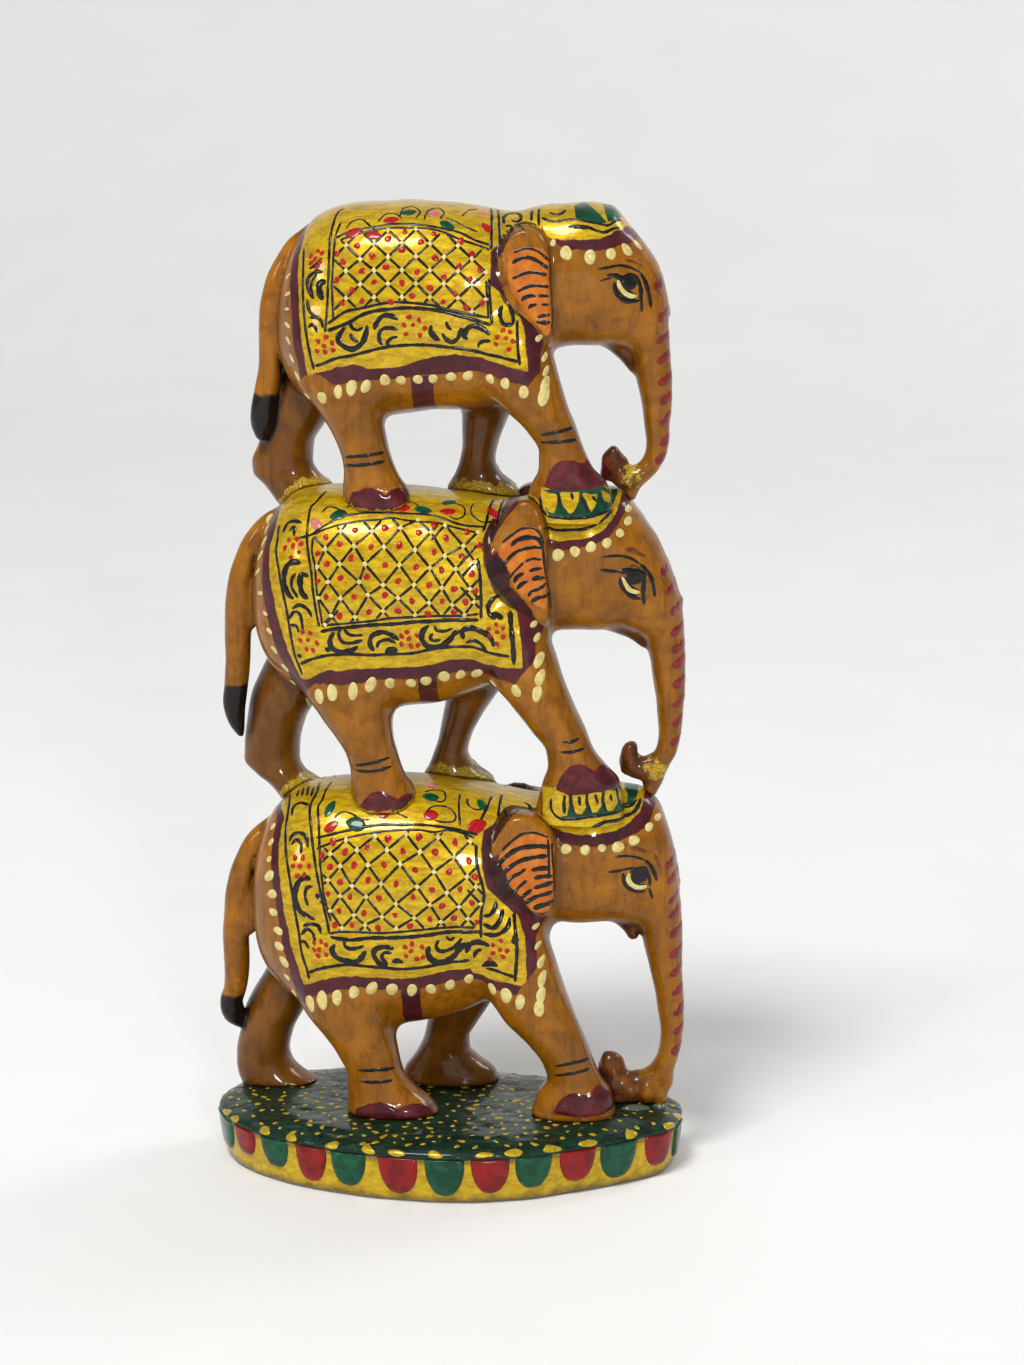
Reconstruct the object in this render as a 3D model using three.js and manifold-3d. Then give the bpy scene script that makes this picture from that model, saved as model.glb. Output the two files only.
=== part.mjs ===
// Tower of three carved, painted wooden elephants standing on each other's backs on a lens-shaped plinth.
// Millimetres, +Z up, +X towards the heads, -Y the near flank. Origin: middle of the bounding box, on the underside.
// Every elephant is a carved solid: barrel, head, trunk, two relief ears, four walking legs and a tail, joined into one piece.
// The soles are scribed to the surface they stand on, and two dowels hold each pair of pieces together.
import * as THREE from "three";
import { mergeVertices } from "three/addons/utils/BufferGeometryUtils.js";
import Module from "manifold-3d";

const wasm = await Module();
wasm.setup();

// ---------------------------------------------------------------- driving dimensions, mm
const GLUE_GAP = 0.3; // clearance between two pieces that meet
const BARREL_POWER = 2.6; // 2 is an ellipse, more is squarer
const LEG_POWER = 2.3;
const BARREL_SIDES = 20;
const HEAD_SIDES = 16;
const LEG_SIDES = 12;
const TRUNK_SIDES = 10;
const TAIL_SIDES = 8;
const SHOULDER_RISE = 12; // how far a leg's root runs up inside the barrel
const TRUNK_WIDEN = 1.2; // the trunk is a little wider than it is deep
const DOWEL_R = 1.5;
const DOWEL_HALF = 5; // half of a dowel's length
const EAR_PROUD = 1.6; // ears stand off the neck by this much

// Plinth: outline of its widest line, seen from above, and its levels.
const PLINTH_OUTLINE = [
  [-50, 0], [-49.2, -5], [-45.6, -12.2], [-39.4, -18.6], [-32, -23.4], [-23, -27.4], [-14, -30], [-5, -31.3],
  [3, -31.6], [10, -30.8], [17.5, -28.8], [25, -25.4], [33, -21], [40.6, -16], [46.3, -11], [48.5, -5.4],
  [48.9, 0], [47.6, 5.2], [42.5, 10], [34, 13.8], [24.5, 16.8], [14, 19.2], [3, 20.8], [-8, 21.4],
  [-19, 21.3], [-29, 20.2], [-38, 17.4], [-44.6, 13], [-48.4, 7.6],
];
const PLINTH_BASE_INSET = 1.3; // the side leans in towards the underside
const PLINTH_SIDE_Z = 9.6; // top of the painted side
const PLINTH_LIP_Z = 10.7; // middle of the rounded lip
const PLINTH_RIM_Z = 11.7; // where the lip meets the top
const PLINTH_TOP_Z = 12.7; // the low crown the feet stand on
const PLINTH_LIP = 0.6; // overhang of the lip

// Elephants. torso, head: [x, top z, bottom z, half-width]. legs: [z, rear x, front x, half-depth].
// trunk, tail and the like: [x, z, radius]. ear: outline [x, z]. dowels: [x, y, z of the joint].
const ELEPHANTS = {
  upper: {
    torso: [[-34.6,182,171,3.4],[-33.2,188.9,167.5,8.6],[-30.5,195.1,164.1,12.4],[-26.5,200,161.9,15.4],[-21.5,202.1,160.3,17.2],[-15.5,202.8,159.5,18.2],[-9,203,159.8,18.5],[-2.5,202.8,160.7,18.3],[4,202.2,160.9,17.6],[9.5,201.3,161.8,16.4],[14,200.9,164.7,14.6],[18,201.1,169.1,12.6],[21.5,200.9,174.1,10.2],[24.5,199,177.1,6]],
    head: [[10.5,196.2,176.8,6],[13.5,198.7,174.8,9.4],[17.5,201,173.8,11.6],[22.5,202.3,173.6,12.4],[28,202.7,173.9,12.2],[33,202.1,174.2,11.2],[37,197.8,173.8,9.6],[40,194.1,173.8,8],[42.5,190.3,174.8,6],[44.2,184.6,177.8,2.6]],
    legs: [
      { y: [-9.5, -9.6, -9.6, -9.4, -9.2, -9, -8.6, -8.4], s: [[175.5,-30.9,-10.7,8.5],[166.5,-29.5,-12.4,8.5],[161.4,-25.9,-13,7.6],[156.2,-22.9,-12.2,6.4],[151.7,-21.3,-11.2,5.6],[148.2,-20.9,-9.8,5.2],[144.7,-21.1,-7.7,5.4],[138.5,-21,-6.6,5.8]] },
      { y: [-9.5, -9.6, -9.6, -9.4, -9.2, -9, -8.6, -8.4], s: [[175.3,6.7,21.1,8],[168.7,7,22.7,8],[162.7,11.1,24.6,7.2],[157.3,16.5,26.7,6.2],[153,19,28.4,5.6],[149.8,18.9,30.1,5.2],[146.7,17.4,32.8,5.4],[140.9,15.5,34.2,5.8]] },
      { y: [9.5, 9.6, 9.6, 9.4, 9.2, 9, 8.6, 8.4], s: [[171.6,-35.2,-19.7,8],[163.2,-38.5,-22.6,8],[156.9,-39.7,-26.8,7.2],[152.1,-41.1,-29.5,6.2],[148.6,-42.4,-29.7,5.6],[146.2,-42.2,-28.4,5.4],[143.8,-40,-25.5,5.4],[138.6,-36.1,-22.1,5.6]] },
      { y: [9.5, 9.6, 9.6, 9.4, 9.2, 9, 8.6, 8.4], s: [[169.7,-0.9,15.8,8],[162.4,1.2,13.7,7.6],[157.2,1.8,11,6.4],[153,1.8,9.3,5.8],[149.2,1.2,8.7,5.4],[146.5,0.2,9.8,5.4],[143.6,-1.4,13.1,5.6],[137.8,-2.8,15.8,5.8]] },
    ],
    trunk: [[36.5,188,4.6],[38.8,184,4.5],[40.1,179.5,4.4],[41,174,4.1],[41.8,167.9,3.6],[42.4,162.8,3.1],[42.5,158.7,2.7],[42.7,154.6,2.3],[42.2,151.5,2.1],[40.8,149,2],[38.5,147.1,2.1],[36.1,147.1,2.1],[34.2,148.7,2.3],[33.6,150.4,1.9]],
    trunkTip: [[38.5,147.4,1.7],[37.6,145,1.7],[36.5,142.4,1.5]],
    lip: [[31.5,177.5,2.8],[33.2,175.8,2.6],[35.9,172.5,1.8],[37.5,169.5,1]],
    tail: [[-28.5,196.5,1.4],[-31.5,193.8,1.8],[-33.6,190.4,2.2],[-35.2,186.4,2.6],[-36.3,182,2.7],[-36.9,177.2,2.6],[-37,172.4,2.5],[-37.3,168,2.5],[-38.2,164,2.5],[-38.9,160.6,2.7],[-39.2,157.6,2.6],[-39.4,155,1.6]],
    tailSwing: 3.2,
    web: [-34.6, 178, 2.6, 7.5],
    ear: [[12.4,196.2],[14,197.6],[16.4,198.4],[18.8,197.6],[20.4,195.9],[21.2,192.9],[21.4,189],[21.6,184.1],[21.8,179.1],[21.6,175.8],[20.8,175.2],[19,176.7],[16.4,179.1],[13.6,182.1],[11.6,185],[10.4,188.4],[10.6,191.5],[11.4,194.3]],
    earY: 13.6,
    dowels: [[-15, -8.6, 142.2], [4.6, 8.6, 142]],
  },
  middle: {
    torso: [[-40.7,126.5,116,3.8],[-39.3,132.5,111.2,9.2],[-36.5,138.8,106.6,13.2],[-32,143.2,103,16.4],[-26.5,144.4,101,18.4],[-19.5,144.8,99.9,19.5],[-12,144.7,99,19.8],[-4,144.1,99.6,19.6],[3,143.4,101.4,18.8],[9,142.6,104,17.4],[14,141.9,108.2,15.4],[18.5,141.5,112.8,13.2],[22,139.8,117.4,10.8],[24.5,137.7,120.3,6.4]],
    head: [[9.6,136,118.7,6],[13,140.2,116.3,9.4],[17.5,143,115.4,11.8],[23,144.6,115.2,12.8],[29,145.3,115.3,12.6],[34.5,144.7,115.9,11.4],[39,140.1,114.9,9.8],[42.5,134.3,114.6,8],[45.2,128.3,116.3,6],[47,122.7,120.3,2.6]],
    legs: [
      { y: [-9.8, -10, -10, -9.8, -9.6, -9.2, -8.8, -8.6], s: [[114.1,-33.2,-10.3,9],[104.1,-30,-11.8,9],[98.8,-26.4,-11.4,8],[93.9,-23,-11.1,6.8],[89.8,-20.8,-10.3,6],[86.1,-20.1,-9.1,5.6],[81.9,-20.1,-6.7,5.8],[75,-19.8,-5.6,6.2]] },
      { y: [-9.8, -10, -10, -9.8, -9.6, -9.2, -8.8, -8.6], s: [[116.7,6.6,20.9,8.5],[107.6,8.5,23.7,8.5],[101.3,13.1,26.1,7.6],[95.6,17.6,28.8,6.6],[91.3,20.5,30.7,6],[88.1,20.8,33,5.6],[85,19.9,35.6,5.8],[78.2,18.3,36.7,6.2]] },
      { y: [9.8, 10, 10, 9.8, 9.6, 9.2, 8.8, 8.6], s: [[109.8,-38.7,-26.8,8],[98.9,-43.3,-28.7,8.5],[93.5,-44.4,-31.8,7.6],[88.2,-45.2,-33.3,6.6],[84.5,-45.2,-33.5,6],[81.9,-43,-32.3,5.8],[79.4,-39.9,-28.6,5.8],[74.5,-36.2,-25,6]] },
      { y: [9.8, 10, 10, 9.8, 9.6, 9.2, 8.8, 8.6], s: [[108.2,-1.2,13.7,8.5],[100.1,-1.6,9.5,8],[94.7,-2.5,6,6.8],[89.9,-3.5,3.6,6],[86.4,-4.7,2.9,5.7],[83.4,-5.8,4.6,5.7],[80.7,-7.4,8,5.9],[74.8,-9.2,11.2,6.2]] },
    ],
    trunk: [[38.5,131,5.3],[41,126,5.2],[43.1,120.3,4.9],[44.4,114.6,4.3],[45.3,108.7,3.6],[45.8,102.4,3.1],[45.8,97.1,2.7],[45.7,92.8,2.4],[44.9,89.1,2.2],[43,86.3,2.1],[40.7,85.2,2.1],[38.6,85.9,2],[37.4,87.9,1.8],[37.9,90.2,1.1]],
    trunkTip: [[43.4,86,1.9],[42.8,83.7,1.9],[41.8,81.4,1.7],[41.2,79.2,1.6]],
    lip: [[32.5,118.5,2.8],[34.2,117.5,2.7],[37.8,115,1.9],[40.1,112.3,1]],
    tail: [[-33.5,139.5,1.6],[-37.2,137,2],[-40,133.8,2.4],[-42.2,130,2.6],[-43.8,125,2.8],[-44.6,119,2.9],[-45,112.5,2.8],[-45.2,106.5,2.6],[-45.8,101.6,2.5],[-46.3,97.6,2.4],[-46,94,1.8],[-45.2,90.8,0.8]],
    tailSwing: 4.2,
    web: [-42, 121.5, 3, 8],
    ear: [[12.6,141.5],[14.4,143.4],[16.8,144],[19.1,142.6],[20.5,138.9],[20.9,133.8],[20.9,127.7],[21.3,122.6],[21.3,119.1],[20.5,118.4],[17.5,119.4],[14.4,121.1],[11.4,123.5],[9.3,126.5],[8.5,130.2],[9,134.7],[10.4,138.4]],
    earY: 14.2,
    dowels: [[-13.8, -8.8, 82], [-0.6, 8.8, 82]],
  },
  lower: {
    torso: [[-41.8,61.5,50,4],[-40.4,69,44.3,9.4],[-37.5,75.7,39.6,13.6],[-33,79.9,35.8,16.8],[-27,81.9,33.1,18.7],[-20,82.6,31.3,19.7],[-12,83,30.6,20],[-4,82.8,31.4,19.8],[3,82,33.5,19],[9,81,36.6,17.6],[14,80,41.4,15.6],[18.5,79,47.1,13.4],[22,77.1,52.9,10.8],[24.8,74.7,56.3,6.4]],
    head: [[9.6,69.7,56.6,6],[13,74.2,54.5,9.4],[17.5,78.1,53.5,11.8],[23,80.5,52.9,12.8],[29,81.7,52.8,12.6],[34.5,82,53.1,11.4],[39.5,81.6,52.5,9.8],[43.2,79,51.9,8],[45.9,72.6,53.9,6],[47.6,65.2,58.1,2.6]],
    legs: [
      { y: [-10, -10.4, -10.6, -10.6, -10.5, -10.4, -10.2, -10.2], s: [[50.3,-34.1,-9.9,9],[36.6,-30.7,-12.9,9],[30.5,-26.5,-11.5,8],[25.5,-23.2,-10.5,6.8],[21.1,-21.5,-9.3,6],[18,-21.4,-6.9,5.8],[15,-21.4,-3.5,6.2],[10.4,-21.4,-0.4,6.8]] },
      { y: [-10, -10.2, -10, -9.8, -9.6, -9.4, -9.2, -9.2], s: [[53.2,6.1,20.6,8.5],[42.1,7.4,24,8.5],[34.2,11.3,26.9,7.6],[28.4,17,29.2,6.6],[23.7,20.1,31,6],[20.6,20.9,32.4,5.8],[17.9,19.2,34.3,6],[10.6,16.7,36,6.6]] },
      { y: [10, 10, 9.6, 9.2, 8.8, 8.4, 8.2, 8.2], s: [[41.1,-39.9,-27.8,8],[28.5,-46.1,-33.4,8],[23.7,-47.1,-35.8,7.4],[19.5,-47.9,-36.5,6.6],[16.8,-48,-35.7,6],[14.3,-47.7,-32.9,5.8],[12.1,-47,-28.9,5.8],[9.5,-46.6,-26.3,6]] },
      { y: [10, 10.4, 10.8, 11, 11.2, 11.4, 11.4, 11.4], s: [[39.6,-4.8,12.5,8.5],[30.2,-5.8,7,7.8],[25.9,-6.5,4.3,6.6],[22.5,-7.2,2.6,5.8],[20,-8.3,2.8,5.6],[17.7,-9.6,4.9,5.8],[15.2,-11.4,8.1,6],[9.5,-12.8,10.2,6.4]] },
    ],
    trunk: [[39,70,5.4],[41.5,64.4,5.3],[43.3,58.2,5],[44.4,51.6,4.4],[45.3,45,3.8],[46.2,38.4,3.1],[46.7,32.9,2.7],[46.8,27.4,2.4],[46,22.9,2.3],[44.3,19.4,2.3],[41.6,17.4,2.3],[38.6,16.6,2.2],[35.9,17.2,2.5],[34.6,19.2,2.5],[34.2,21.6,1.9]],
    trunkTip: [[45.1,20.5,2],[45.4,17.3,1.9],[44.7,15,1.7],[44.4,11,1.6]],
    lip: [[33.5,55.8,2.8],[35.7,54.7,2.7],[37.8,51.9,1.9],[38.5,49.5,1.1]],
    tail: [[-35.5,74,1.6],[-39.2,71.2,2],[-42,67.6,2.4],[-44,63.2,2.6],[-45.4,58,2.8],[-46.3,52,2.8],[-46.6,45.6,2.8],[-46.7,39.6,2.7],[-47.4,34.8,2.4],[-48.3,31.8,2.4],[-48,29,2.4],[-46.6,26.6,1.3]],
    tailSwing: 5.2,
    web: [-43.4, 55.5, 3.2, 8],
    ear: [[10.9,75.6],[12.6,77.6],[15.5,78.5],[18.6,77.9],[21,76.2],[22.5,73.5],[22.9,68.2],[22.7,62.8],[22.1,58.6],[20.9,57],[18.6,57.4],[15.1,58.8],[11.9,60.9],[9.9,63.9],[8.8,67.7],[9.5,72.2]],
    earY: 14.4,
    dowels: [[-13.8, -10.3, 12.7], [-2.4, 11.4, 12.7]],
  },
};

// ---------------------------------------------------------------- shape tools

// Closed body through closed rings of equal length, with a fan over each end.
function loft(rings) {
  const n = rings[0].length;
  const pos = [];
  const idx = [];
  for (const ring of rings) for (const p of ring) pos.push(p.x, p.y, p.z);
  for (let i = 0; i < rings.length - 1; i++)
    for (let j = 0; j < n; j++) {
      const a = i * n + j;
      const b = i * n + ((j + 1) % n);
      idx.push(a, b, b + n, a, b + n, a + n);
    }
  for (const [ring, start, flip] of [
    [rings[0], 0, true],
    [rings[rings.length - 1], (rings.length - 1) * n, false],
  ]) {
    const c = ring.reduce((s, p) => s.add(p), new THREE.Vector3()).multiplyScalar(1 / n);
    const k = pos.length / 3;
    pos.push(c.x, c.y, c.z);
    for (let j = 0; j < n; j++) {
      const a = start + j;
      const b = start + ((j + 1) % n);
      if (flip) idx.push(b, a, k);
      else idx.push(a, b, k);
    }
  }
  const g = new THREE.BufferGeometry();
  g.setAttribute("position", new THREE.Float32BufferAttribute(pos, 3));
  g.setIndex(idx);
  return g;
}

// Ring of a superellipse with half-sizes a along u and b along v.
function ring(c, u, v, a, b, power, sides) {
  const out = [];
  for (let i = 0; i < sides; i++) {
    const t = ((i + 0.5) / sides) * Math.PI * 2;
    const cs = Math.cos(t);
    const sn = Math.sin(t);
    out.push(
      c
        .clone()
        .addScaledVector(u, a * Math.sign(cs) * Math.abs(cs) ** (2 / power))
        .addScaledVector(v, b * Math.sign(sn) * Math.abs(sn) ** (2 / power)),
    );
  }
  return out;
}

const X = new THREE.Vector3(1, 0, 0);
const Y = new THREE.Vector3(0, 1, 0);
const Z = new THREE.Vector3(0, 0, 1);

function toSolid(geometry) {
  const g = geometry.clone();
  g.deleteAttribute("normal");
  g.deleteAttribute("uv");
  const m = mergeVertices(g, 1e-4);
  const solid = new wasm.Manifold(
    new wasm.Mesh({
      numProp: 3,
      vertProperties: new Float32Array(m.attributes.position.array),
      triVerts: new Uint32Array(m.index.array),
    }),
  );
  if (solid.volume() > 0) return solid;
  const tri = new Uint32Array(m.index.array);
  for (let i = 0; i < tri.length; i += 3) [tri[i + 1], tri[i + 2]] = [tri[i + 2], tri[i + 1]];
  return new wasm.Manifold(
    new wasm.Mesh({ numProp: 3, vertProperties: new Float32Array(m.attributes.position.array), triVerts: tri }),
  );
}

// Body lofted along X: barrel or head.
const alongX = (rows, grow, sides) =>
  toSolid(
    loft(
      rows.map(([x, top, bottom, w], i) => {
        const end = i === 0 ? -1 : i === rows.length - 1 ? 1 : 0;
        return ring(new THREE.Vector3(x + end * grow, 0, (top + bottom) / 2), Y, Z, w + grow, (top - bottom) / 2 + grow, BARREL_POWER, sides);
      }),
    ),
  );

// Leg lofted along Z.
const leg = ({ y, s }) =>
  toSolid(
    loft([
      ring(new THREE.Vector3((s[0][1] + s[0][2]) / 2, y[0] * 0.8, s[0][0] + SHOULDER_RISE), X, Y, (s[0][2] - s[0][1]) / 2 - 3, s[0][3] * 0.5, LEG_POWER, LEG_SIDES),
      ...s.map(([z, rear, front, b], i) => ring(new THREE.Vector3((rear + front) / 2, y[i], z), X, Y, (front - rear) / 2, b, LEG_POWER, LEG_SIDES)),
    ]),
  );

// Round section swept along a path in an upright plane, drifting sideways by swing.
function sweep(rows, sides, widen = 1, swing = 0) {
  const pts = rows.map(([x, z], i) => new THREE.Vector3(x, swing * (i / (rows.length - 1)) ** 2, z));
  const rings = [];
  rows.forEach(([, , r], i) => {
    const t = pts[Math.min(i + 1, pts.length - 1)].clone().sub(pts[Math.max(i - 1, 0)]).normalize();
    const v = new THREE.Vector3().crossVectors(t, Y).normalize();
    const u = new THREE.Vector3().crossVectors(v, t).normalize();
    if (i === 0) rings.push(ring(pts[0].clone().addScaledVector(t, -r * 0.6), u, v, r * 0.6 * widen, r * 0.6, 2, sides));
    rings.push(ring(pts[i], u, v, r * widen, r, 2, sides));
    if (i === rows.length - 1) rings.push(ring(pts[i].clone().addScaledVector(t, r * 0.6), u, v, r * 0.6 * widen, r * 0.6, 2, sides));
  });
  return toSolid(loft(rings));
}

// Ear: its outline laid on the side of the neck, domed outwards, on one side (side = -1 near, 1 far).
function ear(outline, out, side, grow) {
  const cx = outline.reduce((s, p) => s + p[0], 0) / outline.length;
  const cz = outline.reduce((s, p) => s + p[1], 0) / outline.length;
  const half = Math.max(...outline.map((p) => Math.abs(p[1] - cz)));
  const level = (scale, lift) =>
    outline.map(([x, z]) => {
      const fall = ((z - cz) / half) ** 2 * 1.6;
      return new THREE.Vector3(cx + (x - cx) * scale + Math.sign(x - cx) * grow, side * (out + lift - fall + Math.sign(lift + 3) * grow), cz + (z - cz) * scale + Math.sign(z - cz) * grow);
    });
  return toSolid(loft([level(0.86, -6), level(1, -0.6), level(0.97, EAR_PROUD * 0.6), level(0.8, EAR_PROUD)]));
}

const ellipsoid = (x, y, z, a, b, c) => {
  const g = new THREE.SphereGeometry(1, 12, 8);
  g.scale(a, b, c);
  g.translate(x, y, z);
  return toSolid(g);
};

// Upright rod, used for dowels and, larger, for their holes.
const rod = (x, y, z0, z1, r, sides = 20) => {
  const g = new THREE.CylinderGeometry(r, r, z1 - z0, sides);
  g.rotateX(Math.PI / 2);
  g.translate(x, y, (z0 + z1) / 2);
  return toSolid(g);
};

// What the elephant above, or its trunk, can rest on, grown by the glue gap.
const bearing = (e, grow) =>
  alongX(e.torso, grow, BARREL_SIDES)
    .add(alongX(e.head, grow, HEAD_SIDES))
    .add(ear(e.ear, e.earY, -1, grow))
    .add(ear(e.ear, e.earY, 1, grow));

function carve(e) {
  let s = bearing(e, 0);
  for (const l of e.legs) s = s.add(leg(l));
  s = s.add(sweep(e.trunk, TRUNK_SIDES, TRUNK_WIDEN));
  s = s.add(sweep(e.trunkTip, TAIL_SIDES, TRUNK_WIDEN));
  s = s.add(sweep(e.lip, TAIL_SIDES, 1.5));
  s = s.add(sweep(e.tail, TAIL_SIDES, 1, e.tailSwing));
  s = s.add(ellipsoid(e.web[0], 0.4, e.web[1], e.web[2], 2, e.web[3]));
  return s;
}

function plinth(grow) {
  const cx = PLINTH_OUTLINE.reduce((s, p) => s + p[0], 0) / PLINTH_OUTLINE.length;
  const cy = PLINTH_OUTLINE.reduce((s, p) => s + p[1], 0) / PLINTH_OUTLINE.length;
  const level = (z, inset) =>
    PLINTH_OUTLINE.map(([x, y]) => {
      const r = Math.hypot(x - cx, y - cy);
      const k = (r - inset + grow) / r;
      return new THREE.Vector3(cx + (x - cx) * k, cy + (y - cy) * k, z);
    });
  return toSolid(
    loft([
      level(0 - grow, PLINTH_BASE_INSET + 0.5),
      level(0.7, PLINTH_BASE_INSET),
      level(PLINTH_SIDE_Z, 0),
      level(PLINTH_LIP_Z + grow, -PLINTH_LIP),
      level(PLINTH_RIM_Z + grow, 1),
      level(PLINTH_TOP_Z + grow, 6.5),
    ]),
  );
}

const largest = (s) => s.decompose().sort((a, b) => b.volume() - a.volume())[0];

// ---------------------------------------------------------------- pieces
const solids = {};
const { lower, middle, upper } = ELEPHANTS;
const holesUp = (list) => list.map(([x, y, z]) => rod(x, y, z - 3, z + DOWEL_HALF + GLUE_GAP, DOWEL_R + GLUE_GAP));
const holesDown = (list) => list.map(([x, y, z]) => rod(x, y, z - DOWEL_HALF - GLUE_GAP, z + 4, DOWEL_R + GLUE_GAP));
const cut = (s, tools) => tools.reduce((a, t) => a.subtract(t), s);

const lowerRaw = carve(lower);
const middleRaw = carve(middle);
const upperRaw = carve(upper);
solids.base_plinth = cut(plinth(0), holesDown(lower.dowels));
solids.lower_elephant = cut(lowerRaw.subtract(plinth(GLUE_GAP)), [...holesUp(lower.dowels), ...holesDown(middle.dowels)]);
solids.middle_elephant = cut(middleRaw.subtract(bearing(lower, GLUE_GAP)), [...holesUp(middle.dowels), ...holesDown(upper.dowels)]);
solids.upper_elephant = cut(upperRaw.subtract(bearing(middle, GLUE_GAP)), holesUp(upper.dowels));
for (const [name, e] of Object.entries(ELEPHANTS))
  e.dowels.forEach(([x, y, z], i) => {
    solids[name + "_dowel_" + (i ? "fore" : "rear")] = rod(x, y, z - DOWEL_HALF, z + DOWEL_HALF, DOWEL_R);
  });

// ---------------------------------------------------------------- scene graph
const wood = { color: 0xb06a26, roughness: 0.28, metalness: 0 };
const MATERIALS = {
  base_plinth: new THREE.MeshStandardMaterial({ color: 0x14503a, roughness: 0.35, metalness: 0 }),
  lower_elephant: new THREE.MeshStandardMaterial(wood),
  middle_elephant: new THREE.MeshStandardMaterial(wood),
  upper_elephant: new THREE.MeshStandardMaterial(wood),
};
const dowelMaterial = new THREE.MeshStandardMaterial({ color: 0xc8a878, roughness: 0.8, metalness: 0 });

const group = new THREE.Group();
const xs = PLINTH_OUTLINE.map((p) => p[0]);
const ys = PLINTH_OUTLINE.map((p) => p[1]);
const CENTRE_X = (Math.min(...xs) + Math.max(...xs)) / 2;
const CENTRE_Y = (Math.min(...ys) + Math.max(...ys)) / 2;
for (const [name, solid] of Object.entries(solids)) {
  const m = largest(solid).getMesh();
  const g = new THREE.BufferGeometry();
  const v = new Float32Array(m.numVert * 3);
  for (let i = 0; i < m.numVert; i++) v.set(m.vertProperties.subarray(i * m.numProp, i * m.numProp + 3), i * 3);
  g.setAttribute("position", new THREE.BufferAttribute(v, 3));
  g.setIndex(new THREE.BufferAttribute(new Uint32Array(m.triVerts), 1));
  g.computeVertexNormals();
  const mesh = new THREE.Mesh(g, MATERIALS[name] ?? dowelMaterial);
  mesh.name = name;
  group.add(mesh);
}
group.position.set(-CENTRE_X, -CENTRE_Y, 0);

export default group;
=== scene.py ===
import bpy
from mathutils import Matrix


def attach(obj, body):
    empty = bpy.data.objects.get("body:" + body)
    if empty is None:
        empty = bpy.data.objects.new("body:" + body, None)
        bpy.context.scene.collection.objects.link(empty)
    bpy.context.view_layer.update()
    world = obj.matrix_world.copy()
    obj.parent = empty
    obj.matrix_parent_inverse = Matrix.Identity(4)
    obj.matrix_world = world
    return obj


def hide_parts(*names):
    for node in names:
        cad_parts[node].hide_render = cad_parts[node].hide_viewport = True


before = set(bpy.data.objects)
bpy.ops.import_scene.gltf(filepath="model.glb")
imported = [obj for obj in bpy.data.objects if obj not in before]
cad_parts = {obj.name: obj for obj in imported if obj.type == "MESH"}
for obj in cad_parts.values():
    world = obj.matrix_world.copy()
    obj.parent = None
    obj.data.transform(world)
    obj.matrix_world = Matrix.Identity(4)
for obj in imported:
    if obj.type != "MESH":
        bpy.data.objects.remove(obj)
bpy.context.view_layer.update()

import math

import bmesh
import bpy
import numpy as np
import openvdb as vdb
from mathutils import Vector
from mathutils.bvhtree import BVHTree

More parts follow.
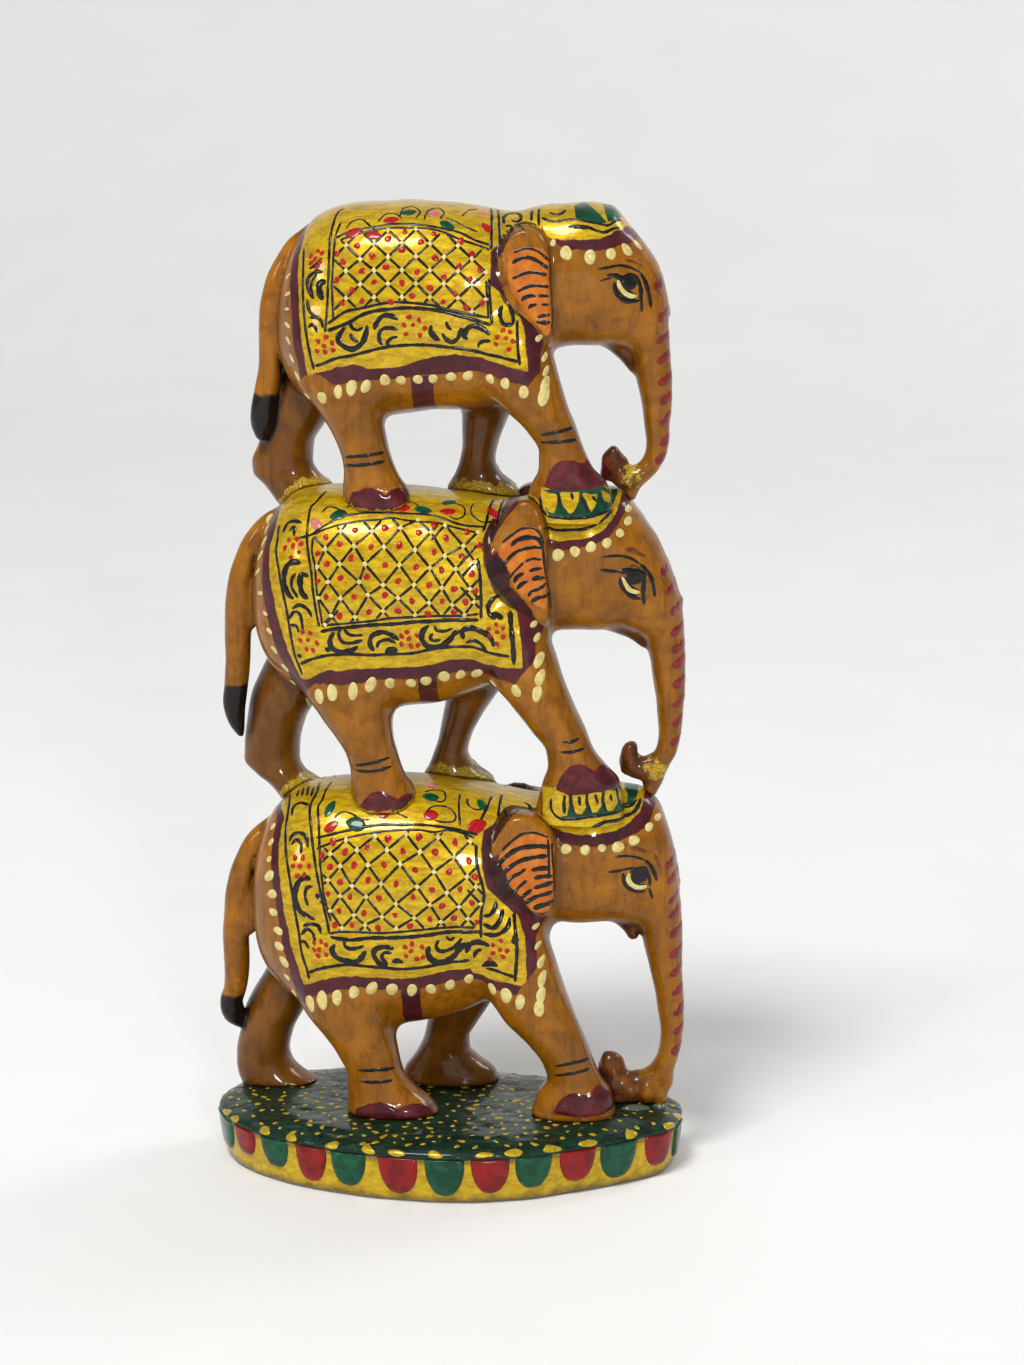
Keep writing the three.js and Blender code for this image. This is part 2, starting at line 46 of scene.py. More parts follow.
# ------------------------------------------------------------------ the carving, in mm
# Same stations as the CAD source. X towards the heads, -Y the near flank, Z up.
# torso, head: [x, top z, bottom z, half-width]. legs: rows of [z, rear x, front x, half-depth] and y of each row.
# trunk, tail and the like: [x, z, radius]. ear: outline [x, z].
SHIFT = (0.55, 5.05)  # puts the origin in the middle of the plinth's box
E = {
    "upper": dict(
        torso=[[-35.0,178,176,0],[-33.2,188.9,167.5,8.6],[-30.5,195.1,164.1,12.4],[-26.5,200,161.9,15.4],[-21.5,202.1,160.3,17.2],[-15.5,202.8,159.5,18.2],[-9,203,159.8,18.5],[-2.5,202.8,160.7,18.3],[4,202.2,160.9,17.6],[9.5,201.3,161.8,16.4],[14,200.9,164.7,14.6],[18,201.1,169.1,12.6],[21.5,200.9,174.1,10.2],[24.5,199,177.1,6],[26,188,187,0]],
        head=[[9.0,188,186,0],[10.5,196.2,176.8,6],[13.5,198.7,174.8,9.4],[17.5,201,173.8,11.6],[22.5,202.3,173.6,12.4],[28,202.7,173.9,12.2],[33,202.1,174.2,11.2],[37,197.8,173.8,9.6],[40,194.1,173.8,8],[42.5,190.3,174.8,6],[44.2,184.6,177.8,2.6],[44.6,181.5,180.5,0]],
        legs=[
            ([-9.5,-9.6,-9.6,-9.4,-9.2,-9,-8.6,-8.4],[[175.5,-30.9,-10.7,8.5],[166.5,-29.5,-12.4,8.5],[161.4,-25.9,-13,7.6],[156.2,-22.9,-12.2,6.4],[151.7,-21.3,-11.2,5.6],[148.2,-20.9,-9.8,5.2],[144.7,-21.1,-7.7,5.4],[138.5,-21,-6.6,5.8]]),
            ([-9.5,-9.6,-9.6,-9.4,-9.2,-9,-8.6,-8.4],[[175.3,6.7,21.1,8],[168.7,7,22.7,8],[162.7,11.1,24.6,7.2],[157.3,16.5,26.7,6.2],[153,19,28.4,5.6],[149.8,18.9,30.1,5.2],[146.7,17.4,32.8,5.4],[140.9,15.5,34.2,5.8]]),
            ([9.5,9.6,9.6,9.4,9.2,9,8.6,8.4],[[171.6,-35.2,-19.7,8],[163.2,-38.5,-22.6,8],[156.9,-39.7,-26.8,7.2],[152.1,-41.1,-29.5,6.2],[148.6,-42.4,-29.7,5.6],[146.2,-42.2,-28.4,5.4],[143.8,-40,-25.5,5.4],[138.6,-36.1,-22.1,5.6]]),
            ([9.5,9.6,9.6,9.4,9.2,9,8.6,8.4],[[169.7,-0.9,15.8,8],[162.4,1.2,13.7,7.6],[157.2,1.8,11,6.4],[153,1.8,9.3,5.8],[149.2,1.2,8.7,5.4],[146.5,0.2,9.8,5.4],[143.6,-1.4,13.1,5.6],[137.8,-2.8,15.8,5.8]]),
        ],
        trunk=[[36.5,188,4.6],[38.8,184,4.5],[40.1,179.5,4.4],[41,174,4.1],[41.8,167.9,3.6],[42.4,162.8,3.1],[42.5,158.7,2.7],[42.7,154.6,2.3],[42.2,151.5,2.1],[40.8,149,2],[38.5,147.1,2.1],[36.1,147.1,2.1],[34.2,148.7,2.3],[33.6,150.4,1.9]],
        trunk_tip=[[38.5,147.4,1.7],[37.6,145,1.7],[36.5,142.4,1.5]],
        lip=[[31.5,177.5,2.8],[33.2,175.8,2.6],[35.9,172.5,1.8],[37.5,169.5,1]],
        tail=[[-28.5,196.5,1.4],[-31.5,193.8,1.8],[-33.6,190.4,2.2],[-35.2,186.4,2.6],[-36.3,182,2.7],[-36.9,177.2,2.6],[-37,172.4,2.5],[-37.3,168,2.5],[-38.2,164,2.5],[-38.9,160.6,2.7],[-39.2,157.6,2.6],[-39.4,155,1.6]],
        swing=3.2, web=(-34.6,178,2.6,7.5), ear_y=13.6, k_leg=3.2,
        ear=[[12.4,196.2],[14,197.6],[16.4,198.4],[18.8,197.6],[20.4,195.9],[21.2,192.9],[21.4,189],[21.6,184.1],[21.8,179.1],[21.6,175.8],[20.8,175.2],[19,176.7],[16.4,179.1],[13.6,182.1],[11.6,185],[10.4,188.4],[10.6,191.5],[11.4,194.3]],
    ),
    "middle": dict(
        torso=[[-41.1,122,120,0],[-39.3,132.5,111.2,9.2],[-36.5,138.8,106.6,13.2],[-32,143.2,103,16.4],[-26.5,144.4,101,18.4],[-19.5,144.8,99.9,19.5],[-12,144.7,99,19.8],[-4,144.1,99.6,19.6],[3,143.4,101.4,18.8],[9,142.6,104,17.4],[14,141.9,108.2,15.4],[18.5,141.5,112.8,13.2],[22,139.8,117.4,10.8],[24.5,137.7,120.3,6.4],[26,130,129,0]],
        head=[[8.2,129,127,0],[9.6,136,118.7,6],[13,140.2,116.3,9.4],[17.5,143,115.4,11.8],[23,144.6,115.2,12.8],[29,145.3,115.3,12.6],[34.5,144.7,115.9,11.4],[39,140.1,114.9,9.8],[42.5,134.3,114.6,8],[45.2,128.3,116.3,6],[47,122.7,120.3,2.6],[47.3,122,121,0]],
        legs=[
            ([-9.8,-10,-10,-9.8,-9.6,-9.2,-8.8,-8.6],[[114.1,-33.2,-10.3,9],[104.1,-30,-11.8,9],[98.8,-26.4,-11.4,8],[93.9,-23,-11.1,6.8],[89.8,-20.8,-10.3,6],[86.1,-20.1,-9.1,5.6],[81.9,-20.1,-6.7,5.8],[75,-19.8,-5.6,6.2]]),
            ([-9.8,-10,-10,-9.8,-9.6,-9.2,-8.8,-8.6],[[116.7,6.6,20.9,8.5],[107.6,8.5,23.7,8.5],[101.3,13.1,26.1,7.6],[95.6,17.6,28.8,6.6],[91.3,20.5,30.7,6],[88.1,20.8,33,5.6],[85,19.9,35.6,5.8],[78.2,18.3,36.7,6.2]]),
            ([9.8,10,10,9.8,9.6,9.2,8.8,8.6],[[109.8,-38.7,-26.8,8],[98.9,-43.3,-28.7,8.5],[93.5,-44.4,-31.8,7.6],[88.2,-45.2,-33.3,6.6],[84.5,-45.2,-33.5,6],[81.9,-43,-32.3,5.8],[79.4,-39.9,-28.6,5.8],[74.5,-36.2,-25,6]]),
            ([9.8,10,10,9.8,9.6,9.2,8.8,8.6],[[108.2,-1.2,13.7,8.5],[100.1,-1.6,9.5,8],[94.7,-2.5,6,6.8],[89.9,-3.5,3.6,6],[86.4,-4.7,2.9,5.7],[83.4,-5.8,4.6,5.7],[80.7,-7.4,8,5.9],[74.8,-9.2,11.2,6.2]]),
        ],
        trunk=[[38.5,131,5.3],[41,126,5.2],[43.1,120.3,4.9],[44.4,114.6,4.3],[45.3,108.7,3.6],[45.8,102.4,3.1],[45.8,97.1,2.7],[45.7,92.8,2.4],[44.9,89.1,2.2],[43,86.3,2.1],[40.7,85.2,2.1],[38.6,85.9,2],[37.4,87.9,1.8],[37.9,90.2,1.1]],
        trunk_tip=[[43.4,86,1.9],[42.8,83.7,1.9],[41.8,81.4,1.7],[41.2,79.2,1.6]],
        lip=[[32.5,118.5,2.8],[34.2,117.5,2.7],[37.8,115,1.9],[40.1,112.3,1]],
        tail=[[-33.5,139.5,1.6],[-37.2,137,2],[-40,133.8,2.4],[-42.2,130,2.6],[-43.8,125,2.8],[-44.6,119,2.9],[-45,112.5,2.8],[-45.2,106.5,2.6],[-45.8,101.6,2.5],[-46.3,97.6,2.4],[-46,94,1.8],[-45.2,90.8,0.8]],
        swing=4.2, web=(-42,121.5,3,8), ear_y=14.2, k_leg=3.4,
        ear=[[12.6,141.5],[14.4,143.4],[16.8,144],[19.1,142.6],[20.5,138.9],[20.9,133.8],[20.9,127.7],[21.3,122.6],[21.3,119.1],[20.5,118.4],[17.5,119.4],[14.4,121.1],[11.4,123.5],[9.3,126.5],[8.5,130.2],[9,134.7],[10.4,138.4]],
    ),
    "lower": dict(
        torso=[[-42.2,57,55,0],[-40.4,69,44.3,9.4],[-37.5,75.7,39.6,13.6],[-33,79.9,35.8,16.8],[-27,81.9,33.1,18.7],[-20,82.6,31.3,19.7],[-12,83,30.6,20],[-4,82.8,31.4,19.8],[3,82,33.5,19],[9,81,36.6,17.6],[14,80,41.4,15.6],[18.5,79,47.1,13.4],[22,77.1,52.9,10.8],[24.8,74.7,56.3,6.4],[26.4,66,65,0]],
        head=[[8.2,64,62,0],[9.6,69.7,56.6,6],[13,74.2,54.5,9.4],[17.5,78.1,53.5,11.8],[23,80.5,52.9,12.8],[29,81.7,52.8,12.6],[34.5,82,53.1,11.4],[39.5,81.6,52.5,9.8],[43.2,79,51.9,8],[45.9,72.6,53.9,6],[47.6,65.2,58.1,2.6],[47.9,62,61,0]],
        legs=[
            ([-10,-10.4,-10.6,-10.6,-10.5,-10.4,-10.2,-10.2],[[50.3,-34.1,-9.9,9],[36.6,-30.7,-12.9,9],[30.5,-26.5,-11.5,8],[25.5,-23.2,-10.5,6.8],[21.1,-21.5,-9.3,6],[18,-21.4,-6.9,5.8],[15,-21.4,-3.5,6.2],[10.4,-21.4,-0.4,6.8]]),
            ([-10,-10.2,-10,-9.8,-9.6,-9.4,-9.2,-9.2],[[53.2,6.1,20.6,8.5],[42.1,7.4,24,8.5],[34.2,11.3,26.9,7.6],[28.4,17,29.2,6.6],[23.7,20.1,31,6],[20.6,20.9,32.4,5.8],[17.9,19.2,34.3,6],[10.6,16.7,36,6.6]]),
            ([10,10,9.6,9.2,8.8,8.4,8.2,8.2],[[41.1,-39.9,-27.8,8],[28.5,-46.1,-33.4,8],[23.7,-47.1,-35.8,7.4],[19.5,-47.9,-36.5,6.6],[16.8,-48,-35.7,6],[14.3,-47.7,-32.9,5.8],[12.1,-47,-28.9,5.8],[9.5,-46.6,-26.3,6]]),
            ([10,10.4,10.8,11,11.2,11.4,11.4,11.4],[[39.6,-4.8,12.5,8.5],[30.2,-5.8,7,7.8],[25.9,-6.5,4.3,6.6],[22.5,-7.2,2.6,5.8],[20,-8.3,2.8,5.6],[17.7,-9.6,4.9,5.8],[15.2,-11.4,8.1,6],[9.5,-12.8,10.2,6.4]]),
        ],
        trunk=[[39,70,5.4],[41.5,64.4,5.3],[43.3,58.2,5],[44.4,51.6,4.4],[45.3,45,3.8],[46.2,38.4,3.1],[46.7,32.9,2.7],[46.8,27.4,2.4],[46,22.9,2.3],[44.3,19.4,2.3],[41.6,17.4,2.3],[38.6,16.6,2.2],[35.9,17.2,2.5],[34.6,19.2,2.5],[34.2,21.6,1.9]],
        trunk_tip=[[45.1,20.5,2],[45.4,17.3,1.9],[44.7,15,1.7],[44.4,11,1.6]],
        lip=[[33.5,55.8,2.8],[35.7,54.7,2.7],[37.8,51.9,1.9],[38.5,49.5,1.1]],
        tail=[[-35.5,74,1.6],[-39.2,71.2,2],[-42,67.6,2.4],[-44,63.2,2.6],[-45.4,58,2.8],[-46.3,52,2.8],[-46.6,45.6,2.8],[-46.7,39.6,2.7],[-47.4,34.8,2.4],[-48.3,31.8,2.4],[-48,29,2.4],[-46.6,26.6,1.3]],
        swing=5.2, web=(-43.4,55.5,3.2,8), ear_y=14.4, k_leg=3.6,
        ear=[[10.9,75.6],[12.6,77.6],[15.5,78.5],[18.6,77.9],[21,76.2],[22.5,73.5],[22.9,68.2],[22.7,62.8],[22.1,58.6],[20.9,57],[18.6,57.4],[15.1,58.8],[11.9,60.9],[9.9,63.9],[8.8,67.7],[9.5,72.2]],
    ),
}
ORDER = ("lower", "middle", "upper")
PLINTH = np.array([
    [-50, 0], [-49.2, -5], [-45.6, -12.2], [-39.4, -18.6], [-32, -23.4], [-23, -27.4], [-14, -30], [-5, -31.3],
    [3, -31.6], [10, -30.8], [17.5, -28.8], [25, -25.4], [33, -21], [40.6, -16], [46.3, -11], [48.5, -5.4],
    [48.9, 0], [47.6, 5.2], [42.5, 10], [34, 13.8], [24.5, 16.8], [14, 19.2], [3, 20.8], [-8, 21.4],
    [-19, 21.3], [-29, 20.2], [-38, 17.4], [-44.6, 13], [-48.4, 7.6]], float)
PLINTH_SIDE, PLINTH_RIM, PLINTH_TOP = 9.6, 11.7, 12.7
BARREL_POWER, LEG_POWER, TRUNK_WIDEN = 2.6, 2.3, 1.2


def smooth_table(xs, ys, n=240):
    """Monotone-ish cubic through the stations, sampled finely: (xs, ys) for np.interp."""
    xs, ys = np.asarray(xs, float), np.asarray(ys, float)
    order = np.argsort(xs)
    xs, ys = xs[order], ys[order]
    h = np.diff(xs)
    s = np.diff(ys) / h
    m = np.zeros_like(ys)
    same = s[:-1] * s[1:] > 0
    w1, w2 = 2 * h[1:] + h[:-1], h[1:] + 2 * h[:-1]
    with np.errstate(divide="ignore", invalid="ignore"):
        m[1:-1] = np.where(same, (w1 + w2) / (w1 / s[:-1] + w2 / s[1:]), 0)
    m[0], m[-1] = s[0], s[-1]
    t = np.linspace(xs[0], xs[-1], n)
    i = np.clip(np.searchsorted(xs, t, side="right") - 1, 0, len(xs) - 2)
    u = (t - xs[i]) / h[i]
    out = (
        (2 * u**3 - 3 * u**2 + 1) * ys[i] + (u**3 - 2 * u**2 + u) * h[i] * m[i]
        + (-2 * u**3 + 3 * u**2) * ys[i + 1] + (u**3 - u**2) * h[i] * m[i + 1]
    )
    return t, out


def catmull(rows, step=0.7):
    """Smooth path through rows of [x, z, r]."""
    p = np.array(rows, float)
    q = np.vstack([2 * p[0] - p[1], p, 2 * p[-1] - p[-2]])
    out = []
    for i in range(1, len(q) - 2):
        a, b, c, d = q[i - 1], q[i], q[i + 1], q[i + 2]
        n = max(2, int(np.hypot(*(c - b)[:2]) / step) + 1)
        for t in np.linspace(0, 1, n, endpoint=False):
            out.append(0.5 * ((2 * b) + (c - a) * t + (2 * a - 5 * b + 4 * c - d) * t**2 + (3 * b - a - 3 * c + d) * t**3))
    out.append(p[-1])
    return np.array(out)


def smin(a, b, k):
    h = np.maximum(k - np.abs(a - b), 0) / k
    return np.minimum(a, b) - h * h * k * 0.25


def smax(a, b, k):
    return -smin(-a, -b, k)


def lofted(rows, X, Y, Z, grow=0.0, power=BARREL_POWER):
    r = np.array(rows, float)
    tx, zc = smooth_table(r[:, 0], (r[:, 1] + r[:, 2]) / 2)
    _, hh = smooth_table(r[:, 0], ((r[:, 1] - r[:, 2]) / 2) ** 2)
    _, ww = smooth_table(r[:, 0], r[:, 3] ** 2)
    c = np.interp(X, tx, zc)
    inside = (X > r[0, 0] - grow) & (X < r[-1, 0] + grow)
    h = np.sqrt(np.maximum(np.interp(X, tx, hh), 0.01)) + grow
    w = np.sqrt(np.maximum(np.interp(X, tx, ww), 0.01)) + grow
    dz = Z - c
    q = ((np.abs(Y) / w) ** power + (np.abs(dz) / h) ** power) ** (1 / power)
    q = np.maximum(q, 1e-3)
    rad = np.sqrt(Y * Y + dz * dz)
    d = rad * (1 - 1 / q)
    d = np.where(rad < 0.5, -np.minimum(h, w) + rad, d)
    # past an end: the distance to that end's point
    xe = np.where(X < (r[0, 0] + r[-1, 0]) / 2, r[0, 0], r[-1, 0])
    ze = np.where(X < (r[0, 0] + r[-1, 0]) / 2, (r[0, 1] + r[0, 2]) / 2, (r[-1, 1] + r[-1, 2]) / 2)
    out = np.sqrt((X - xe) ** 2 + Y * Y + (Z - ze) ** 2)
    return np.where(inside, d, out)


def legged(ys, rows, X, Y, Z, power=LEG_POWER):
    r = np.array(rows, float)
    ys = np.array(ys, float)
    top = np.array([[r[0, 0] + 12, r[0, 1] + 3, r[0, 2] - 3, r[0, 3] * 0.45]])
    r = np.vstack([top, r])
    ys = np.concatenate([[ys[0] * 0.8], ys])
    tz, rear = smooth_table(r[:, 0], r[:, 1])
    _, fore = smooth_table(r[:, 0], r[:, 2])
    _, half = smooth_table(r[:, 0], r[:, 3])
    _, mid = smooth_table(r[:, 0], ys)
    a = np.interp(Z, tz, (fore - rear) / 2)
    cx = np.interp(Z, tz, (fore + rear) / 2)
    b = np.interp(Z, tz, half)
    cy = np.interp(Z, tz, mid)
    dx, dy = X - cx, Y - cy
    q = ((np.abs(dx) / a) ** power + (np.abs(dy) / b) ** power) ** (1 / power)
    q = np.maximum(q, 1e-3)
    rad = np.sqrt(dx * dx + dy * dy)
    d = np.where(rad < 0.5, -np.minimum(a, b) + rad, rad * (1 - 1 / q))
    # a slanted wall is nearer than its level distance
    slope = np.gradient((fore + rear) / 2, tz)
    k = 1 / np.sqrt(1 + np.interp(Z, tz, slope) ** 2 * 0.8)
    d = d * k
    return np.maximum(d, Z - r[0, 0])


def swept(rows, X, Y, Z, widen=1.0, swing=0.0, step=0.7):
    p = catmull(rows, step)
    n = len(p)
    yy = swing * (np.arange(n) / (n - 1.0)) ** 2
    best = None
    Yw = Y / widen
    for i in range(n - 1):
        ax, az, ar = p[i]
        bx, bz, br = p[i + 1]
        ay, by = yy[i] / widen, yy[i + 1] / widen
        ex, ey, ez = bx - ax, by - ay, bz - az
        L = max(ex * ex + ey * ey + ez * ez, 1e-9)
        px, py, pz = X - ax, Yw - ay, Z - az
        t = np.clip((px * ex + py * ey + pz * ez) / L, 0, 1)
        d = np.sqrt((px - t * ex) ** 2 + (py - t * ey) ** 2 + (pz - t * ez) ** 2) - (ar + t * (br - ar))
        best = d if best is None else np.minimum(best, d)
    return best


def polygon_sdf(poly, U, V):
    """Signed distance to a closed polygon, negative inside."""
    P = np.asarray(poly, float)
    Q = np.roll(P, -1, axis=0)
    d2 = np.full(np.broadcast(U, V).shape, 1e18)
    sign = np.ones(d2.shape, bool)
    for (ax, ay), (bx, by) in zip(P, Q):
        ex, ey = bx - ax, by - ay
        wx, wy = U - ax, V - ay
        t = np.clip((wx * ex + wy * ey) / (ex * ex + ey * ey + 1e-12), 0, 1)
        d2 = np.minimum(d2, (wx - t * ex) ** 2 + (wy - t * ey) ** 2)
        cond = ((ay <= V) & (by > V)) | ((by <= V) & (ay > V))
        with np.errstate(divide="ignore", invalid="ignore"):
            cross = U < ax + (V - ay) / (by - ay if by != ay else 1e-12) * ex
        sign ^= cond & cross
    d = np.sqrt(d2)
    return np.where(sign, d, -d)


def smooth_loop(pts, step=0.6):
    p = np.asarray(pts, float)
    n = len(p)
    out = []
    for i in range(n):
        a, b, c, d = p[i - 1], p[i], p[(i + 1) % n], p[(i + 2) % n]
        m = max(2, int(np.hypot(*(c - b)) / step) + 1)
        for t in np.linspace(0, 1, m, endpoint=False):
            out.append(0.5 * ((2 * b) + (c - a) * t + (2 * a - 5 * b + 4 * c - d) * t**2 + (3 * b - a - 3 * c + d) * t**3))
    return np.array(out)


def eared(e, X, Y, Z, grow=0.0):
    """Both ears: a domed flap with a raised rim, laid on the side of the neck."""
    ear = np.array(e["ear"], float)
    cz = ear[:, 1].mean()
    half = np.abs(ear[:, 1] - cz).max()
    loop = smooth_loop(ear, 1.2)
    Xs, Zs = np.broadcast_arrays(X, Z)
    flat = polygon_sdf(loop, Xs, Zs)
    rim = 0.30 * np.exp(-(((flat + 1.0) / 0.75) ** 2))
    dish = -0.35 * np.clip((-flat - 1.4) / 3.0, 0, 1)
    outer = e["ear_y"] + 1.45 - 1.6 * ((Zs - cz) / half) ** 2 + rim + dish
    ay = np.abs(Y)
    slab = np.maximum(ay - outer, (e["ear_y"] - 6.0) - ay)
    return smax(slab, flat, 1.6) - grow


def bearing_field(e, X, Y, Z, grow=0.0):
    d = smin(lofted(e["torso"], X, Y, Z), lofted(e["head"], X, Y, Z), 3.0)
    return smin(d, eared(e, X, Y, Z), 0.5) - grow


def box_of(rows, pad):
    p = np.array(rows, float)
    return p.min(axis=0) - pad, p.max(axis=0) + pad


def elephant_field(e, X, Y, Z):
    """Distance-like field of the whole carving on an open grid (X, Y, Z as np.ix_-shaped arrays)."""
    d = smin(lofted(e["torso"], X, Y, Z), lofted(e["head"], X, Y, Z), 3.0)
    xs, ys, zs = X.ravel(), Y.ravel(), Z.ravel()

    def part(fn, x0, x1, z0, z1, k, y0=-60, y1=60):
        i = np.where((xs > x0) & (xs < x1))[0]
        j = np.where((ys > y0) & (ys < y1))[0]
        l = np.where((zs > z0) & (zs < z1))[0]
        if not (len(i) and len(j) and len(l)):
            return
        si, sj, sl = slice(i[0], i[-1] + 1), slice(j[0], j[-1] + 1), slice(l[0], l[-1] + 1)
        f = fn(X[si], Y[:, sj], Z[:, :, sl])
        d[si, sj, sl] = smin(d[si, sj, sl], f, k)

    for ys_, rows in e["legs"]:
        r = np.array(rows)
        side = np.sign(ys_[0])
        part(lambda a, b, c, ys_=ys_, rows=rows: legged(ys_, rows, a, b, c), r[:, 1].min() - 7, r[:, 2].max() + 7, r[:, 0].min() - 2, r[0, 0] + 13, e["k_leg"],
             -26 if side < 0 else -6, 6 if side < 0 else 26)
    t = np.array(e["trunk"])
    part(lambda a, b, c: swept(e["trunk"], a, b, c, TRUNK_WIDEN), t[:, 0].min() - 9, t[:, 0].max() + 9, t[:, 1].min() - 6, t[:, 1].max() + 8, 2.4, -14, 14)
    t = np.array(e["trunk_tip"])
    part(lambda a, b, c: swept(e["trunk_tip"], a, b, c, TRUNK_WIDEN), t[:, 0].min() - 6, t[:, 0].max() + 6, t[:, 1].min() - 6, t[:, 1].max() + 5, 1.0, -8, 8)
    t = np.array(e["lip"])
    part(lambda a, b, c: swept(e["lip"], a, b, c, 1.5), t[:, 0].min() - 7, t[:, 0].max() + 5, t[:, 1].min() - 5, t[:, 1].max() + 6, 1.4, -10, 10)
    t = np.array(e["tail"])
    part(lambda a, b, c: swept(e["tail"], a, b, c, 1.0, e["swing"]), t[:, 0].min() - 6, t[:, 0].max() + 6, t[:, 1].min() - 5, t[:, 1].max() + 6, 1.0, -8, 12)
    wx, wz, wa, wc = e["web"]

    def web(a, b, c):
        q = np.sqrt(((a - wx) / wa) ** 2 + ((b - 0.4) / 1.7) ** 2 + ((c - wz) / wc) ** 2)
        return (q - 1) * 1.7

    part(web, wx - 6, wx + 6, wz - wc - 3, wz + wc + 3, 0.8, -6, 7)
    lo, hi = box_of(e["ear"], 3)
    part(lambda a, b, c: eared(e, a, b, c), lo[0], hi[0], lo[1], hi[1], 0.45)
    return d


def plinth_top(x, y):
    """Height of the plinth's low crown."""
    s = -polygon_sdf(PLINTH, x, y)
    return PLINTH_RIM + (PLINTH_TOP - PLINTH_RIM) * np.clip((s - 1.0) / 5.5, 0, 1)


def waves(X, Y, Z, amp, length, count=10, seed=3):
    """Soft seeded unevenness: a sum of waves of about this length."""
    rs = np.random.RandomState(seed)
    out = 0.0
    for _ in range(count):
        v = rs.normal(size=3)
        v /= np.linalg.norm(v)
        k = 2 * math.pi / (length * rs.uniform(0.7, 1.5))
        ph = rs.uniform(0, 6.283)
        out = out + np.sin(k * (v[0] * X + v[1] * Y + v[2] * Z) + ph)
    return out * amp / math.sqrt(count)


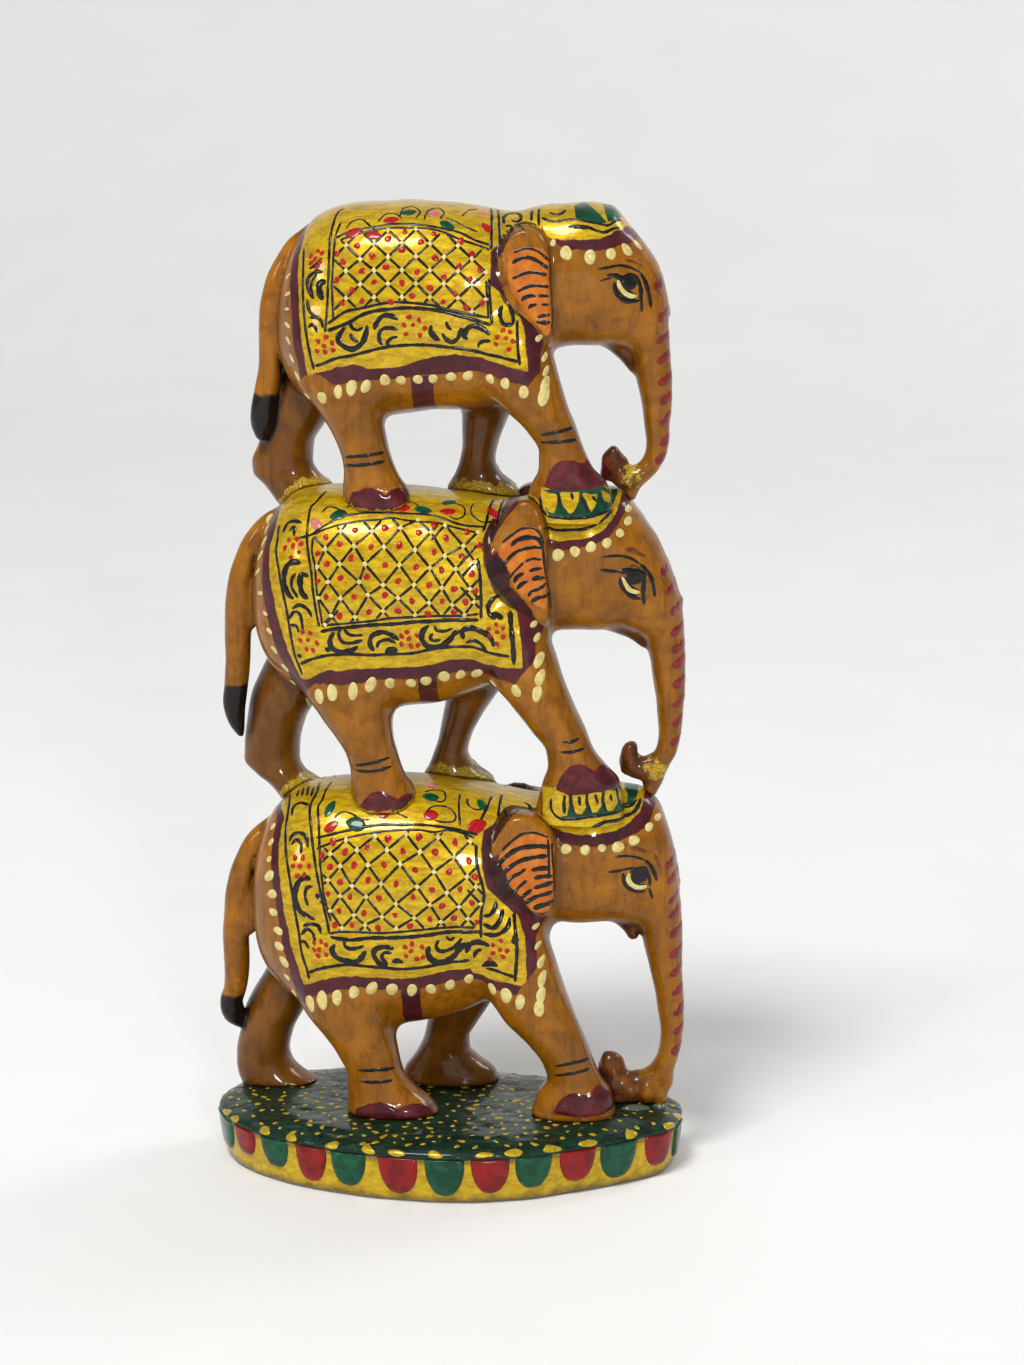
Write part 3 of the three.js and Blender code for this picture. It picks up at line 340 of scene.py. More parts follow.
# ------------------------------------------------------------------ painted pattern
# zc, zh: height of the barrel and head axes, mm. Pattern points are [x mm, angle in degrees up from the near flank] on the barrel
# and cap, and [x, z] in mm on the ear, eye and legs. A leading number is the width of the stroke in mm.
DESIGN = {
    "upper": {
        "zc": 181.3,
        "gold": {"left":[[-28.72,52.9],[-29.2,43.7],[-29.25,31.8],[-29.15,16.5],[-28.87,1.3],[-28.48,-11.6],[-27.94,-24.3],[-26.98,-38.1]],"bottom":[[-26.76,-37.8],
            [-25.01,-34],[-21.06,-29.6],[-17.66,-28.5],[-14.34,-31.4],[-11.48,-32.1],[-8.16,-30.7],[-4.35,-27.5],[-0.54,-25.2],[2.44,-24.7],[5.3,-26.4],
            [7.99,-27.1],[9.4,-29],[12.42,-29.4],[17.2,-32.6]],"right":[[16.99,-25.8],[16.77,-18.8],[16.11,-8.1],[15.26,0.1],[13.08,8.2],[11.52,15.5],[9.77,19.5],
            [9.45,39.8],[10.77,44.8],[12.15,47.1],[13.58,47.5],[19.47,49.7]]},
        "maroon": {"left":[[-29.97,84.6],[-30.43,55.9],[-31.02,39.4],[-31.1,22.6],[-30.77,0.7],[-30.48,-14],[-30.02,-26.3],[-29.15,-33.7],[-28.77,-44],[-27.23,-47.7]],
            "bottom":[[-26.97,-46.9],[-25.07,-41.1],[-21.12,-37.5],[-17.36,-36.8],[-13.85,-37.9],[-10.1,-38.6],[-6.28,-37.2],[-2.68,-37],[1.13,-36],[4.92,-35.2],
            [7.92,-36.1],[10.58,-36.4],[13.62,-37.2],[16.81,-38.8],[19.74,-41.4]],"right":[[19.7,-31.2],[19.66,-24.8],[20.57,-18.9],[20.6,10.7],[20.58,36],
            [19.52,47.5]]},
        "dots": [[-24.1,-44.2],[-20.74,-40.4],[-18.07,-39.3],[-15.26,-40.3],[-11.5,-39],[-8.31,-39.4],[-4.93,-39.5],[-1.92,-39.3],[1.69,-38.4],[5.08,-38.4],
            [9.54,-38.2],[12.61,-38.3],[16.34,-41.3],[20.26,-44.8],[20.5,-41.3],[20.65,-36.7],[20.43,-29.9],[19.23,-17.5],[-31.72,36.4],[-31.71,17.9],[-31.93,2.2],
            [-31.81,-13.8],[-31.56,-26.2],[-30.75,-36.4],[-29.59,-43.5],[-27.57,-50.3]],
        "cross": [[-10.88,49],[-5.33,49.9],[-19.19,41.3],[-13.51,40.9],[-7.94,41.4],[-2.38,41.4],[3.15,41.3],[-16.21,32.6],[-10.61,33.4],[-5.05,33.8],[0.46,34.3],
            [5.98,34.2],[-19.03,26.6],[-13.35,26.2],[-7.76,26.1],[-2.23,26.5],[3.28,26.7],[8.76,27.3],[-16.14,18.2],[-10.54,18.5],[-4.96,18.7],[0.56,19],
            [6.06,19.1],[-18.98,10.2],[-13.34,10.6],[-7.73,10.7],[-2.2,10.8],[3.32,10.6],[8.8,10.3],[6.05,2.1]],
        "red": [[-7.74,18.9],[-13.35,19.6],[-4.78,25.2],[-10.96,27.9],[-7.87,37.3],[-13.81,34],[-10.76,43.6],[-4.17,42],[-1.29,33.4],[3.46,29.6],[-2.19,16.2],
            [-5.75,11.4],[2.73,13],[5.66,22.4],[0.54,22.9],[-17.75,15],[-15.77,26],[-19.68,32],[-20.97,37.1],[-20.87,21.7],[-16.93,40.3],[-7.49,48.2],[-1.69,47.3],
            [3.7,44.2],[5.95,37.1],[7.59,28.3],[-19.81,7.1],[-15.74,8.3],[-9.92,7.7],[0.36,8],[4.88,4.4],[8.01,7.7]],
        "cluster": [[-23.04,-14.1],[-24.7,-16.9],[-21.81,-17.2],[-23.46,-19.3],[-24.93,-22.6],[-23.26,-22.5],[-21.63,-21.1],[-24.95,40.9],[-24.08,39],[-26.42,39.2],
            [-25.53,36.4],[-26.37,34.8],[-24.44,33.8],[-25.06,31.1],[-6.36,-1.3],[-4.39,-3.2],[-7.37,-6.2],[-5.6,-6.2],[-3.23,-8.2],[-7,-11.7],[-4.24,-12.5],
            [12.19,-10.2],[13.58,-11.4],[11.01,-14.4],[12.81,-14.9],[14.2,-16.7],[10.81,-18.6],[13.42,-21.2]],
        "lines": [[0.6,[[-28.14,48.2],[-28.07,28.4],[-28,9.8],[-27.48,-8.2],[-26.63,-23.1],[-25.65,-33.1]]],[0.6,[[-25.41,-30.9],[-21.24,-25.6],[-18.22,-24],
            [-15.25,-22.3],[-9.23,-18.8],[-3.28,-18.5],[2.66,-20.8],[8.61,-24.7],[11.61,-25.8],[15.62,-27.8]]],[0.56,[[14.9,-4],[15.21,-21.7],[15.62,-29.8]]],
            [0.52,[[-20.33,71],[-21.6,67.4],[-22.19,55.9],[-22.55,46],[-22.58,34.1],[-22.69,18.8],[-22.91,2.5],[-23.25,-11.8]]],[0.44,[[-20.6,57.1],[-21.37,48.5],
            [-21.62,39.7],[-21.74,31],[-21.87,18.7],[-21.63,-3.7]]],[0.52,[[-21.33,46.6],[-18.56,49.6],[-12.57,52],[-8.61,53.4],[-4.6,52.7],[2.41,50],[6.44,45.5],
            [9.4,44.1]]],[0.44,[[-20.48,45.1],[-14.5,49],[-8.54,50.6],[-1.55,49.9],[3.89,44.8],[9.44,41.1]]],[0.52,[[-22.85,-6.4],[-19.2,1.4],[-16.56,3.4],
            [-11.12,7.1],[-8.13,7.7],[-2.21,6.1],[0.75,3.7],[9.58,-2.4]]],[0.68,[[-22.84,-10.6],[-18.17,-4.7],[-16.16,-0.9],[-13.16,2.2],[-7.14,4.2],[-1.22,3],
            [3.69,-0.8],[9.79,-7]]],[0.52,[[9.37,23.9],[9.58,9.8],[9.99,-7]]],[0.44,[[8.79,22.5],[9.29,-2.4]]],[0.56,[[8.78,81],[9.44,63.3],[9.63,41.2]]],
            [0.52,[[10.18,81.7],[11.31,48.4],[11.01,41.5]]],[0.6,[[17.17,76.1],[17.2,69.8],[17.31,64.2]]],[0.52,[[18.57,76.6],[18.66,67.5],[18.88,60.2]]]],
        "swirls": [[0.52,[[-24.04,36],[-25.07,33],[-26.78,31.2]]],[0.56,[[-23.78,27.4],[-25.25,28.1],[-26.73,25.6],[-27.13,20.3],[-26.47,14.4],[-25.63,10.1]]],
            [0.44,[[-25.03,26.7],[-26.06,22.5],[-26.26,17.1],[-25.84,12.2]]],[1,[[-23.11,20.2],[-23.95,21],[-24.56,18.6],[-24.35,13.3],[-23.74,9.2]]],
            [0.52,[[-27.12,9.6],[-26.67,2.3],[-25.37,-2.3]]],[0.48,[[-26.64,-3.2],[-25.16,-2.3],[-24.1,-4.7],[-23.68,-9]]],[0.48,[[-26.83,-9.9],[-26.19,-7.7],
            [-25.34,-8.7],[-24.92,-12.3]]],[0.72,[[-19.17,-7.7],[-20.58,-14.2],[-19.59,-18.6],[-17.61,-20.3],[-15.81,-17.1],[-14.98,-11.2],[-14.77,-6.4]]],
            [0.48,[[-18.17,-4.1],[-17.76,-8.2],[-16.57,-9.4],[-15.57,-7.6]]],[0.48,[[-18.17,-11.2],[-17.58,-14.7],[-16.4,-16.5]]],[0.68,[[-8.54,-3.1],[-9.94,-0.7],
            [-11.55,-0.8],[-12.78,-4.6],[-13.39,-9.4]]],[0.52,[[-8.57,-9.1],[-10.16,-8],[-11.58,-8.7],[-12.39,-11.8],[-12.22,-16.6],[-11.63,-18.3]]],
            [0.48,[[-8.59,-13.4],[-9.79,-14],[-10.82,-17.1],[-10.04,-19.4]]],[0.76,[[-2.03,-6.3],[-2.05,-10.7],[-1.07,-14.4],[-0.28,-15.6]]],[0.44,[[0.94,-3.9],
            [1.32,-7.7],[2.1,-9.7]]],[0.6,[[0.13,-11.4],[0.9,-15.1],[2.08,-17.1],[3.27,-14.8],[3.87,-9.8],[4.46,-10.5]]],[0.72,[[9.6,-13.4],[8.21,-9.6],
            [6.63,-7.5],[5.25,-8.7],[4.45,-13.7],[5.24,-15.7]]],[0.48,[[9.81,-17],[8.41,-17.2],[7.41,-19],[7.21,-21.4]]],[0.56,[[11.92,6.6],[11.54,1],[11.96,-5.1],
            [12.96,-7.1],[14.12,-5.3],[13.89,1.6],[13.08,7.4]]],[0.52,[[11.85,62],[11.69,69.2],[12.73,76.2],[14.34,76.3],[15.1,69],[14.37,65.4],[13.14,67.1]]],
            [0.48,[[12.1,59.5],[13.06,61.2],[13.51,57.9],[12.82,52.9],[11.84,51.9]]],[0.44,[[13.83,62.5],[15.05,61.5],[15.94,50.3]]]],
        "vines": [[0.38,[[-19.42,51.7],[-18.34,56.3],[-16.37,57.5],[-14.6,52.5],[-12.86,48]]],[0.38,[[-13.06,55],[-11.63,60.7],[-9.61,60.5],[-8.31,56.9]]],
            [0.38,[[-8.76,58.9],[-8.25,67],[-6.29,68.5],[-4.9,63],[-5.52,57.5]]],[0.38,[[-3.89,56.2],[-3.34,64.4],[-1.51,69.4],[-0.14,64.1],[-0.75,57.7]]],
            [0.38,[[0.4,59.2],[2.46,56.6],[4.53,53.2],[6.94,51]]],[0.38,[[3.5,62.4],[4.83,71.4],[6.35,74.4]]]],
        "leaves": [["red",3.2,1.7,-17.72,48.6,20],["red",3,1.6,-13.82,46.1,-15],["red",2.6,1.4,-10.48,56,10],["red",2.4,1.6,8.62,55.4,-50],["pink",2.6,1.5,-1.95,62,0],
            ["pink",2.4,1.4,7.7,69.1,0],["green",2.8,1.6,-7.07,62.4,15],["green",2.8,1.6,0.75,53.6,-20]],
        "girth": [[-4.9,-38.1],[-1.9,-38.3],[-3.23,-81.7],[-6.3,-81.8]],
        "zh": 186.0,
        "gold_cap": [[18.73,86.8],[19.27,52.5],[20.35,44.3],[21.36,41.6],[24.16,40.7],[27.15,40],[30.7,42.1],[33.43,48.9],[35.33,58.8],[37.13,85.6],[37.89,86.9]],
        "band": [[18.73,86.8],[19.27,52.5],[20.35,44.3],[21.36,40.9],[23.18,36.8],[25.19,33.6],[28.18,32.7],[31.13,34],[34.07,38.2],[36.96,49.5],[39.37,83.9],
            [42.8,84.3],[42.72,86.9]],
        "cap_dots": [[24.41,30.7,1.2],[29.18,28.1,1.2],[33.3,32.7,1],[36.41,41.4,1.1],[38.51,56,0.9],[21.77,38.6,0.6]],
        "cap_green": [[[25.61,72.7],[27.41,87.2],[29.24,70.8],[31.76,59.1],[32.39,56.2],[30.62,53.8],[28.63,54.2],[26.22,56.2]],[[31.05,86.6],[33.04,89.2],[35.16,78.9],
            [34.5,63.7],[32.58,56.9],[32.11,64.4]]],
        "cap_petals": [],
        "cap_lines": [[0.48,[[24.69,50.1],[26.68,50.8],[28.67,50.1],[30.67,48.1],[32.44,49.1],[34.94,57.9]]],[0.8,[[25.49,50],[27.08,50],[28.88,49.3]]],[0.44,[[22.04,54.8],
            [24.03,56],[26.02,56.2],[29.03,54.4],[31.01,54.1],[32.99,55.5],[35.23,70.6]]],[0.48,[[19.18,59.7],[20.63,56.1],[22.24,55.2],[24.03,56]]],
            [0.52,[[20.72,64.3],[22.16,61.7],[23.34,63],[24.07,67.8]]]],
        "lattice": [[[-10.88,49],[-12.18,44.8],[-13.51,40.9]],[[-10.88,49],[-9.4,45.2],[-7.94,41.4]],[[-5.33,49.9],[-6.63,45.5],[-7.94,41.4]],[[-5.33,49.9],[-3.84,45.4],
            [-2.38,41.4]],[[-19.19,41.3],[-19.94,43.6],[-20.45,45.2]],[[-19.19,41.3],[-20.34,38.5],[-21.5,35.6]],[[-19.19,41.3],[-18.06,44.4],[-17.17,46.9]],
            [[-19.19,41.3],[-17.69,36.9],[-16.21,32.6]],[[-13.51,40.9],[-14.75,44.4],[-15.77,47.6]],[[-13.51,40.9],[-14.85,36.7],[-16.21,32.6]],[[-13.51,40.9],
            [-12.05,37.1],[-10.61,33.4]],[[-7.94,41.4],[-9.26,37.2],[-10.61,33.4]],[[-7.94,41.4],[-6.49,37.5],[-5.05,33.8]],[[-2.38,41.4],[-3.7,37.4],
            [-5.05,33.8]],[[-2.38,41.4],[-1.29,44.9],[-0.42,47.8]],[[-2.38,41.4],[-0.95,37.8],[0.46,34.3]],[[3.15,41.3],[1.95,44.5],[0.74,47.7]],[[3.15,41.3],
            [1.81,37.7],[0.46,34.3]],[[3.15,41.3],[3.59,42.8],[4.03,44.2]],[[3.15,41.3],[4.57,37.7],[5.98,34.2]],[[-16.21,32.6],[-17.61,29.6],[-19.03,26.6]],
            [[-16.21,32.6],[-14.77,29.3],[-13.35,26.2]],[[-10.61,33.4],[-11.98,29.7],[-13.35,26.2]],[[-10.61,33.4],[-9.18,29.8],[-7.76,26.1]],[[-5.05,33.8],
            [-6.4,30],[-7.76,26.1]],[[-5.05,33.8],[-3.63,30.1],[-2.23,26.5]],[[0.46,34.3],[-0.88,30.4],[-2.23,26.5]],[[0.46,34.3],[1.87,30.6],[3.28,26.7]],
            [[5.98,34.2],[4.64,30.4],[3.28,26.7]],[[5.98,34.2],[7.09,37.8],[7.97,40.9]],[[5.98,34.2],[7.38,30.8],[8.76,27.3]],[[-19.03,26.6],[-20.26,30.3],
            [-21.48,33.9]],[[-19.03,26.6],[-20.46,23],[-21.64,19.7]],[[-19.03,26.6],[-17.57,22.3],[-16.14,18.2]],[[-13.35,26.2],[-14.75,22.3],[-16.14,18.2]],
            [[-13.35,26.2],[-11.94,22.4],[-10.54,18.5]],[[-7.76,26.1],[-9.14,22.4],[-10.54,18.5]],[[-7.76,26.1],[-6.35,22.4],[-4.96,18.7]],[[-2.23,26.5],
            [-3.58,22.5],[-4.96,18.7]],[[-2.23,26.5],[-0.83,22.8],[0.56,19]],[[3.28,26.7],[1.92,22.8],[0.56,19]],[[3.28,26.7],[4.68,22.9],[6.06,19.1]],
            [[8.76,27.3],[7.42,23.1],[6.06,19.1]],[[-16.14,18.2],[-17.54,14.2],[-18.98,10.2]],[[-16.14,18.2],[-14.73,14.4],[-13.34,10.6]],[[-10.54,18.5],
            [-11.94,14.6],[-13.34,10.6]],[[-10.54,18.5],[-9.13,14.6],[-7.73,10.7]],[[-4.96,18.7],[-6.34,14.7],[-7.73,10.7]],[[-4.96,18.7],[-3.58,14.8],
            [-2.2,10.8]],[[0.56,19],[-0.81,14.9],[-2.2,10.8]],[[0.56,19],[1.94,14.9],[3.32,10.6]],[[6.06,19.1],[4.7,14.8],[3.32,10.6]],[[6.06,19.1],[7.44,14.8],
            [8.8,10.3]],[[-18.98,10.2],[-20.43,14.6],[-21.63,18.3]],[[-18.98,10.2],[-20.43,6],[-21.63,2.3]],[[-18.98,10.2],[-17.8,6.7],[-16.86,3.9]],
            [[-13.34,10.6],[-14.51,7.2],[-15.45,4.4]],[[-13.34,10.6],[-12.63,8.6],[-12.17,7.2]],[[-7.73,10.7],[-8.19,9.4],[-8.66,8]],[[-7.73,10.7],[-7.03,8.7],
            [-6.57,7.4]],[[-2.2,10.8],[-2.9,8.8],[-3.59,6.7]],[[-2.2,10.8],[-1.05,7.4],[-0.14,4.7]],[[3.32,10.6],[2.16,7.1],[1.01,3.5]],[[3.32,10.6],[4.69,6.4],
            [6.05,2.1]],[[8.8,10.3],[7.43,6.1],[6.05,2.1]],[[6.05,2.1],[6.51,0.6],[6.74,-0.2]]],
        "panel": [[-20.89,45.3],[-14.5,49],[-8.54,50.6],[-1.55,49.9],[3.89,44.8],[8.85,40.7],[8.98,22.5],[9.58,-2.4],[0.75,3.7],[-2.21,6.1],[-8.13,7.7],[-11.12,7.1],
            [-16.56,3.4],[-19.2,1.4],[-21.63,-3.7],[-21.87,18.7],[-21.74,31],[-21.41,39.6]],
        "ear_area": [[13.02,193.69],[14.21,194.09],[16.2,194.49],[18.58,194.4],[20.36,193.53],[21.16,191.56],[21.37,187.04],[21.58,183.09],[21.79,178.53],[20.6,176.54],
            [19,178.72],[16.21,182.27],[13.81,185.81],[13.02,188.57],[13.02,191.53]],
        "ear_lines": [[0.44,[[14.05,193.33],[16.03,194.13],[17.62,194.13],[19.4,193.36],[21.19,191.79]]],[0.68,[[13.85,191.27],[15.24,192.16],[16.83,192.46],[18.41,191.98],
            [19.8,191.2],[21,190.22]]],[0.6,[[13.85,188.22],[15.44,189.01],[17.03,189.51],[19.01,189.42],[20.8,189.04]]],[0.56,[[14.84,185.66],[16.43,186.46],
            [17.83,186.86],[19.42,186.86],[21.2,186.68]]],[0.68,[[15.64,183.88],[16.44,184.58],[17.63,184.88],[18.62,184.79]]],[0.56,[[19.02,184.89],[20.21,184.9],
            [21.21,184.8]]],[0.64,[[17.04,182.31],[17.63,182.91],[18.83,183.21]]],[0.56,[[19.62,183.21],[21.21,183.12]]],[0.64,[[18.83,180.64],[19.82,180.94],
            [21.42,181.15]]],[0.76,[[18.63,179.75],[20.03,179.56],[21.42,179.66]]],[0.48,[[21.19,192.38],[21.39,190.02],[21.4,187.07],[21.61,184.11],
            [21.81,181.15],[21.62,178.18]]]],
        "sclera": [1.12,[[34.72,187.82],[35.12,186.42],[36.11,185.2],[37.3,184.56],[38.48,184.52]]],
        "pupil": [36.89,186.96,1.24],
        "eye_lines": [[0.72,[[32.55,188.85],[34.13,188.72],[35.5,188.19],[37.06,188.73],[38.45,187.89],[39.05,186.48],[39.26,185.09],[39.08,183.7]]],[0.6,[[33.94,187.64],
            [34.14,185.85],[34.74,184.64],[35.73,183.81],[37.11,183.47],[39.08,183.61]]],[0.52,[[39.26,185.29],[39.37,183.3],[39.49,181.3]]],[0.4,[[30.77,190.06],
            [32.15,190.23],[34.11,190.6],[35.48,190.65],[37.44,190.09],[39.02,189.25]]],[0.68,[[39.02,189.25],[40.02,187.44],[40.63,185.63],[41.05,183.63],
            [41.26,182.03]]],[0.26,[[31.18,187.69],[32.36,188.06],[33.54,188.24]]]],
        "rust": [[0.32,[[36.05,191.71],[38.01,191.25],[39.59,190.4]]],[0.44,[[42,186.75],[42.6,185.52],[43.2,184.27]]],[0.36,[[41.36,189.52],[42.17,188.3],
            [42.57,187.09]]]],
        "chev": [186.84,180.61,175.96,171.91,167.45,163.58,159.29,154.79,151.09],
        "ankles": [[[-20.09,152.21],[-16.85,152.65],[-12.07,153.17]],[[-20.23,150.46],[-16.51,150.77],[-12.04,151.39]],[[19.47,157.2],[23.1,157.88],[26.25,158.52]],
            [[19.41,155.66],[23.09,155.85],[26.94,156.07]]],
        "nails": [[[-20.06,141.99],[-18.6,144.86],[-16.56,145.9],[-14.52,146.12],[-12.91,145.32],[-11.7,144.52],[-10.88,145.54],[-9.45,145.97],[-7.84,145.17],
            [-7.04,143.34],[-8.06,141.7],[-10.91,141.27],[-15.99,141.22],[-18.64,141.19]],[[20.06,146.45],[21.47,149.7],[22.67,151.53],[24.47,152.15],
            [26.48,151.97],[27.89,151.17],[28.89,152.19],[30.5,151.4],[32.11,150],[33.94,147.39],[31.53,146.15],[26.51,145.9],[22.48,145.87]]],
    },
    "middle": {
        "zc": 122.0,
        "gold": {"left":[[-34.13,81.5],[-34.79,56],[-35.86,44.2],[-35.94,27.4],[-35.24,10.9],[-34.38,-4.8],[-33.43,-16],[-32.29,-26.4],[-30.88,-35.7],[-29.52,-42.9]],
            "bottom":[[-28.84,-42.6],[-25.65,-36.2],[-22.7,-33.3],[-18.39,-32.9],[-14.39,-33.6],[-10.34,-33.5],[-6.05,-33],[-1.98,-31.6],[1.27,-29.7],[4.55,-30.7],
            [6.22,-32.6],[8.21,-35.9],[12.44,-32.9],[16.22,-32.5]],"right":[[15.91,-20.7],[15.67,-10.8],[14.77,-1.3],[12.51,7.8],[10.92,14.6],[9.15,20.5],
            [8.53,30.8],[8.15,45.4],[9.01,52.7],[10.42,62.3],[11.65,70.3],[12.26,95],[18.92,84.4]]},
        "maroon": {"left":[[-34.48,81.4],[-37.01,87.1],[-37.02,59.8],[-37.58,44.5],[-37.65,18.5],[-36.99,-4],[-35.93,-23.2],[-34.4,-36.2],[-32.14,-46.9],[-32.14,-95.9]],
            "bottom":[[-31.95,-96.3],[-27.1,-44.5],[-22.75,-39.2],[-18.46,-39.1],[-14.5,-40],[-10.48,-40.5],[-6.2,-40.6],[-2.11,-39.7],[1.94,-38.6],[5.31,-40.1],
            [8.07,-44.4],[12.4,-39.6],[15.7,-39.9],[18.74,-40.9]],"right":[[18.92,-33.6],[18.67,-22.1],[20.27,-17.7],[20.34,6.4],[20.35,32.8],[19.6,56]]},
        "dots": [[-30.7,-99.5],[-25.36,-45.4],[-22.56,-42.3],[-18.28,-41.8],[-14.72,-41.3],[-10.96,-43.1],[-6.68,-43.5],[-3.59,-42.3],[0.1,-40.3],[3.4,-41.2],
            [6.66,-43.3],[9.88,-48.7],[14.87,-42.8],[19.14,-43.4],[19.72,-38.2],[19.48,-31],[19.04,-19.3],[18.38,-11],[-37.38,83],[-37.37,68.3],[-37.58,54.3],
            [-38.4,45.7],[-39.06,32.2],[-38.2,8.9],[-37.04,-10.2],[-36.18,-23.8],[-35.23,-37.1],[-33,-46],[-31.88,-60.6]],
        "cross": [[-20.79,43.5],[-14.37,43.5],[-8.66,45.8],[-5.27,51.2],[-2.46,44.1],[0.27,48.6],[6.92,46.8],[-23.84,34.5],[-17.87,35.4],[-11.8,35.2],[-5.56,34.3],
            [0.52,31.6],[4.16,37.6],[6.55,29.1],[-25.45,25.1],[-20.76,26.1],[-15.55,26],[-8.59,25.9],[-2.43,24.6],[2.77,24.7],[-23.14,16.3],[-16.75,16.3],
            [-11.87,14.7],[-5.61,15],[0,13.5],[5.6,13.3],[-25.22,6.7],[-20.54,6.7],[-14.92,8.9],[-8.85,7.4],[-2.61,4.6],[2,3.4],[6.38,5.2],[-22.53,-4],
            [-17.62,-4.2],[-11.9,-0.4],[-5.45,-2.7],[4.48,-3],[-23.79,-9.5]],
        "red": [[-23.72,40.8],[-17.83,43.9],[-11.79,45.4],[-4.89,43.6],[-1.94,48.2],[0.61,41.2],[4.74,45.9],[7.25,38.9],[-20.86,36.7],[-14.42,35],[-8.7,36.2],
            [-1.7,33.4],[3.83,32],[-25.28,32.5],[-23.35,26.4],[-18.43,29.2],[-11.5,25.6],[-5.25,24.9],[-0.12,23.7],[5.98,22.2],[-25.24,17],[-20.55,18.5],
            [-15.11,19.3],[-8.84,17],[-2.6,15.1],[2.4,13.1],[6.59,12.1],[-23.54,7.4],[-17.78,7.7],[-11.48,9],[-6.02,5.7],[-0,5.8],[4.69,5.2],[-20.78,-3.8],
            [-14.74,-1],[-8.86,-0.3],[-2.84,-2.1],[2.39,-1]],
        "cluster": [[-31.53,42.1],[-29.79,41.5],[-32.34,38.1],[-30.6,38.1],[-28.9,38.5],[-29.27,34.1],[-30.97,32],[-28.56,-15.3],[-26.95,-15.1],[-29.13,-20.5],
            [-27.39,-19.3],[-25.5,-20.2],[-27.76,-24.7],[-26.38,-24.5],[-7.1,-12.8],[-8.23,-15.2],[-5.09,-14.9],[-6.71,-16.6],[-8.26,-19.8],[-6.34,-20.9],
            [-4.92,-20.4],[10.81,-9.4],[12.25,-11.2],[9.29,-12.3],[11.03,-13.8],[12.26,-16.4],[9.59,-16.5],[11.02,-21]],
        "lines": [[0.6,[[-34.08,55.1],[-34.15,45.7],[-34.37,37.8],[-33.73,26.9],[-33.05,13.7],[-32.1,-0.5],[-31.51,-12.8],[-30.55,-29.1],[-29.56,-36],[-28.88,-40]]],
            [0.6,[[-29.3,-34.5],[-27.72,-31.1],[-26,-28.6],[-22.64,-25.9],[-18.34,-25.2],[-14.31,-26.1],[-10.23,-25.5],[-5.97,-25],[-1.9,-22.9],[2.14,-22.1],
            [5.51,-23.5],[7.5,-25.4],[9.55,-27.2],[13.68,-26.9]]],[0.92,[[13.56,-0.5],[13.86,-10.6],[14.3,-21.2],[14.49,-31.3]]],[0.52,[[-24.89,76.5],
            [-26.37,64.5],[-27.42,60.1],[-27.63,54.7],[-27.71,42.9],[-27.38,33.7],[-26.71,23.6],[-26.28,10.9],[-25.67,-1.5],[-25.04,-11]]],[0.44,[[-26.44,41.5],
            [-26.55,33.5],[-25.87,25.7],[-25.66,15.8],[-25.22,6.1],[-24.62,-5],[-24.42,-9.7]]],[0.52,[[-29.37,41.9],[-26.87,42.7],[-25.28,45.6],[-22.89,49.1],
            [-20.82,52],[-17.9,53.3],[-14.69,54.6],[-10.61,54.4],[-6.38,54.9],[-3.13,54.8],[-0.66,53.4],[1.82,50.9],[4.86,49.8],[8.45,50.9]]],[0.44,[[-26.66,42.6],
            [-24.43,44.8],[-22,46.6],[-19.37,47.9],[-16.95,49.1],[-13.73,49.9],[-10.51,51.2],[-8.07,50.5],[-4.22,50],[-0.97,49.6],[1.89,47.9],[4.41,47],
            [6.94,46.1]]],[0.48,[[-24.41,-10.8],[-22.55,-9.3],[-18.25,-7.8],[-14.16,-6.4],[-10.1,-4.5],[-5.86,-3.9],[-1.84,-3.4],[2.18,-3.5],[7.36,-2.8]]],
            [0.72,[[-24.83,-13.7],[-21.73,-11.5],[-18.25,-10.2],[-14.18,-8.8],[-10.13,-8.2],[-5.87,-6.9],[-1.85,-6.5],[2.18,-6],[7.36,-6.7]]],[0.6,[[7.13,30.9],
            [7.57,21],[7.77,8.4],[7.76,-6.1]]],[0.56,[[10.34,81.9],[9.37,79.4],[8.53,56.2],[7.92,47.2]]],[0.52,[[11.82,82.1],[11.36,81.9],[10.73,57.3],
            [10.2,45.3]]]],
        "swirls": [[0.52,[[-32.97,47.8],[-32.22,52.5],[-30.72,52.8],[-28.95,50.4]]],[0.48,[[-31.64,47.5],[-30.61,49],[-30.48,43.6]]],[0.8,[[-28.81,27.8],[-30.52,28.9],
            [-31.82,27.1],[-32.48,21],[-32.27,13.6],[-31.4,8.1],[-30.33,5.5]]],[0.48,[[-29.88,22.3],[-30.74,18.7],[-30.74,12.8],[-29.47,6.3]]],
            [0.84,[[-27.13,20.2],[-28.61,20.9],[-29.03,16.6],[-28.6,9.6],[-27.34,5.8]]],[0.52,[[-30.8,-1.5],[-29.28,1.6],[-27.57,-0.6],[-26.53,-5.5]]],
            [0.48,[[-31.49,-8.7],[-30.37,-3.4],[-29.08,-4.9],[-28.45,-14.6]]],[0.44,[[-31.28,-12.7],[-29.96,-12.4],[-29.33,-16.4]]],[0.72,[[-21.93,-13.2],
            [-22.77,-17.8],[-22.39,-22.1],[-20.46,-24.1],[-18.31,-23],[-17.07,-20.7]]],[0.48,[[-20.39,-11.4],[-21.01,-14.2],[-20.21,-18.6],[-18.27,-19],
            [-16.04,-17.4]]],[0.44,[[-19.98,-11.4],[-18.66,-14.6],[-16.03,-14.7]]],[0.68,[[-13.88,-23.9],[-14.65,-19.8],[-14.22,-15.3],[-12.18,-13],[-10.16,-14.8],
            [-8.75,-17.6]]],[0.48,[[-13.26,-22.2],[-12.82,-18.8],[-10.99,-17.3],[-9.37,-19.3]]],[0.92,[[-11.65,-25],[-10.62,-23.2],[-8.99,-23.2]]],
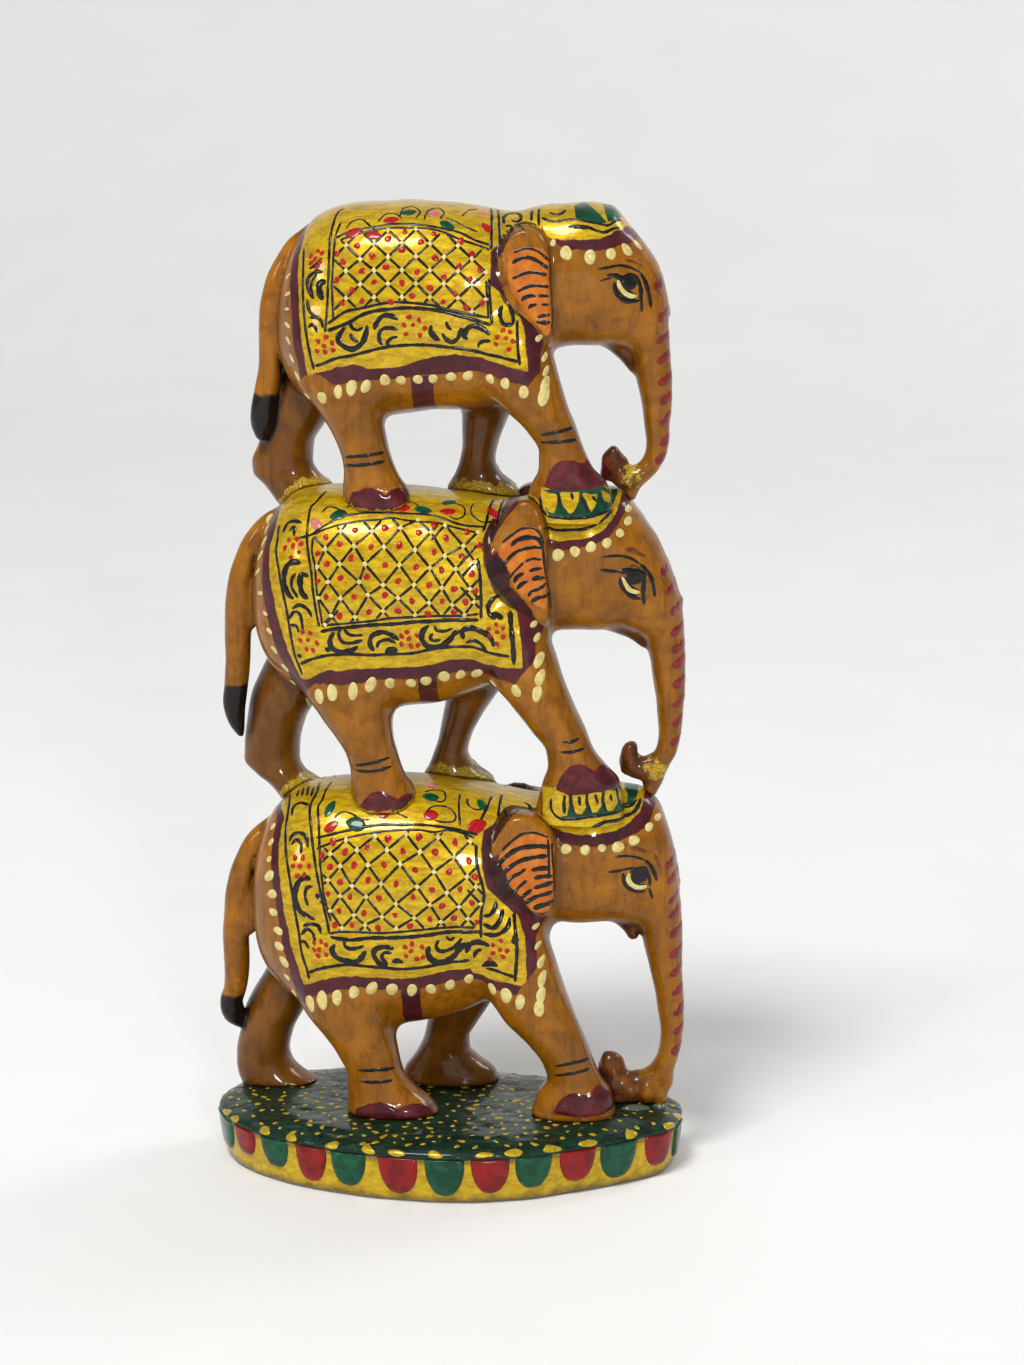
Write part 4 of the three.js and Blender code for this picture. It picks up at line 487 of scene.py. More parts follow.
            [0.76,[[-2.66,-8.9],[-3.88,-12.4],[-4.09,-17.3],[-2.71,-21.7],[-0.28,-21.2],[1.55,-17.7],[2.56,-14],[3.76,-13]]],[0.48,[[-1.86,-13.7],[-2.48,-16.3],
            [-1.68,-18],[-0.26,-17.5]]],[0.44,[[-1.65,-8.9],[-1.06,-11.9],[0.55,-12.6],[2.16,-11]]],[0.76,[[4.24,-18.3],[4.06,-13.1],[5.56,-11.5],[7.56,-13.8],
            [9.59,-17.2],[10.39,-23.1]]],[0.48,[[4.63,-20.6],[6.33,-19.7],[7.93,-22.7],[8.92,-27.6]]],[0.64,[[11.51,9.8],[10.13,7.1],[9.15,1.7],[9.56,-3.6],
            [10.78,-6.2]]],[1.1,[[9.76,-3],[10.97,-3.7],[12.2,-6.1]]],[1,[[-23.85,-22.5],[-22.82,-23.9]]],[0.92,[[-29.89,-30.1],[-28.78,-29.4]]]],
        "vines": [[0.38,[[-0.57,63.8],[1.37,66.6],[3.6,63.7],[3.98,57.2],[2.57,53.3],[0.93,54.7]]],[0.38,[[5.55,69.9],[5.18,61.2],[6.34,55.5],[8.39,53.8],[9.54,56.1]]],
            [0.38,[[-20.09,57.4],[-18.23,61.9],[-15.39,62.5],[-13.25,59.7],[-11.47,55.7]]],[0.38,[[-10.32,57.9],[-8.87,62.9],[-6.44,63],[-5.1,59.5]]],
            [0.38,[[-24.96,55.6],[-23.85,58.9],[-22.16,57.7],[-20.38,54.1]]]],
        "leaves": [["green",3.2,1.8,-21.48,53.1,10],["green",3,1.7,-4.45,58.2,-10],["green",2.6,1.5,0.54,67.2,20],["pink",2.6,1.6,-25.98,48.7,-40],
            ["red",2.8,1.6,0.62,58.4,10],["red",3.2,1.9,9.59,62.8,-60],["red",2.6,1.5,-15.84,58.4,0],["red",2.6,1.5,-8.51,58.3,15]],
        "girth": [[-3.81,-42.9],[-1.39,-43.5],[-2.88,-82.5],[-5.25,-82.6]],
        "zh": 128.0,
        "foot_z": 146.55,
        "gold_cap": [[19.49,159.74],[19.59,142.19],[20.09,138.96],[20.71,135.92],[23.41,135.4],[26.45,135.65],[29.48,136.26],[32.06,137.57],[33.82,139.45],[34.77,141.29],
            [35.47,143.33],[35.92,158.63]],
        "band": [[19.49,159.74],[19.59,142.19],[20.09,138.96],[20.71,134.09],[23.43,133.58],[26.47,133.83],[29.49,134.64],[32.09,135.38],[33.87,136.91],[35.24,138.8],
            [36.56,141.12],[37.2,142.46],[39.23,143.69],[39.2,158.66]],
        "cap_dots": [[23.03,132.56,1.28],[26.47,133.32,1.1],[29.7,134.23,1.12],[32.89,134.94,1.04],[35.48,136.85,0.88],[37.02,139.03,0.84],[37.03,141.37,0.72]],
        "cap_green": [[[19.98,145.85],[20.43,142.28],[21.25,140.9],[22.48,140.54],[25.51,140.39],[28.53,140.39],[31.49,141.25],[33.62,141.93],[34.29,143.1],[34.81,144.45],
            [31.42,147],[25.47,146.83]]],
        "cap_petals": [[[19.77,145.83],[20.01,143.06],[21.05,141.71],[22.27,141.14],[22.87,142.97],[23.06,144.98]],[[23.46,145.59],[24.08,142.98],[25.31,141.19],
            [26.31,141.61],[27.3,144.01],[27.28,145.62]],[[27.89,145.41],[28.9,143.39],[29.71,141.56],[30.69,142.91],[30.86,145.09]],[[31.44,146.03],
            [32.25,143.77],[33.22,143.01],[33.64,143.78],[33.27,144.82]]],
        "cap_lines": [[0.44,[[20.85,140.68],[23.49,140.36],[26.52,140.3],[29.52,140.56],[32.09,141.2],[33.76,141.7]]],[0.48,[[20.11,138.39],[22.37,137.57],[25.41,137.62],
            [28.45,137.86],[31.03,138.97],[32.87,140.51],[33.96,141.51]]],[0.44,[[19.37,144.6],[19.8,142.22],[20.85,140.68]]],[0.44,[[23.05,145.59],[23.27,143.58],
            [23.69,141.97]]],[0.44,[[25.68,145.62],[26.09,144.01]]],[0.44,[[27.49,145.01],[28.3,143.2],[29.12,141.58]]],[0.48,[[29.88,144.75],[30.88,143.5]]]],
        "lattice": [[[-20.79,43.5],[-21.35,45.3],[-21.63,46.1]],[[-20.79,43.5],[-22.29,38.9],[-23.84,34.5]],[[-20.79,43.5],[-20.08,45.8],[-19.61,47.4]],[[-20.79,43.5],
            [-19.31,39.3],[-17.87,35.4]],[[-14.37,43.5],[-15.46,46.6],[-16.29,49]],[[-14.37,43.5],[-16.11,39.4],[-17.87,35.4]],[[-14.37,43.5],[-13.44,46.7],
            [-12.52,50.2]],[[-14.37,43.5],[-13.08,39.3],[-11.8,35.2]],[[-8.66,45.8],[-9.74,48.7],[-10.56,51.1]],[[-8.66,45.8],[-10.22,40.4],[-11.8,35.2]],
            [[-8.66,45.8],[-7.1,40.1],[-5.56,34.3]],[[-5.27,51.2],[-6.97,48.5],[-8.66,45.8]],[[-5.27,51.2],[-3.85,47.5],[-2.46,44.1]],[[-2.46,44.1],[-4,39.2],
            [-5.56,34.3]],[[-2.46,44.1],[-1.75,46.5],[-1.06,49.3]],[[-2.46,44.1],[-0.95,37.7],[0.52,31.6]],[[0.27,48.6],[-1.14,43.4],[-2.33,39.4]],[[0.27,48.6],
            [2.23,43],[4.16,37.6]],[[6.92,46.8],[5.56,41.9],[4.16,37.6]],[[-23.84,34.5],[-25.19,38.6],[-26.29,41.8]],[[-23.84,34.5],[-24.63,29.9],[-25.45,25.1]],
            [[-23.84,34.5],[-22.28,30.3],[-20.76,26.1]],[[-17.87,35.4],[-19.31,30.8],[-20.76,26.1]],[[-17.87,35.4],[-16.71,30.8],[-15.55,26]],[[-11.8,35.2],
            [-13.67,30.6],[-15.55,26]],[[-11.8,35.2],[-10.19,30.6],[-8.59,25.9]],[[-5.56,34.3],[-7.06,30],[-8.59,25.9]],[[-5.56,34.3],[-3.99,29.5],[-2.43,24.6]],
            [[0.52,31.6],[-0.95,28],[-2.43,24.6]],[[0.52,31.6],[1.64,28.2],[2.77,24.7]],[[4.16,37.6],[2.34,34.6],[0.52,31.6]],[[4.16,37.6],[5.37,33.3],
            [6.55,29.1]],[[6.55,29.1],[5.08,24.1],[3.84,19.9]],[[6.55,29.1],[7.04,30.8],[7.28,31.6]],[[6.55,29.1],[7.05,27.6],[7.31,26.9]],[[-25.45,25.1],
            [-24.29,20.7],[-23.14,16.3]],[[-20.76,26.1],[-21.94,21.3],[-23.14,16.3]],[[-20.76,26.1],[-18.75,21.2],[-16.75,16.3]],[[-15.55,26],[-16.13,21.2],
            [-16.75,16.3]],[[-15.55,26],[-13.7,20.4],[-11.87,14.7]],[[-8.59,25.9],[-10.21,20.3],[-11.87,14.7]],[[-8.59,25.9],[-7.09,20.5],[-5.61,15]],
            [[-2.43,24.6],[-4.01,19.8],[-5.61,15]],[[-2.43,24.6],[-1.21,19.2],[0,13.5]],[[2.77,24.7],[1.39,19.1],[0,13.5]],[[2.77,24.7],[4.98,32],[6.9,38.9]],
            [[2.77,24.7],[4.2,19.1],[5.6,13.3]],[[-23.14,16.3],[-24.18,11.6],[-25.22,6.7]],[[-23.14,16.3],[-21.83,11.5],[-20.54,6.7]],[[-16.75,16.3],[-18.66,11.6],
            [-20.54,6.7]],[[-16.75,16.3],[-15.84,12.6],[-14.92,8.9]],[[-11.87,14.7],[-13.39,11.8],[-14.92,8.9]],[[-11.87,14.7],[-10.36,11.1],[-8.85,7.4]],
            [[-5.61,15],[-7.22,11.2],[-8.85,7.4]],[[-5.61,15],[-4.1,9.9],[-2.61,4.6]],[[0,13.5],[-1.3,9.1],[-2.61,4.6]],[[0,13.5],[1,8.6],[2,3.4]],[[5.6,13.3],
            [3.8,8.3],[2,3.4]],[[5.6,13.3],[6.59,16.8],[7.57,20.3]],[[5.6,13.3],[6.59,9.9],[7.57,6.2]],[[-25.22,6.7],[-23.87,1.3],[-22.53,-4]],[[-20.54,6.7],
            [-21.53,1.4],[-22.53,-4]],[[-20.54,6.7],[-19.06,1.3],[-17.62,-4.2]],[[-14.92,8.9],[-16.25,2.5],[-17.62,-4.2]],[[-14.92,8.9],[-13.4,4.3],[-11.9,-0.4]],
            [[-8.85,7.4],[-10.38,3.5],[-11.9,-0.4]],[[-8.85,7.4],[-7.14,2.4],[-5.45,-2.7]],[[-2.61,4.6],[-4.03,1],[-5.45,-2.7]],[[-2.61,4.6],[-1.38,0.2],
            [-0.38,-3.3]],[[2,3.4],[0.98,-0.1],[0.22,-2.8]],[[2,3.4],[3.24,0.2],[4.48,-3]],[[6.38,5.2],[4.9,10.5],[3.65,14.7]],[[6.38,5.2],[5.43,1],[4.48,-3]],
            [[6.38,5.2],[7.13,7.9],[7.62,9.7]],[[6.38,5.2],[7.12,2.4],[7.61,0.5]],[[-22.53,-4],[-23.58,-7.6],[-24.36,-10.2]],[[-22.53,-4],[-21.77,-6.5],
            [-21.26,-8.1]],[[-17.62,-4.2],[-18.14,-6],[-18.65,-7.7]],[[-17.62,-4.2],[-17.12,-5.9],[-16.87,-6.7]],[[-11.9,-0.4],[-12.67,-2.9],[-13.44,-5.5]],
            [[-11.9,-0.4],[-11.16,-2.9],[-10.66,-4.6]],[[-23.79,-9.5],[-24.31,-8],[-24.57,-7.2]],[[-23.79,-9.5],[-22.23,-4.3],[-20.92,0.1]]],
        "panel": [[-26.64,41.5],[-24.43,44.8],[-22,46.6],[-19.37,47.9],[-16.95,49.1],[-13.73,49.9],[-10.51,51.2],[-8.07,50.5],[-4.22,50],[-0.97,49.6],[1.89,47.9],
            [4.41,47],[6.94,46.1],[7.57,21.3],[7.77,8.4],[7.56,-2.8],[2.18,-3.5],[-1.84,-3.4],[-5.86,-3.9],[-10.1,-4.5],[-14.16,-6.4],[-18.25,-7.8],[-22.55,-9.3],
            [-24.41,-10.8],[-25.22,6.1],[-25.66,15.8],[-25.87,25.7],[-26.55,33.5]],
        "ear_area": [[11.38,131.7],[11.18,134.15],[11.99,135.59],[14.22,137.24],[16.04,138.28],[18.06,138.51],[19.48,137.71],[20.29,135.88],[20.5,131.8],[20.91,127.71],
            [21.33,123.61],[21.54,120.73],[19.71,122.15],[17.47,123.15],[15.24,125.18],[13,128.03]],
        "ear_lines": [[0.44,[[11.83,135.26],[13.85,136.91],[15.87,138.15],[17.89,138.38],[19.3,137.58],[20.12,135.96]]],[0.88,[[13.65,134.66],[14.66,135.69],[16.28,136.32],
            [18.3,136.45],[19.71,135.75],[19.71,134.73]]],[0.64,[[12.23,130.76],[13.44,132.41],[15.06,133.66],[17.09,134.29],[19.11,134.52],[19.92,134.12]]],
            [0.4,[[13.24,127.91],[14.25,129.35],[15.47,130.6],[16.28,131.42]]],[0.52,[[16.48,131.53],[18.1,132.16],[19.92,132.08]]],[0.88,[[14.25,127.1],
            [14.86,128.34],[16.28,129.17]]],[0.64,[[17.29,129.59],[18.51,130.02],[20.13,130.34]]],[0.8,[[14.86,125.88],[15.88,126.91],[17.09,127.54]]],
            [0.92,[[17.9,127.76],[19.12,128.28],[20.54,128.2]]],[0.6,[[17.1,124.26],[17.7,125.29],[18.72,125.72],[19.93,126.35],[20.74,127.18]]],
            [0.76,[[17.71,123.24],[19.13,124.08],[20.54,124.4],[21.35,124.72]]],[0.48,[[19.91,135.95],[20.22,132.9],[20.53,129.84],[20.94,127.18],[21.36,124.31],
            [21.57,121.23]]]],
        "sclera": [1.12,[[35.96,127.9],[36.58,126.43],[37.59,125.13],[38.8,124.65],[39.6,124.6]]],
        "pupil": [38.38,127.58,1.36],
        "eye_lines": [[0.48,[[31.53,129.57],[33.54,129.2],[35.35,129.05]]],[0.88,[[34.95,129.06],[36.76,129.11],[38.56,129.01],[40.18,128.08],[40.3,126.01],
            [40.21,123.93]]],[0.64,[[35.56,127.91],[35.87,126.24],[36.78,124.74],[38.2,123.63],[39.81,123.11]]],[0.6,[[40.2,125.39],[40.31,123.5],[40.52,121.79]]],
            [0.4,[[31.91,132.11],[33.92,132.25],[35.93,132.19],[37.94,131.48],[39.55,130.36]]],[0.64,[[39.55,130.36],[40.97,128.83],[42,126.92],[42.42,124.83],
            [42.63,123.35]]]],
        "rust": [[0.68,[[36.51,133.59],[37.92,133.3],[39.12,132.6],[40.53,131.87]]],[0.36,[[37.15,130.11],[38.75,130.01],[39.76,129.33]]],[0.36,[[43.59,127.76],
            [44.42,126.05]]]],
        "chev": [128.94,124.99,120.6,115.99,112.21,109.05,104.83,100.59,96.34,92.08],
        "ankles": [[[-18.66,88.5],[-14.95,89.34],[-11.41,90.29]],[[-18.74,87.32],[-14.6,87.57],[-11.02,88.36]],[[24.14,94.52],[25.97,94.5],[27.75,95.09]],[[23.71,92.29],
            [26.18,92.41],[28.76,92.93]]],
        "nails": [[[-18.48,77.65],[-17.2,80.86],[-15.52,82.79],[-13.45,83.46],[-11.38,82.44],[-9.94,81.41],[-8.69,82.27],[-6.83,82.09],[-5.6,79.78],[-6.45,77.22],
            [-10.39,76.52],[-15.58,76.64]],[[22.66,84.07],[24.08,87.25],[25.72,89.38],[27.77,89.83],[29.41,89.02],[30.64,88.2],[31.86,89.27],[33.5,88.67],
            [35.15,87.01],[36.19,84.72],[31.9,83.59],[25.74,83.07]]],
    },
    "lower": {
        "zc": 57.0,
        "gold": {"left":[[-35.63,79.3],[-34.08,61.6],[-34.6,50.1],[-34.63,38.5],[-34.31,24.6],[-33.84,12.3],[-33.03,-3.5],[-32,-19.4],[-30.75,-30.1],[-29.57,-39.7]],
            "bottom":[[-29.34,-39.7],[-25.75,-34.4],[-21.51,-31.2],[-18.18,-31],[-14.92,-32.9],[-10.82,-34.4],[-6.65,-33.7],[-2.48,-31.5],[1.63,-30.3],
            [5.29,-31.5],[5.88,-34.5],[9.42,-36.9],[13.27,-35.2],[16.99,-36.7]],"right":[[16.97,-28.6],[16.96,-19.8],[16.53,-8.7],[15.23,2.8],[12.52,10.4],
            [10.48,17.1],[8.87,21.3],[8.04,31.4],[7.55,41.7],[8.01,51.7],[10.18,56.4],[13.4,54.9],[16.49,55.2],[19.76,55.2]]},
        "maroon": {"left":[[-36.91,81.2],[-35.8,65],[-36.31,53.8],[-36.51,40.3],[-36.19,25.4],[-35.48,10.4],[-34.63,-6.2],[-34.07,-22],[-32.67,-35.8],[-30.96,-53.8]],
            "bottom":[[-30.61,-51.4],[-25.84,-41.2],[-21.59,-37.9],[-17.43,-37.2],[-13.4,-40.2],[-9.26,-40.7],[-5.09,-39.9],[-0.92,-37.9],[3.2,-37.2],[5.63,-38.5],
            [9.38,-41.1],[13.68,-39.4],[18.63,-42.1]],"right":[[19.22,-35.4],[19.17,-25.5],[18.89,-13.1],[20.71,-4.6],[21.33,27.8],[21.31,43.2],[19.83,51.2]]},
        "dots": [[-28.11,-46.3],[-25.42,-42.5],[-22.25,-40.8],[-18.7,-38.9],[-15.01,-38.4],[-10.92,-40.2],[-6.77,-40.8],[-2.82,-40.7],[1.12,-39.4],[5.02,-37.9],
            [9.81,-41.9],[12.83,-41.2],[15.75,-43.1],[19.66,-46.1],[20.06,-41.7],[20.22,-36.2],[19.97,-28.8],[19.31,-19.2],[18.83,-6.8],[-38.02,80.4],
            [-36.54,60.9],[-36.7,50.7],[-36.98,40.2],[-36.92,28.7],[-36.2,14.9],[-36.03,0.3],[-34.91,-13.4],[-34.8,-24.8],[-33.77,-33.9],[-33.38,-44.6],
            [-32.11,-53.4]],
        "cross": [[-20.29,43.9],[-14.31,45.8],[-7.9,46.9],[-1.28,45.9],[-23.55,37.3],[-17.91,38.9],[-11.71,39.2],[-4.89,38.6],[2.09,37],[5.26,45.5],[-21.36,30.9],
            [-15.56,31.6],[-8.94,32.3],[-1.94,28.9],[4.79,27.1],[-23.86,23.6],[-18.84,20.4],[-12.81,21.8],[-5.4,20.6],[0.73,17.6],[6.64,21.6],[-21.35,14.6],
            [-15.96,14.3],[-9.73,10.6],[-2.72,10.3],[3.2,9.2],[7.66,11.1],[-23.47,5.4],[-18.49,3.2],[-12.64,2.6],[-6.03,2.3],[-0.5,-0.2],[5.03,1.5],[-21,-5],
            [-16.21,-2.7],[-9.75,-4.5]],
        "red": [[-23.01,43.2],[-25.23,36.5],[-20.38,37.9],[-15.87,40.5],[-11.59,44.5],[-5.18,45.5],[-8.4,38.8],[-1.81,38.8],[2.22,44.2],[-23.47,30.6],[-18.45,31.5],
            [-12.24,31.7],[-5.84,29.6],[1.11,29.3],[5.16,35.6],[6.42,27.3],[-21.33,22.5],[-15.52,23.8],[-9.72,21.9],[-2.33,19.1],[3.39,20.1],[-23.87,15.7],
            [-19.28,14.2],[-13.24,13.9],[-6.22,14.9],[-0.27,9.8],[5.84,11.7],[-21.59,5.6],[-16.4,4.6],[-9.96,3.9],[-2.74,1.7],[2.17,2.3],[6.86,-0.7],[-22.46,-3.3],
            [-18.92,-3],[-13.49,-4.2],[-6.87,-2.7]],
        "cluster": [[-31.02,36.6],[-29.28,36.1],[-31.41,32.2],[-29.88,31.8],[-27.94,31.5],[-30.51,26.3],[-28.99,26.7],[-26.89,-14.7],[-25.38,-13.5],[-24.32,-15],
            [-26.9,-18.7],[-25.82,-18.1],[-24.34,-20.4],[-26.05,-21.6],[-6.47,-13.4],[-7.93,-15.3],[-4.42,-15.2],[-6.7,-17.7],[-7.75,-20.6],[-4.26,-21.4],
            [-5.5,-22.5],[11.84,-12.3],[10.16,-15.4],[11.62,-18.1],[13.08,-18.3],[10.13,-20.8],[12.24,-22.2],[9.48,-25.1]],
        "lines": [[0.6,[[-34.73,98.6],[-33.42,70.9],[-33.38,54.6],[-33.2,43.3],[-32.52,31.4],[-31.6,16.5],[-31.01,3.1],[-30.19,-11.4],[-29.58,-23.2],[-28.52,-30.8],
            [-28.14,-35.5]]],[0.64,[[-28.31,-32.1],[-25.67,-28.3],[-22.29,-26.1],[-18.95,-25.3],[-14.84,-26.7],[-9.89,-28.2],[-5.75,-27.8],[-1.62,-26.5],
            [1.67,-25.4],[5.33,-25.8]]],[0.6,[[8.61,-31.1],[11.59,-30.8],[14.93,-32.3]]],[0.68,[[14.39,5.5],[14.68,-4.5],[15.13,-16.6],[14.93,-27.9],
            [14.73,-34.6]]],[0.56,[[-27.66,87],[-27.56,74],[-28.47,62.6],[-27.83,51],[-27.19,40.8],[-26.45,30.3],[-25.57,18],[-24.74,7.1],[-23.93,-4.1],
            [-23.7,-8.7]]],[0.48,[[-25.02,85.4],[-25.65,74.1],[-26.07,66],[-26.71,61.6],[-26.13,50.6],[-25.63,34.5],[-25.14,23.7],[-24.72,14.4],[-23.3,-1.6]]],
            [0.56,[[-26.64,45.7],[-23.72,46.8],[-20.4,48.4],[-16.68,50.1],[-12.57,51.3],[-8.42,51.3],[-4.29,51.5],[-0.15,50.9],[3.13,50.4],[6.83,49.2]]],
            [0.44,[[-26.55,40.2],[-24.47,41.9],[-21.55,44],[-18.25,45.8],[-14.95,47.2],[-11.66,48.3],[-8.36,48.8],[-5.05,48.9],[-2.15,48.2],[0.7,49.6],[3.57,49.1],
            [6.25,47.4]]],[0.48,[[-23.7,-8.7],[-21.41,-7.3],[-17.26,-7.1],[-13.08,-7.2],[-8.93,-6.3],[-4.8,-5],[-0.71,-4],[3.39,-3.6],[6.45,-4.6]]],
            [0.76,[[-23.49,-10.4],[-19.32,-11.7],[-15.16,-10.3],[-11.01,-10],[-6.87,-9.3],[-2.75,-8],[1.34,-6.6],[5.42,-7.1],[7.67,-7.4]]],[0.6,[[6.5,44.4],
            [6.8,34.3],[8.06,21.2],[8.27,16.3],[7.67,3.2],[7.66,-11.4]]],[0.56,[[9.02,76.4],[8.47,66.9],[7.09,56.4]]],[0.56,[[10.97,80.9],[10.87,69.9],
            [10.72,60]]],[0.44,[[2.46,73.3],[2.62,62.5],[3.09,52.5]]]],
        "swirls": [[0.52,[[-32.28,60.6],[-32.28,65.7],[-30.86,67.7],[-28.75,64.2]]],[0.56,[[-32.49,46],[-31.68,49.2],[-30.16,49.4],[-28.79,46.7],[-28.26,41]]],
            [0.48,[[-32.01,44.1],[-30.95,46.1],[-29.8,43.5],[-29.74,38.3]]],[0.8,[[-27.49,24.3],[-29.2,25],[-30.51,20.9],[-30.94,14],[-30.33,6.1],[-28.86,0.3]]],
            [0.48,[[-27.06,20.3],[-28.35,19.1],[-28.78,14.2],[-28.15,7.8]]],[0.92,[[-26.21,16.1],[-26.01,12.5]]],[0.48,[[-25.58,11.3],[-24.31,8.4]]],
            [0.48,[[-29.26,4.3],[-28.2,1.2],[-26.69,-1]]],[0.56,[[-29.32,-5.9],[-27.79,-4],[-26.06,-4.6],[-25.4,-9.1]]],[0.48,[[-29.75,-11.8],[-28.44,-7.4],
            [-27.12,-9.8],[-26.67,-14.1]]],[0.44,[[-29.98,-15.7],[-28.87,-15.5],[-28,-18.9]]],[0.76,[[-22.44,-14.2],[-23.08,-17.6],[-22.26,-21.3],[-20.19,-23.3],
            [-17.69,-23.1],[-16,-17.6]]],[0.52,[[-20.57,-11.8],[-20.35,-15],[-19.31,-16.5],[-17.65,-15.9],[-16.41,-14.8]]],[0.72,[[-10.22,-16.5],[-12.28,-15.4],
            [-14.14,-17],[-14.37,-20.5],[-13.17,-25.2],[-11.54,-27.1]]],[0.52,[[-10.64,-18.9],[-12.29,-18.9],[-12.73,-21.7],[-11.53,-25.9]]],[0.92,[[-10.68,-24.1],
            [-9.43,-23.4],[-8.4,-24.6]]],[0.84,[[-2.97,-14.7],[-3.22,-19.7],[-2.02,-24.1],[0.44,-24.6],[2.31,-21.2],[3.35,-17.1],[5.2,-13.7]]],
            [0.56,[[-0.92,-11.3],[-1.54,-14.9],[-0.75,-18.2],[0.9,-17.8],[2.54,-15.6],[3.78,-10.7]]],[0.48,[[0.51,-9.1],[1.33,-11.6],[2.35,-9.9]]],
            [0.76,[[4.55,-20.8],[5.39,-15.7],[7.04,-14.1],[9.52,-16.3]]],[0.56,[[6.16,-24.8],[6.59,-20.8],[7.84,-18.8]]],[0.92,[[7.77,-30.2],[9.47,-27.6],
            [11.17,-28]]],[0.6,[[10.69,13.1],[10.51,8.4],[9.51,3.8],[8.07,3.2]]],[0.68,[[12.14,7.7],[11.57,0.5],[10.15,-4.6],[8.08,-2.1]]],[0.6,[[13.6,2.3],
            [13.05,-4.4],[10.79,-8.8],[8.08,-8.7]]],[1.2,[[14.51,-8.6],[14.72,-11.7],[14.72,-14.7]]],[0.44,[[-31.96,83.7],[-31.87,74.5]]],[0.44,[[-30.98,85.2],
            [-30.74,73.5]]],[0.44,[[-29.84,84.1],[-29.59,72.1]]],[0.44,[[-28.57,80.6],[-28.64,70.3]]],[0.52,[[11.78,67.1],[13.28,58.9],[14.63,62.5],[15.19,71.3]]],
            [0.48,[[15.7,76],[17.03,72.6],[17.69,63.5]]]],
        "vines": [[0.4,[[-4.92,70.7],[-3.36,73.1],[-0.87,73.2],[-0.42,66.7],[-1.8,64.9],[-3.54,67]]],[0.4,[[-4.42,56.2],[-2.93,61.5],[-0.06,62.3],[1.91,58.6],
            [1.81,54.7],[-0.21,53.5],[-2.29,54.2]]],[0.4,[[4.02,70.3],[4.61,64.7],[6.52,63.1],[8.27,66.7],[8.79,70.3]]],[0.4,[[-23.1,55],[-21.53,58.1],[-19.41,57],
            [-17.63,54.1],[-15.54,53.6]]],[0.4,[[-16.09,57.9],[-14.14,61.3],[-11.61,60.3],[-9.84,57.1],[-7.69,54.8]]]],
        "leaves": [["green",2.8,1.6,-24.12,60.3,60],["green",3.8,2,-18.39,51.6,-10],["green",3,1.6,-3.35,67.7,0],["green",2.6,1.5,7.23,66.9,-50],
            ["red",2.6,1.5,-23.61,50.7,20],["red",2.8,1.6,-2.98,56.8,0],["red",3.6,2.1,6.54,53.8,30],["pink",2.4,1.4,-3.52,76.9,0],["red",2.8,1.6,-12.96,57.4,0]],
        "girth": [[-8.44,-41.3],[-5.13,-41.7],[-5.85,-65.7],[-9.07,-62.4]],
        "zh": 66.0,
        "foot_z": 84.25,
        "gold_cap": [[19.02,94.24],[20.21,76.42],[21.57,75.67],[24.6,74.52],[27.72,74],[31.82,74.15],[35.29,74.73],[37.93,76.18],[39.93,77.94],[40.48,79.97],[40.75,80.95],
            [41.4,94.68]],
        "band": [[19.02,94.24],[19.81,76.27],[22.08,73.98],[23.6,72.71],[26.09,71.95],[28.78,71.58],[31.86,71.5],[34.3,71.96],[36.95,73.04],[39.6,74.1],[41.42,75.34],
            [42.4,77.05],[42.93,78.81],[43.28,81.15],[44.31,94.6]],
        "cap_dots": [[24.86,71.09,1.12],[28.79,70.96,1.08],[32.27,71.27,0.88],[35.54,71.27,1.24],[38.81,72.43,1.12],[41.84,74.89,0.88],[43.63,76.41,0.72]],
        "cap_green": [[[21.97,83.76],[22.01,80.49],[22.86,79.14],[24.32,78.2],[26.8,78.27],[29.88,78.63],[32.92,78.9],[35.91,79.22],[38.04,79.51],[39.21,80.72],
            [39.7,83.16],[31.86,86.19]]],
        "cap_petals": [[[21.76,83.72],[21.78,81.28],[22.22,79.69],[23.7,78.58],[25.15,78.65],[25.55,80.97],[25.32,84.09]],[[25.95,83.71],[26.17,80.77],[27.2,79.11],
            [28.23,79.13],[29.25,80.83],[29.02,83.76]],[[29.43,83.76],[29.45,80.84],[30.49,79.36],[31.5,79.53],[32.3,81.15],[32.48,83.64]],[[32.88,84.02],
            [32.7,81.54],[33.52,79.57],[34.72,79.59],[35.5,81.06],[35.08,83.66]],[[35.46,84.31],[35.69,82.24],[36.39,79.77],[37.21,79.9],[37.34,81.16],
            [36.39,82.05]]],
        "cap_lines": [[0.44,[[21.78,82.09],[21.8,80.05],[22.65,78.71],[24.12,77.98],[26.8,78.06],[29.88,78.52],[32.92,78.79],[35.91,79.01],[37.85,79.17],[39.24,80.26]]],
            [0.6,[[23.73,75.84],[26.64,75.8],[29.73,76.05],[32.93,77.29],[35.92,77.3],[38.29,77.85],[39.49,79.07],[40.05,80.33]]],[0.56,[[24.71,83.03],
            [24.51,81.35],[24.63,79.05]]],[0.52,[[25.95,83.5],[25.96,81.4],[26.58,79.31]]],[0.52,[[27.6,82.91],[27.81,80.81]]],[0.52,[[29.23,83.55],[29.24,81.46],
            [30.08,79.36]]],[0.52,[[30.86,83.31],[31.49,81.2]]],[0.52,[[32.48,83.64],[32.5,81.56],[33.12,79.62]]],[0.48,[[33.9,83.07],[34.31,81.55]]],
            [0.44,[[35.08,84.07],[35.49,82.1],[35.9,80.06]]]],
        "lattice": [[[-20.29,43.9],[-21.89,40.4],[-23.55,37.3]],[[-20.29,43.9],[-19.09,41.3],[-17.91,38.9]],[[-14.31,45.8],[-16.11,42.4],[-17.91,38.9]],[[-14.31,45.8],
